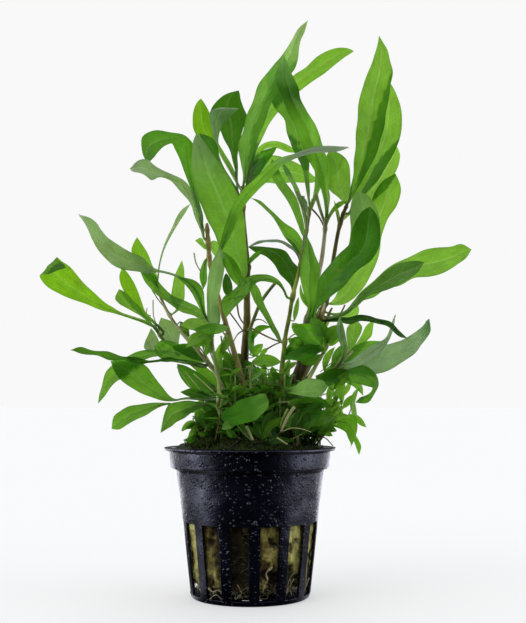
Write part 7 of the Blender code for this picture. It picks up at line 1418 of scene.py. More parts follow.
# ------------------------------------------------------------------ undergrowth
# single leaves low in the plant: what they grow from, tone, depths at base, middle and tip, base point,
# tip point, width in grid units, sideways bend as a part of the length
UNDER = [
    # left
    ("stem_centre", "mid", (None, 4.5, 4.5), (241, 287), (221.5, 251), 13, -0.03),
    # a very dark leaf set into the shadow gap behind the leaves in front: painted shade
    ("stem_centre", "deep", (None, 3.5, 3.5), (229, 298), (226, 273), 10, 0.0),
    ("stem_left_tall", "dark", (None, 7, 7), (219, 325), (215, 299), 6, 0.0),
    ("stem_centre", "dark", (None, -14, -15), (247, 190), (277, 147), 15, 0.12),
    ("stem_right_inner", "mid", (None, 7, 7), (294, 321), (298.5, 297), 5, 0.0),
    ("stem_right_mid", "bright", (None, 8, 8), (310, 309), (300.5, 284), 4, 0.1),
    ("stem_left_tall", "mid", (None, 11, 12), (229, 328), (193, 330), 11, 0.0),
    ("stem_left_main", "deep", (None, 3, 3), (181, 322), (188, 339), 9, 0.0),
    ("stem_left_front", "mid", (None, 11, 11), (211, 337), (205, 356), 7.5, 0.05),
    ("stem_left_tall", "bright", (None, 6, 6.5), (228, 332), (220, 354), 8.5, 0.08),
    ("undergrowth_left", "bright", (12, 12.5, 12.5), (219.5, 369), (219.8, 354.5), 6.8, 0.0),
    ("stem_left_tall", "mid", (None, 5.5, 6), (236, 364), (223, 350), 9, 0.1),
    ("undergrowth_left", "dark", (6, 6, 6), (216, 393), (177, 364), 18, 0.06),
    ("undergrowth_left", "mid", (3, 2, 1), (222, 396), (192, 362), 13, -0.05),
    ("stem_left_main", "dark", (None, 7, 7), (205, 361), (172, 347), 13, -0.1),
    ("undergrowth_left", "dark", (5, 6, 7), (241, 383), (217, 369), 9, 0.1),
    ("undergrowth_front", "mid", (6, 7, 8), (238, 390), (223, 379), 9, 0.0),
    ("undergrowth_left", "dark", (7, 8, 8), (230, 400), (220, 376), 9, 0.1),
    ("undergrowth_front", "dark", (12, 13, 13), (233, 403), (224, 390), 7, 0.0),
    ("undergrowth_left", "dark", (11, 12, 12), (218, 404), (202, 409), 9, -0.05),
    ("undergrowth_left", "deep", (12.5, 13.5, 14), (220, 414), (203, 421), 13, -0.05),
    ("undergrowth_left", "mid", (8, 9, 10), (207, 411), (194, 424), 8.5, 0.1),
    ("undergrowth_left", "bright", (8, 10, 11), (204, 405), (182, 409), 6.5, 0.12),
    ("undergrowth_left", "bright", (8, 10, 11), (204, 400), (195, 411), 6, -0.1),
    ("undergrowth_left", "bright", (10, 12, 13), (197, 427), (189, 441), 8, 0.0),
    ("undergrowth_left", "mid", (10, 11, 12), (200, 424), (181, 431), 6, -0.2),
    ("undergrowth_left", "dark", (8, 8, 8), (208, 437), (199, 417), 9, 0.1),
    ("undergrowth_left", "mid", (12, 12.5, 13), (214, 438), (206, 425), 8.5, 0.0),
    ("undergrowth_left", "dark", (13, 13.5, 14), (223, 439), (215, 423), 9.5, 0.0),
    ("undergrowth_left", "mid", (9, 9.5, 10), (203, 440), (196, 428), 6.5, 0.1),
    ("undergrowth_front", "dark", (17, 19, 20), (237, 437), (226, 428), 7, 0.1),
    # middle
    ("undergrowth_back", "deep", (-4, -5, -6), (247, 374), (238, 353), 13, 0.0),
    ("undergrowth_back", "deep", (-2, -3, -3), (253, 384), (245, 360), 13, -0.1),
    ("stem_centre", "mid", (None, -4, -3), (253, 357), (263, 344), 9, 0.1),
    ("stem_centre", "bright", (None, -4, -4), (260, 355), (268, 348), 5, 0.0),
    ("stem_centre", "dark", (None, -4, -4), (251, 354), (251, 327), 6.5, 0.0),
    ("stem_centre", "dark", (None, -3, -2), (252, 342), (272, 327), 7, 0.25),
    ("undergrowth_front", "mid", (3, 4, 5), (252, 362), (281, 362), 13, 0.04),
    ("undergrowth_front", "mid", (4, 4, 4), (262, 386), (264, 363), 8, 0.0),
    ("undergrowth_front", "dark", (2, 2, 2), (271, 386), (257, 366), 9, 0.1),
    ("undergrowth_front", "mid", (3, 3, 3), (259, 390), (254, 373), 6.5, 0.1),
    ("undergrowth_front", "dark", (2, 1, 1), (277, 394), (272, 366), 11, 0.0),
    ("undergrowth_front", "mid", (4, 4, 4), (283, 386), (290, 359), 9.5, 0.05),
    ("undergrowth_front", "deep", (1, 0, 0), (287, 396), (297, 370), 11, 0.0),
    ("undergrowth_front", "dark", (10, 9, 8), (287, 393), (287, 374), 10, 0.0),
    ("undergrowth_front", "deep", (5, 4, 4), (262, 404), (257, 384), 11, 0.0),
    ("undergrowth_front", "deep", (5, 4, 4), (273, 406), (266, 384), 11, 0.05),
    ("undergrowth_front", "deep", (9, 8, 7), (276, 416), (263, 396), 14, 0.0),
    ("undergrowth_front", "deep", (9, 9, 9), (250, 400), (236, 392), 8, 0.0),
    ("undergrowth_front", "bright", (10, 11, 12), (250, 389.5), (228, 393.5), 9, -0.05),
    ("undergrowth_front", "dark", (14, 16, 17), (277, 411), (263, 431), 13, -0.03),
    ("undergrowth_front", "deep", (17, 18, 18), (274, 441), (271, 426), 9, 0.0),
    ("undergrowth_front", "mid", (15, 16, 16.5), (227, 396), (223, 405.5), 7, 0.0),
    ("undergrowth_front", "mid", (22, 23, 23), (236, 423), (222, 429.5), 9, -0.1),
    ("undergrowth_front", "dusk", (18, 18.5, 18), (302, 434), (309, 413), 10, 0.0),
    ("undergrowth_front", "dark", (12, 11, 11), (288, 434), (289, 409), 10, 0.0),
    ("undergrowth_front", "deep", (14, 14, 14), (254, 440), (240, 426), 10, 0.0),
    ("undergrowth_front", "dark", (15, 15, 15), (262, 440), (254, 424), 9, 0.0),
    # right
    ("stem_right_inner", "dark", (None, 9, 9), (284, 361), (291, 343), 6.5, 0.0),
    ("undergrowth_right", "bright", (5, 6, 7), (285, 369), (297, 362), 6, 0.0),
    ("stem_pale_right", "bright", (None, 15.5, 16), (325, 354), (323.5, 336), 5, 0.1),
    ("stem_pale_right", "bright", (None, 9, 8), (330, 342), (317, 321), 15, 0.05),
    ("stem_lower_right", "mid", (None, 7, 6), (331, 372), (345, 350), 10, 0.0),
    ("stem_lower_right", "bright", (None, 6, 5), (324, 371), (335, 347), 7, 0.1),
    ("stem_lower_right", "dark", (None, 11, 12), (316, 379), (351, 371), 12, 0.0),
    ("stem_lower_right", "bright", (None, 12, 12), (334, 389), (354, 372), 10, 0.08),
    ("stem_lower_right", "dark", (None, 5, 3), (328, 379), (349, 362), 10, 0.0),
    ("undergrowth_right", "bright", (7, 8, 8), (342, 404), (345, 383), 6, 0.08),
    ("undergrowth_right", "mid", (6, 6, 6), (334, 403), (341, 383), 6.5, 0.0),
    ("undergrowth_right", "mid", (4, 4, 4), (328, 402), (333, 381), 7.5, 0.0),
    ("undergrowth_right", "bright", (3, 3, 2), (338, 398), (351, 379), 5.5, -0.1),
    ("undergrowth_right", "bright", (12, 13, 13), (320, 403), (335, 400), 5.5, 0.0),
    ("undergrowth_right", "mid", (18, 19, 18.5), (288, 403.5), (307, 405), 10, 0.05),
    ("undergrowth_right", "dark", (17.5, 19, 17), (294, 407), (330, 405), 15, 0.1),
    ("undergrowth_right", "dark", (17.5, 18.5, 15), (298, 430), (322, 407), 15, 0.0),
    ("undergrowth_right", "mid", (12, 13, 12), (307, 433), (331, 410), 14, 0.05),
    ("undergrowth_right", "dusk", (18, 19, 18), (295, 436), (299, 411), 12, 0.0),
    ("undergrowth_right", "mid", (10, 12, 12), (318, 434), (334, 415), 9, -0.1),
    ("undergrowth_right", "dark", (9, 11, 12), (320, 425), (337, 431), 7.5, 0.0),
    ("undergrowth_right", "dark", (14, 14, 14), (302, 433), (323, 427), 8, 0.1),
    ("undergrowth_right", "deep", (8, 7, 6), (300, 436), (296, 412), 11, 0.0),
    ("undergrowth_right", "deep", (7, 6, 5), (312, 438), (318, 414), 13, 0.0),
    ("undergrowth_right", "bright", (5, 6, 7), (331, 413), (343, 401), 6, 0.1),
    ("undergrowth_right", "mid", (4, 4, 3), (343, 408), (353, 395), 7, 0.0),
    ("undergrowth_right", "bright", (8, 9, 9), (330, 423), (352, 418), 6, 0.2),
    ("undergrowth_right", "mid", (6, 6, 6), (325, 414), (338, 396), 8, 0.0),
    ("sprig_right", "bright", (0, 1, 0), (356, 421), (354, 400), 5.5, 0.05),
    ("sprig_right", "mid", (-1, -2, -4), (351, 409), (358, 388), 5.5, 0.05),
    ("sprig_right", "mid", (-2, -3, -3), (343, 420), (337, 405), 6, 0.0),
    ("stem_pale_right", "bright", (None, 15, 15), (328, 344), (339, 325), 14, 0.08),
    ("stem_pale_right", "mid", (None, 15, 14), (327, 346), (311, 317), 16, -0.04),
    ("stem_right_mid", "mid", (None, 6, 6), (305, 337), (292, 323), 11, 0.0),
    ("stem_right_mid", "dark", (None, 7, 7), (302, 351), (284, 353), 11, 0.0),
    ("stem_right_mid", "mid", (None, 9, 9), (304, 345), (288, 339), 10, 0.08),
    ("stem_pale_right", "dark", (None, 13, 13), (322, 355), (300, 362), 10, 0.1),
    ("stem_lower_right", "mid", (None, 9, 8), (334, 371), (345, 343), 11, 0.05),
    ("stem_lower_right", "mid", (None, 8, 8), (330, 376), (349, 380), 11, -0.05),
    ("stem_right_back", "bright", (None, -3, -3), (312, 334), (330, 318), 11, 0.0),
    ("stem_left_front", "bright", (None, 11.5, 11), (214, 335), (189, 345), 12, 0.0),
    ("stem_left_front", "mid", (None, 10, 9), (214, 353), (203, 340), 9, 0.0),
    ("stem_left_front", "bright", (None, 9, 8), (217, 372), (226, 339), 9, 0.08),
    ("undergrowth_left", "dusk", (4, 4, 4), (238, 386), (226, 352), 14, 0.05),
    ("undergrowth_left", "dark", (2, 2, 2), (232, 380), (214, 358), 12, -0.05),
    ("stem_left_main", "mid", (None, 5, 5), (200, 354), (189, 338), 9, 0.05),
    ("stem_left_main", "bright", (None, 4, 3), (178, 328), (190, 336), 7, 0.0),
    ("undergrowth_front", "mid", (17, 18, 18), (283, 428), (302, 413), 12, 0.0),
    ("undergrowth_right", "mid", (16, 17, 15), (312, 425), (331, 418), 10, 0.05),
    ("stem_pale_right", "dark", (None, 9, 9), (320, 350), (290, 339), 15, 0.0),
    ("stem_lower_right", "mid", (None, 6, 5), (322, 378), (341, 361), 9, 0.0),
    ("stem_lower_right", "dark", (None, 12, 12), (314, 384), (341, 378), 11, 0.0),
    ("undergrowth_right", "bright", (10, 11, 11), (331, 418), (346, 406), 6, 0.1),
    ("undergrowth_right", "bright", (9, 10, 10), (328, 412), (339, 404), 5, -0.1),
    ("undergrowth_right", "dark", (17.5, 18.5, 18.5), (299, 423), (323, 402), 17, 0.0),
    ("undergrowth_left", "mid", (8, 9, 9), (233, 398), (218, 388), 9, 0.0),
    ("undergrowth_left", "mid", (9, 9, 9), (243, 396), (232, 382), 9, 0.1),
]
# tufts: leaves that lie in the shade of the others, in darker tones as painted shade
TUFT_PAINTED_SHADE_TONES = {("undergrowth_front", 2): "deep", ("undergrowth_front", 0): "dark"}
UNDER_TOP = [(185, 426), (195, 406), (205, 384), (215, 368), (225, 358), (240, 354), (256, 356), (270, 362), (285, 364), (300, 374), (318, 372), (330, 362), (342, 372), (350, 396), (356, 412)]


def under_top(gx):
    for (x0, y0), (x1, y1) in zip(UNDER_TOP, UNDER_TOP[1:]):
        if gx <= x1:
            return y0 + (y1 - y0) * (gx - x0) / (x1 - x0)
    return UNDER_TOP[-1][1]


def to_grid(p):
    dx, dy, dz = p.x - VIEW_X, p.y + VIEW_DIST, p.z - VIEW_Z
    c, s = math.cos(VIEW_TILT), math.sin(VIEW_TILT)
    f = dy * c + dz * s
    return GRID_CX + GRID_F * dx / f, GRID_CY - GRID_F * (-dy * s + dz * c) / f


def outline(base, tip, width, bend):
    """Stations of an oval leaf along a bent axis, left-hand edge first, and the tip."""
    ax, ay = tip[0] - base[0], tip[1] - base[1]
    ln = math.hypot(ax, ay)
    nx, ny = ay / ln, -ax / ln
    st = []
    for t, w in ((0.0, 0.16), (0.12, 0.55), (0.28, 0.90), (0.46, 1.0), (0.64, 0.90), (0.80, 0.66), (0.92, 0.34)):
        off = bend * ln * 4 * t * (1 - t)
        cx, cy = base[0] + ax * t + nx * off, base[1] + ay * t + ny * off
        h = width * w / 2
        st.append((cx + nx * h, cy + ny * h, cx - nx * h, cy - ny * h))
    return st + [tip]


def make_undergrowth():
    parts = {n: Batch() for n in TUFTS}
    tones = ["bright", "mid", "dark", "deep", "dusk"]
    mats = [LEAF_MATS["low_" + t][0] for t in tones] + [STEM_MATS["green"], STEM_MATS["brown"], STEM_MATS["pale"]] + [RIB_MATS[t] for t in tones]
    for name, tuft in TUFTS.items():
        gx, gy, d, r = tuft["foot"]
        c = at(gx, gy, d)
        foot = Vector((c.x, c.y, moss_top(c.x, c.y) - 0.4))
        for i, leaf in enumerate(tuft["leaves"]):
            leaf = dict(leaf, d=(d, leaf["d"][1], leaf["d"][2]))
            v, f, uv, nb = blade(leaf, (at(gx, gy, d), r, gx, gy, d), 300 + i, rows=16, across=8, ruffle=0.1, rib0=0.2)
            tone = tones.index(TUFT_PAINTED_SHADE_TONES.get((name, i), leaf["tone"]))
            parts[name].add(v, f, uv, tone, nb, 8 + tone)
            root = v[0]
            path = spline([foot, foot.lerp(v[4], 0.55) + Vector((0, 0, 0.3)), v[4]], 8)
            tv, tf, tuv = tube_points(path, [0.3] * 8, 6)
            parts[name].add(tv, tf, tuv, 5)
    turn = random.Random(9)
    for i, (name, tone, d, base, tip, width, bend) in enumerate(UNDER):
        tilt = turn.uniform(-1.0, 1.4)
        leaf = dict(d=d, e=(0, tilt, tilt * 0.5), fold=turn.uniform(0.08, 0.2), tone=tone, st=outline(base, tip, width, bend))
        on_stem = name in STEMS
        start = stem_spot(name, *base) if on_stem else None
        if name not in parts:
            parts[name] = Batch()
        v, f, uv, nb = blade(leaf, start, 400 + i, rows=18, across=8, ruffle=0.14, rib0=0.2)
        parts[name].add(v, f, uv, tones.index(tone), nb, 8 + tones.index(tone))
        if on_stem:
            continue
        foot = (v[0] + v[8]) / 2
        gx, gy = foot.x * 0.9, foot.y * 0.9
        c = at(303, 438, 7) if name == "undergrowth_right" else at(*TUFTS[name]["foot"][:3])
        gx, gy = gx + (c.x - gx) * 0.6, gy + (c.y - gy) * 0.6
        if math.hypot(gx, gy) > 23.5:
            k = 23.5 / math.hypot(gx, gy)
            gx, gy = gx * k, gy * k
        root = Vector((gx, gy, moss_top(gx, gy) - 0.5))
        if name == "sprig_right":
            root = at(345, 419, 1.5)
        path = spline([root, root.lerp(foot, 0.6) + Vector((0, 0, -0.6)), foot], 10)
        tv, tf, tuv = tube_points(path, [0.28 - 0.012 * k for k in range(10)], 6)
        parts[name].add(tv, tf, tuv, 3 if name == "undergrowth_right" else 5)
    rng = random.Random(77)
    made = 0
    tries = 0
    while made < 230 and tries < 12000:
        tries += 1
        a = rng.uniform(0, 2 * math.pi)
        r = 21.5 * math.sqrt(rng.random())
        x, y = r * math.sin(a), -r * math.cos(a)
        if -y > 15:
            continue
        z0 = moss_top(x, y)
        root = Vector((x, y, z0 - 0.6))
        high = rng.uniform(3.0, 22.0)
        top = root + Vector((x * 0.10 + rng.uniform(-2.5, 2.5), y * 0.10 + rng.uniform(-2.5, 2.5), high))
        gx, gy = to_grid(top)
        if gx < 188 or gx > 348 or gy < under_top(gx) + 6:
            continue
        low = to_grid(root)
        if low[0] > 300 and -y > 9:
            continue
        name = "undergrowth_front" if -y > 6 else "undergrowth_back" if y > 6 else "undergrowth_left" if x < 4 else "undergrowth_right"
        path = spline([root, root.lerp(top, 0.5) + Vector((rng.uniform(-0.8, 0.8), rng.uniform(-0.8, 0.8), 0)), top], 9)
        v, f, uv = tube_points(path, [0.34 - 0.02 * k for k in range(9)], 6)
        parts[name].add(v, f, uv, 5 if rng.random() < 0.7 else 6)
        turn = rng.uniform(0, 6.28)
        # sprigs at the back take the darkest tones, as painted shade; one in five of the others takes them at random
        deep = y > 4 or rng.random() < 0.2
        pairs = 2 + int(high / 6)
        for k in range(pairs):
            t = 0.35 + 0.65 * k / max(pairs - 1, 1)
            p = path[min(int(t * 8), 8)]
            turn += math.pi / 2 + rng.uniform(-0.4, 0.4)
            for side in (0, math.pi):
                ang = turn + side + rng.uniform(-0.25, 0.25)
                rise = rng.uniform(0.05, 0.9)
                dr = Vector((math.cos(ang), math.sin(ang), rise))
                ln = rng.uniform(2.8, 7.4) * (0.75 if k == pairs - 1 else 1.0)
                tip = to_grid(p + dr.normalized() * ln)
                if tip[0] < 184 or tip[0] > 354 or tip[1] < under_top(tip[0]):
                    continue
                if math.hypot((p + dr.normalized() * ln).x, (p + dr.normalized() * ln).y) > 31:
                    continue
                v, f, uv, nb = free_leaf(p, dr, ln, ln * rng.uniform(0.36, 0.52), rng.uniform(0.0, 0.35), rng.uniform(-0.6, 0.6), made * 7 + k)
                tone = rng.choice((3, 4, 4, 2)) if deep else rng.choice((2, 2, 2, 1, 1, 4, 0))
                parts[name].add(v, f, uv, tone, nb, 8 + tone)
        made += 1
    for name, b in parts.items():
        obj = b.make(name + ("_low_leaves" if name in STEMS else "_leaves"), mats, "leaf_shaded", [name])
        SHADED.append((obj, 0.66 if name in STEMS else 0.86))


def shade_leaves():
    """Stores how much light from behind still reaches each point of the leaves."""
    verts, faces, owner = [], [], []
    for k, (obj, low) in enumerate(SHADED):
        o = len(verts)
        verts += [v.co / MM for v in obj.data.vertices]
        for f in obj.data.polygons:
            faces.append([i + o for i in f.vertices])
            owner.append(k)
    tree = BVHTree.FromPolygons(verts, faces)
    rays = [Vector((0.0, 1.0, 0.08)), Vector((0.38, 1.0, 0.25)), Vector((-0.38, 1.0, 0.25))]
    rays = [r.normalized() for r in rays]
    o = 0
    for k, (obj, low) in enumerate(SHADED):
        mesh = obj.data
        ca = mesh.color_attributes.new("shade", "FLOAT_COLOR", "POINT")
        flat = []
        for i in range(len(mesh.vertices)):
            p = verts[o + i]
            total = 0.0
            for r, share in zip(rays, (0.88, 0.06, 0.06)):
                q = p + r * 0.6
                gone, light = 0.6, 1.0
                for _ in range(3):
                    hit, nor, face, dist = tree.ray_cast(q, r, 60.0 - gone)
                    if hit is None:
                        break
                    gone += dist
                    if owner[face] != k or gone > 3.5:
                        light *= 0.22 + 0.6 * smooth(22.0, 55.0, gone)
                    q = hit + r * 0.25
                    gone += 0.25
                    if gone > 59.0:
                        break
                total += light * share
            total = low + (1 - low) * total
            flat += [total, total, total, 1.0]
        ca.data.foreach_set("color", flat)
        o += len(mesh.vertices)


# ------------------------------------------------------------------ loose strands
STRANDS = [
    ("stem_left_main", 1, 0.22, [(152, 290, 0), (160, 302, 1), (172, 315, 2)]), ("stem_left_main", 0, 0.20, [(172, 318, 2), (178, 327, 3), (184, 335, 4)]),
    ("stem_left_main", 2, 0.24, [(190, 343, 8), (198, 352, 9), (207, 363, 9.5)]), ("stem_left_front", 2, 0.16, [(177, 367, 8), (184, 377, 9), (191, 388, 10)]),
    ("stem_left_front", 2, 0.16, [(185, 371, 9), (192, 380, 10), (201, 391, 11)]), ("stem_left_front", 2, 0.20, [(194, 374, 10), (204, 383, 11), (215, 393, 12.5)]),
    ("stem_left_low", 1, 0.20, [(153, 300, -3), (154, 318, -3), (160, 331, -2)]), ("stem_left_tall", 2, 0.26, [(194, 253, 4), (196, 263, 4), (201, 272, 3)]),
    ("stem_left_low", 2, 0.18, [(147, 308, -3), (147, 314, -3), (151, 316, -3)]),
    ("undergrowth_front", 2, 0.50, [(294.5, 407, 21.5), (290, 413, 22), (285, 422, 22.3), (281, 432, 22.3)]),
    ("undergrowth_front", 1, 0.42, [(288, 409, 21.8), (283.5, 418, 22), (280, 428, 22)]),
    ("undergrowth_front", 2, 0.20, [(283, 431.5, 22.5), (290, 428.5, 22.8), (299, 428.5, 22), (311, 432, 20)]),
    ("undergrowth_right", 0, 0.22, [(315, 443, 12), (316, 438, 12.5), (321, 436.5, 13), (326, 438.5, 12), (330, 442.5, 11), (333, 446, 10)]),
    ("sprig_right", 1, 0.32, [(320, 436, -4), (327, 429, -3), (336, 423, 0), (345, 419, 1.5)]),
    ("stem_right_inner", 2, 0.30, [(302, 333, 8), (294, 334.5, 8.5), (287, 340, 8)]),
    ("stem_lower_right", 2, 0.42, [(334, 371, 9), (342, 362, 9.5), (353, 351, 9)]), ("stem_lower_right", 2, 0.38, [(333, 372, 9), (341, 359, 9.5), (349, 349, 9.5)]),
    ("stem_lower_right", 1, 0.40, [(331, 374, 9), (342, 368, 10), (352, 362, 10)]),
    ("stem_left_main", 0, 0.26, [(192, 345, 6.5), (199, 352, 7.5), (207, 363, 8)]), ("stem_left_main", 0, 0.24, [(195, 342, 7), (203, 352, 8), (209, 364, 8)]),
    ("stem_left_front", 2, 0.26, [(202, 344, 9), (205, 353, 9.5), (213, 366, 11)]), ("stem_left_front", 1, 0.26, [(209, 340, 10), (210, 350, 10.5), (215, 366, 11.8)]),
    ("stem_left_tall", 2, 0.30, [(225, 333, 6), (227, 345, 5.5), (233, 359, 4)]), ("stem_left_tall", 1, 0.28, [(221, 336, 7), (223, 348, 6.5), (233, 365, 4)]),
    ("stem_left_tall", 2, 0.26, [(223, 332, 6), (229, 342, 5.5), (235, 358, 4)]),
    ("stem_left_front", 1, 0.30, [(216, 369, 12), (228, 369, 10), (234, 373, 8), (240, 379, 5)]),
    ("undergrowth_front", 2, 0.28, [(246, 367.5, 8), (250, 366, 8), (250.5, 376, 8), (250, 388, 8.5), (251, 398, 9)]),
    ("stem_centre", 0, 0.34, [(247, 326, -5), (253, 329, -2), (262, 334, 2), (275, 340, 6), (284, 343, 8)]),
    ("stem_right_inner", 0, 0.28, [(267, 349, 0), (276, 344, 5), (284, 341, 8)]),
    ("stem_branch", 0, 0.24, [(252, 323, -3.5), (257, 319.5, -3), (262, 320, -2.5), (267, 323.5, -2)]),
    ("stem_centre", 0, 0.30, [(237, 304, -3), (239.5, 317, -4), (246, 327, -5)]), ("stem_centre", 0, 0.28, [(230, 313, -1), (238, 324, -3.5), (245, 334, -5.5)]),
    ("stem_centre", 0, 0.26, [(246, 329, -5), (238, 334, -1), (232, 345, 4)]),
    ("stem_left_front", 1, 0.42, [(221, 393, 14), (218, 402, 15.5), (216.5, 407, 16), (220, 412, 16), (222.5, 417, 15)]),
    ("undergrowth_front", 2, 0.34, [(278, 402.5, 14), (286, 402, 15.5), (292.5, 401.5, 17)]),
    ("stem_lower_right", 1, 0.50, [(316, 377, 8.5), (330, 370, 9.5), (342, 363, 9.5)]),
    ("undergrowth_left", 1, 0.20, [(182, 431, 10), (190, 427, 10), (198, 423, 9)]),
    ("stem_right_inner", 1, 0.50, [(296, 190, 3), (301, 204, 3), (308, 222, 3)]), ("stem_right_inner", 1, 0.52, [(303, 196, 3.5), (305, 212, 3.5), (307.5, 226, 3)]),
    ("stem_right_inner", 1, 0.50, [(313, 199, 3), (310, 211, 3), (307.5, 224, 3)]),
    ("stem_right_mid", 1, 0.60, [(316, 194, 4), (319.5, 207, 3), (325, 224, 1.5)]), ("stem_right_mid", 2, 0.55, [(326.5, 192, 4), (327, 206, 3), (325.5, 224, 1.5)]),
    ("stem_right_mid", 1, 0.45, [(334, 208, 2), (330, 214, 2), (326, 225, 1.5)]), ("stem_right_mid", 0, 0.34, [(312, 209, 1), (319, 217, 1), (325, 229, 1)]),
    ("stem_right_back", 0, 0.40, [(335.5, 207, -5), (337, 214, -5), (339, 226, -5)]),
    ("stem_right_back", 0, 0.30, [(345, 305, -4), (340, 314, -4), (328, 321, -3)]),
    ("stem_right_back", 0, 0.60, [(311, 327, 0), (311, 320, 1.5), (314, 311, 2)]), ("stem_right_back", 2, 0.50, [(315, 327, 0.5), (316, 319, 1.5), (319, 310, 1.5)]),
    ("stem_right_back", 0, 0.55, [(320, 327, 0), (321, 319, 1), (325, 310, 0)]), ("stem_right_back", 0, 0.50, [(325, 325, -1), (327, 318, -1), (332, 308, -2)]),
    ("stem_right_back", 0, 0.45, [(306, 329, 0), (308, 321, 1), (308, 312, 2)]), ("stem_right_back", 2, 0.40, [(318, 326, 0), (321.5, 314, 0.5), (325, 303, -1.5)]),
    ("stem_right_mid", 0, 0.75, [(296, 384, -1), (302, 370, 0), (309, 356, 0)]), ("stem_right_mid", 0, 0.70, [(300, 384, -1), (307, 372, -0.5), (314, 358, -0.5)]),
    ("stem_right_mid", 0, 0.65, [(304, 385, 0), (311, 373, 0.5), (319, 360, 0.5)]), ("stem_right_mid", 0, 0.60, [(293, 381, 0), (296, 369, 1), (303, 355, 1.5)]),
    ("stem_right_mid", 0, 0.55, [(299, 382, 1), (305, 368, 1.5), (311, 353, 1.5)]), ("stem_right_mid", 2, 0.30, [(302, 381, 1.8), (309, 369, 2), (316, 356, 2)]),
    ("stem_right_back", 0, 0.50, [(313, 327, 1), (318, 319, 2), (325, 310, 1.5)]), ("stem_right_back", 0, 0.42, [(317, 327, 1.2), (323, 320, 1.0), (330, 315, -1)]),
    ("stem_right_back", 2, 0.36, [(309, 328, 1), (312, 320, 2), (318, 312, 2.4)]),
    ("undergrowth_right", 1, 0.20, [(312, 358, 6), (308, 368, 6), (305, 380, 6)]), ("undergrowth_right", 2, 0.22, [(318, 360, 7), (313, 370, 7), (309, 380, 7)]),
    ("stem_lower_right", 1, 0.22, [(342, 366, 6), (330, 371, 6), (316, 378, 5)]), ("stem_lower_right", 0, 0.20, [(338, 358, 5), (330, 364, 5), (320, 372, 4)]),
]


def make_strands():
    groups = {}
    for node, look, w, pts in STRANDS:
        groups.setdefault(node, []).append((look, w, pts))
    for node, items in groups.items():
        b = Batch()
        for look, w, pts in items:
            path = spline([at(*p) for p in pts], 18)
            v, f, uv = tube_points(path, [w * (1 - 0.3 * i / 18) for i in range(18)], 6)
            b.add(v, f, uv, look)
        b.make(node + "_strands", [STEM_MATS["brown"], STEM_MATS["green"], STEM_MATS["pale"]], "stem", [node])


make_pot()
make_wool()
make_roots()
make_moss()
make_stems()
make_leaves()
make_undergrowth()
make_strands()
shade_leaves()


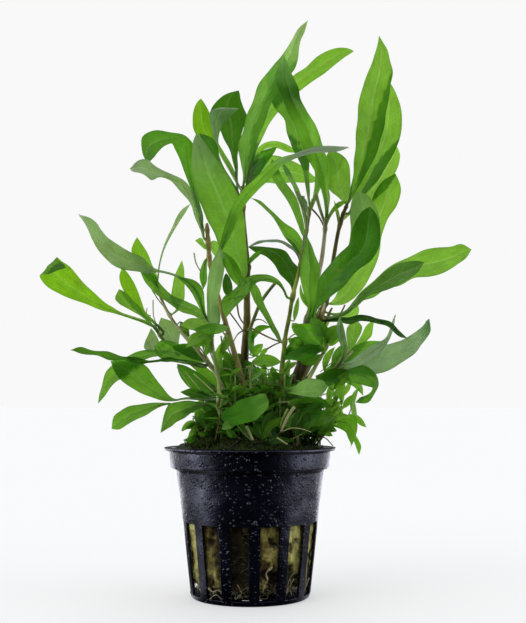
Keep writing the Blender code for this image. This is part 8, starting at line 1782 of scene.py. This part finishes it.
# ------------------------------------------------------------------ stage, light and camera
def make_stage():
    size = 70.0
    mesh = bpy.data.meshes.new("floor")
    mesh.from_pydata([(-size, -size, 0), (size, -size, 0), (size, size, 0), (-size, size, 0)], [], [(0, 1, 2, 3)])
    mat, tree, out = nodes_of("pale_floor")
    coord = object_coord(tree)
    n = noise_node(tree, coord, 3.0, 2.0)
    pale = ramp_node(tree, n, [(0.3, (FLOOR_TONE * 0.995,) * 3), (0.7, (FLOOR_TONE * 1.005,) * 3)])
    # glossy rays see the floor glow as two painted soft boxes beside the pot, a darker gap behind each and dark in
    # front; for other rays than the camera's its colour is painted dark in front: painted shade
    sep = tree.nodes.new("ShaderNodeSeparateXYZ")
    tree.links.new(coord, sep.inputs[0])
    wide = math_node(tree, "ABSOLUTE", sep.outputs[0])
    ahead = math_node(tree, "MULTIPLY", sep.outputs[1], -1.0)
    painted_dark_front = math_node(tree, "SUBTRACT", ahead, math_node(tree, "MULTIPLY", wide, 0.85))
    shade = ramp_node(tree, math_node(tree, "MULTIPLY_ADD", painted_dark_front, 12.0, 0.5), [(0.0, (0.62,) * 3), (1.0, (0.03,) * 3)])
    turn = math_node(tree, "ARCTAN2", sep.outputs[0], ahead)
    turn = math_node(tree, "MULTIPLY_ADD", turn, 0.5 / math.pi, 0.5)
    boxes = ramp_node(tree, turn, [(d / 360 + 0.5, (v, v * 1.01, v * 1.12)) for d, v in FLOOR_GLOSS])
    glow = tree.nodes.new("ShaderNodeEmission")
    away = math_node(tree, "SQRT", math_node(tree, "ADD", math_node(tree, "MULTIPLY", sep.outputs[0], sep.outputs[0]), math_node(tree, "MULTIPLY", ahead, ahead)))
    far = math_node(tree, "POWER", math_node(tree, "DIVIDE", math_node(tree, "SUBTRACT", away, 0.125), 0.07, clamp=True), 1.2)
    tree.links.new(math_node(tree, "MULTIPLY_ADD", far, 6.0, 0.75), glow.inputs["Strength"])
    tree.links.new(boxes, glow.inputs["Color"])
    path = tree.nodes.new("ShaderNodeLightPath")
    col = mix_color(tree, path.outputs["Is Camera Ray"], shade, pale)
    bs = tree.nodes.new("ShaderNodeBsdfDiffuse")
    tree.links.new(col, bs.inputs["Color"])
    # for the camera the floor partly glows, which makes its shadow thin: painted light
    lit = tree.nodes.new("ShaderNodeEmission")
    lit.inputs["Color"].default_value = (0.948, 0.948, 0.948, 1)
    thin = tree.nodes.new("ShaderNodeMixShader")
    tree.links.new(math_node(tree, "MULTIPLY", path.outputs["Is Camera Ray"], 0.45), thin.inputs[0])
    tree.links.new(bs.outputs[0], thin.inputs[1])
    tree.links.new(lit.outputs[0], thin.inputs[2])
    seen = tree.nodes.new("ShaderNodeMixShader")
    tree.links.new(path.outputs["Is Glossy Ray"], seen.inputs[0])
    tree.links.new(thin.outputs[0], seen.inputs[1])
    tree.links.new(glow.outputs[0], seen.inputs[2])
    tree.links.new(seen.outputs[0], out.inputs["Surface"])
    mesh.materials.append(mat)
    floor = bpy.data.objects.new("floor", mesh)
    bpy.context.scene.collection.objects.link(floor)

    world = bpy.data.worlds.new("studio")
    bpy.context.scene.world = world
    world.use_nodes = True
    tree = world.node_tree
    for n in list(tree.nodes):
        tree.nodes.remove(n)
    out = tree.nodes.new("ShaderNodeOutputWorld")
    coord = tree.nodes.new("ShaderNodeTexCoord")
    sep = tree.nodes.new("ShaderNodeSeparateXYZ")
    tree.links.new(coord.outputs["Generated"], sep.inputs[0])
    back = ramp_node(tree, math_node(tree, "MULTIPLY_ADD", sep.outputs[1], 0.5, 0.5),
                     [(0.0, (0.05,) * 3), (0.17, (0.07,) * 3), (0.42, (0.42, 0.43, 0.45)), (0.74, (0.66, 0.67, 0.69)), (0.90, (BACK_LIGHT,) * 3)])
    top = ramp_node(tree, sep.outputs[2], [(0.30, (0, 0, 0)), (0.70, (TOP_LIGHT,) * 3)])
    left = ramp_node(tree, math_node(tree, "MULTIPLY", sep.outputs[0], -1.0), [(0.76, (0, 0, 0)), (0.96, (SIDE_LEFT * 0.93, SIDE_LEFT * 0.97, SIDE_LEFT * 1.08))])
    right = ramp_node(tree, sep.outputs[0], [(0.76, (0, 0, 0)), (0.96, (SIDE_RIGHT * 0.93, SIDE_RIGHT * 0.97, SIDE_RIGHT * 1.08))])
    low = ramp_node(tree, sep.outputs[2], [(0.30, (1, 1, 1)), (0.55, (0, 0, 0))])
    sides = mix_color(tree, 1.0, mix_color(tree, 1.0, left, right, "ADD"), low, "MULTIPLY")
    col = mix_color(tree, 1.0, mix_color(tree, 1.0, back, top, "ADD"), sides, "ADD")
    lit = tree.nodes.new("ShaderNodeBackground")
    tree.links.new(col, lit.inputs["Color"])
    lit.inputs["Strength"].default_value = 1.0
    seen = tree.nodes.new("ShaderNodeBackground")
    seen.inputs["Color"].default_value = (0.948, 0.948, 0.948, 1)
    path = tree.nodes.new("ShaderNodeLightPath")
    mix = tree.nodes.new("ShaderNodeMixShader")
    tree.links.new(path.outputs["Is Camera Ray"], mix.inputs[0])
    tree.links.new(lit.outputs[0], mix.inputs[1])
    tree.links.new(seen.outputs[0], mix.inputs[2])
    tree.links.new(mix.outputs[0], out.inputs["Surface"])

    def sun(name, direction, watts, angle, colour=(1, 1, 1)):
        data = bpy.data.lights.new(name, "SUN")
        data.energy = watts
        data.angle = math.radians(angle)
        data.color = colour
        obj = bpy.data.objects.new(name, data)
        obj.rotation_euler = Vector(direction).to_track_quat("Z", "Y").to_euler()
        bpy.context.scene.collection.objects.link(obj)
        return obj

    sun("key", (-0.55, -0.62, 0.85), KEY_LIGHT, 38)
    sun("fill", (0.75, -0.35, 0.55), FILL_LIGHT, 50)
    sun("rim", (0.15, 0.85, 0.50), RIM_LIGHT, 60)

    cam = bpy.data.cameras.new("camera")
    cam.sensor_fit = "AUTO"
    cam.sensor_width = 36.0
    cam.lens = 1000.0 * 36.0 / 623.0
    cam.clip_start = 0.01
    cam.clip_end = 200
    obj = bpy.data.objects.new("camera", cam)
    obj.location = (VIEW_X * MM, -VIEW_DIST * MM, VIEW_Z * MM)
    obj.rotation_euler = (math.radians(90) + VIEW_TILT, 0, 0)
    bpy.context.scene.collection.objects.link(obj)
    bpy.context.scene.camera = obj
    vs = bpy.context.scene.view_settings
    vs.view_transform = "Standard"
    vs.look = "None"
    vs.exposure = 0.0
    vs.gamma = 1.0


FLOOR_TONE = 0.69
# degrees from the front, to the right positive, and how bright the floor is there in reflections
FLOOR_GLOSS = [(-180, 0.36), (-150, 0.30), (-128, 0.10), (-112, 0.10), (-97, 0.30), (-88, 0.52), (-77, 1.22), (-66, 0.56), (-54, 0.05), (-38, 0.02), (0, 0.008),
               (38, 0.02), (46, 0.05), (58, 0.20), (70, 0.56), (82, 0.50), (96, 0.36), (108, 0.16), (125, 0.10), (150, 0.30), (180, 0.36)]
BACK_LIGHT, TOP_LIGHT = 1.28, 0.60
SIDE_LEFT, SIDE_RIGHT = 3.6, 2.8
KEY_LIGHT, FILL_LIGHT, RIM_LIGHT = 0.78, 0.26, 0.5
make_stage()
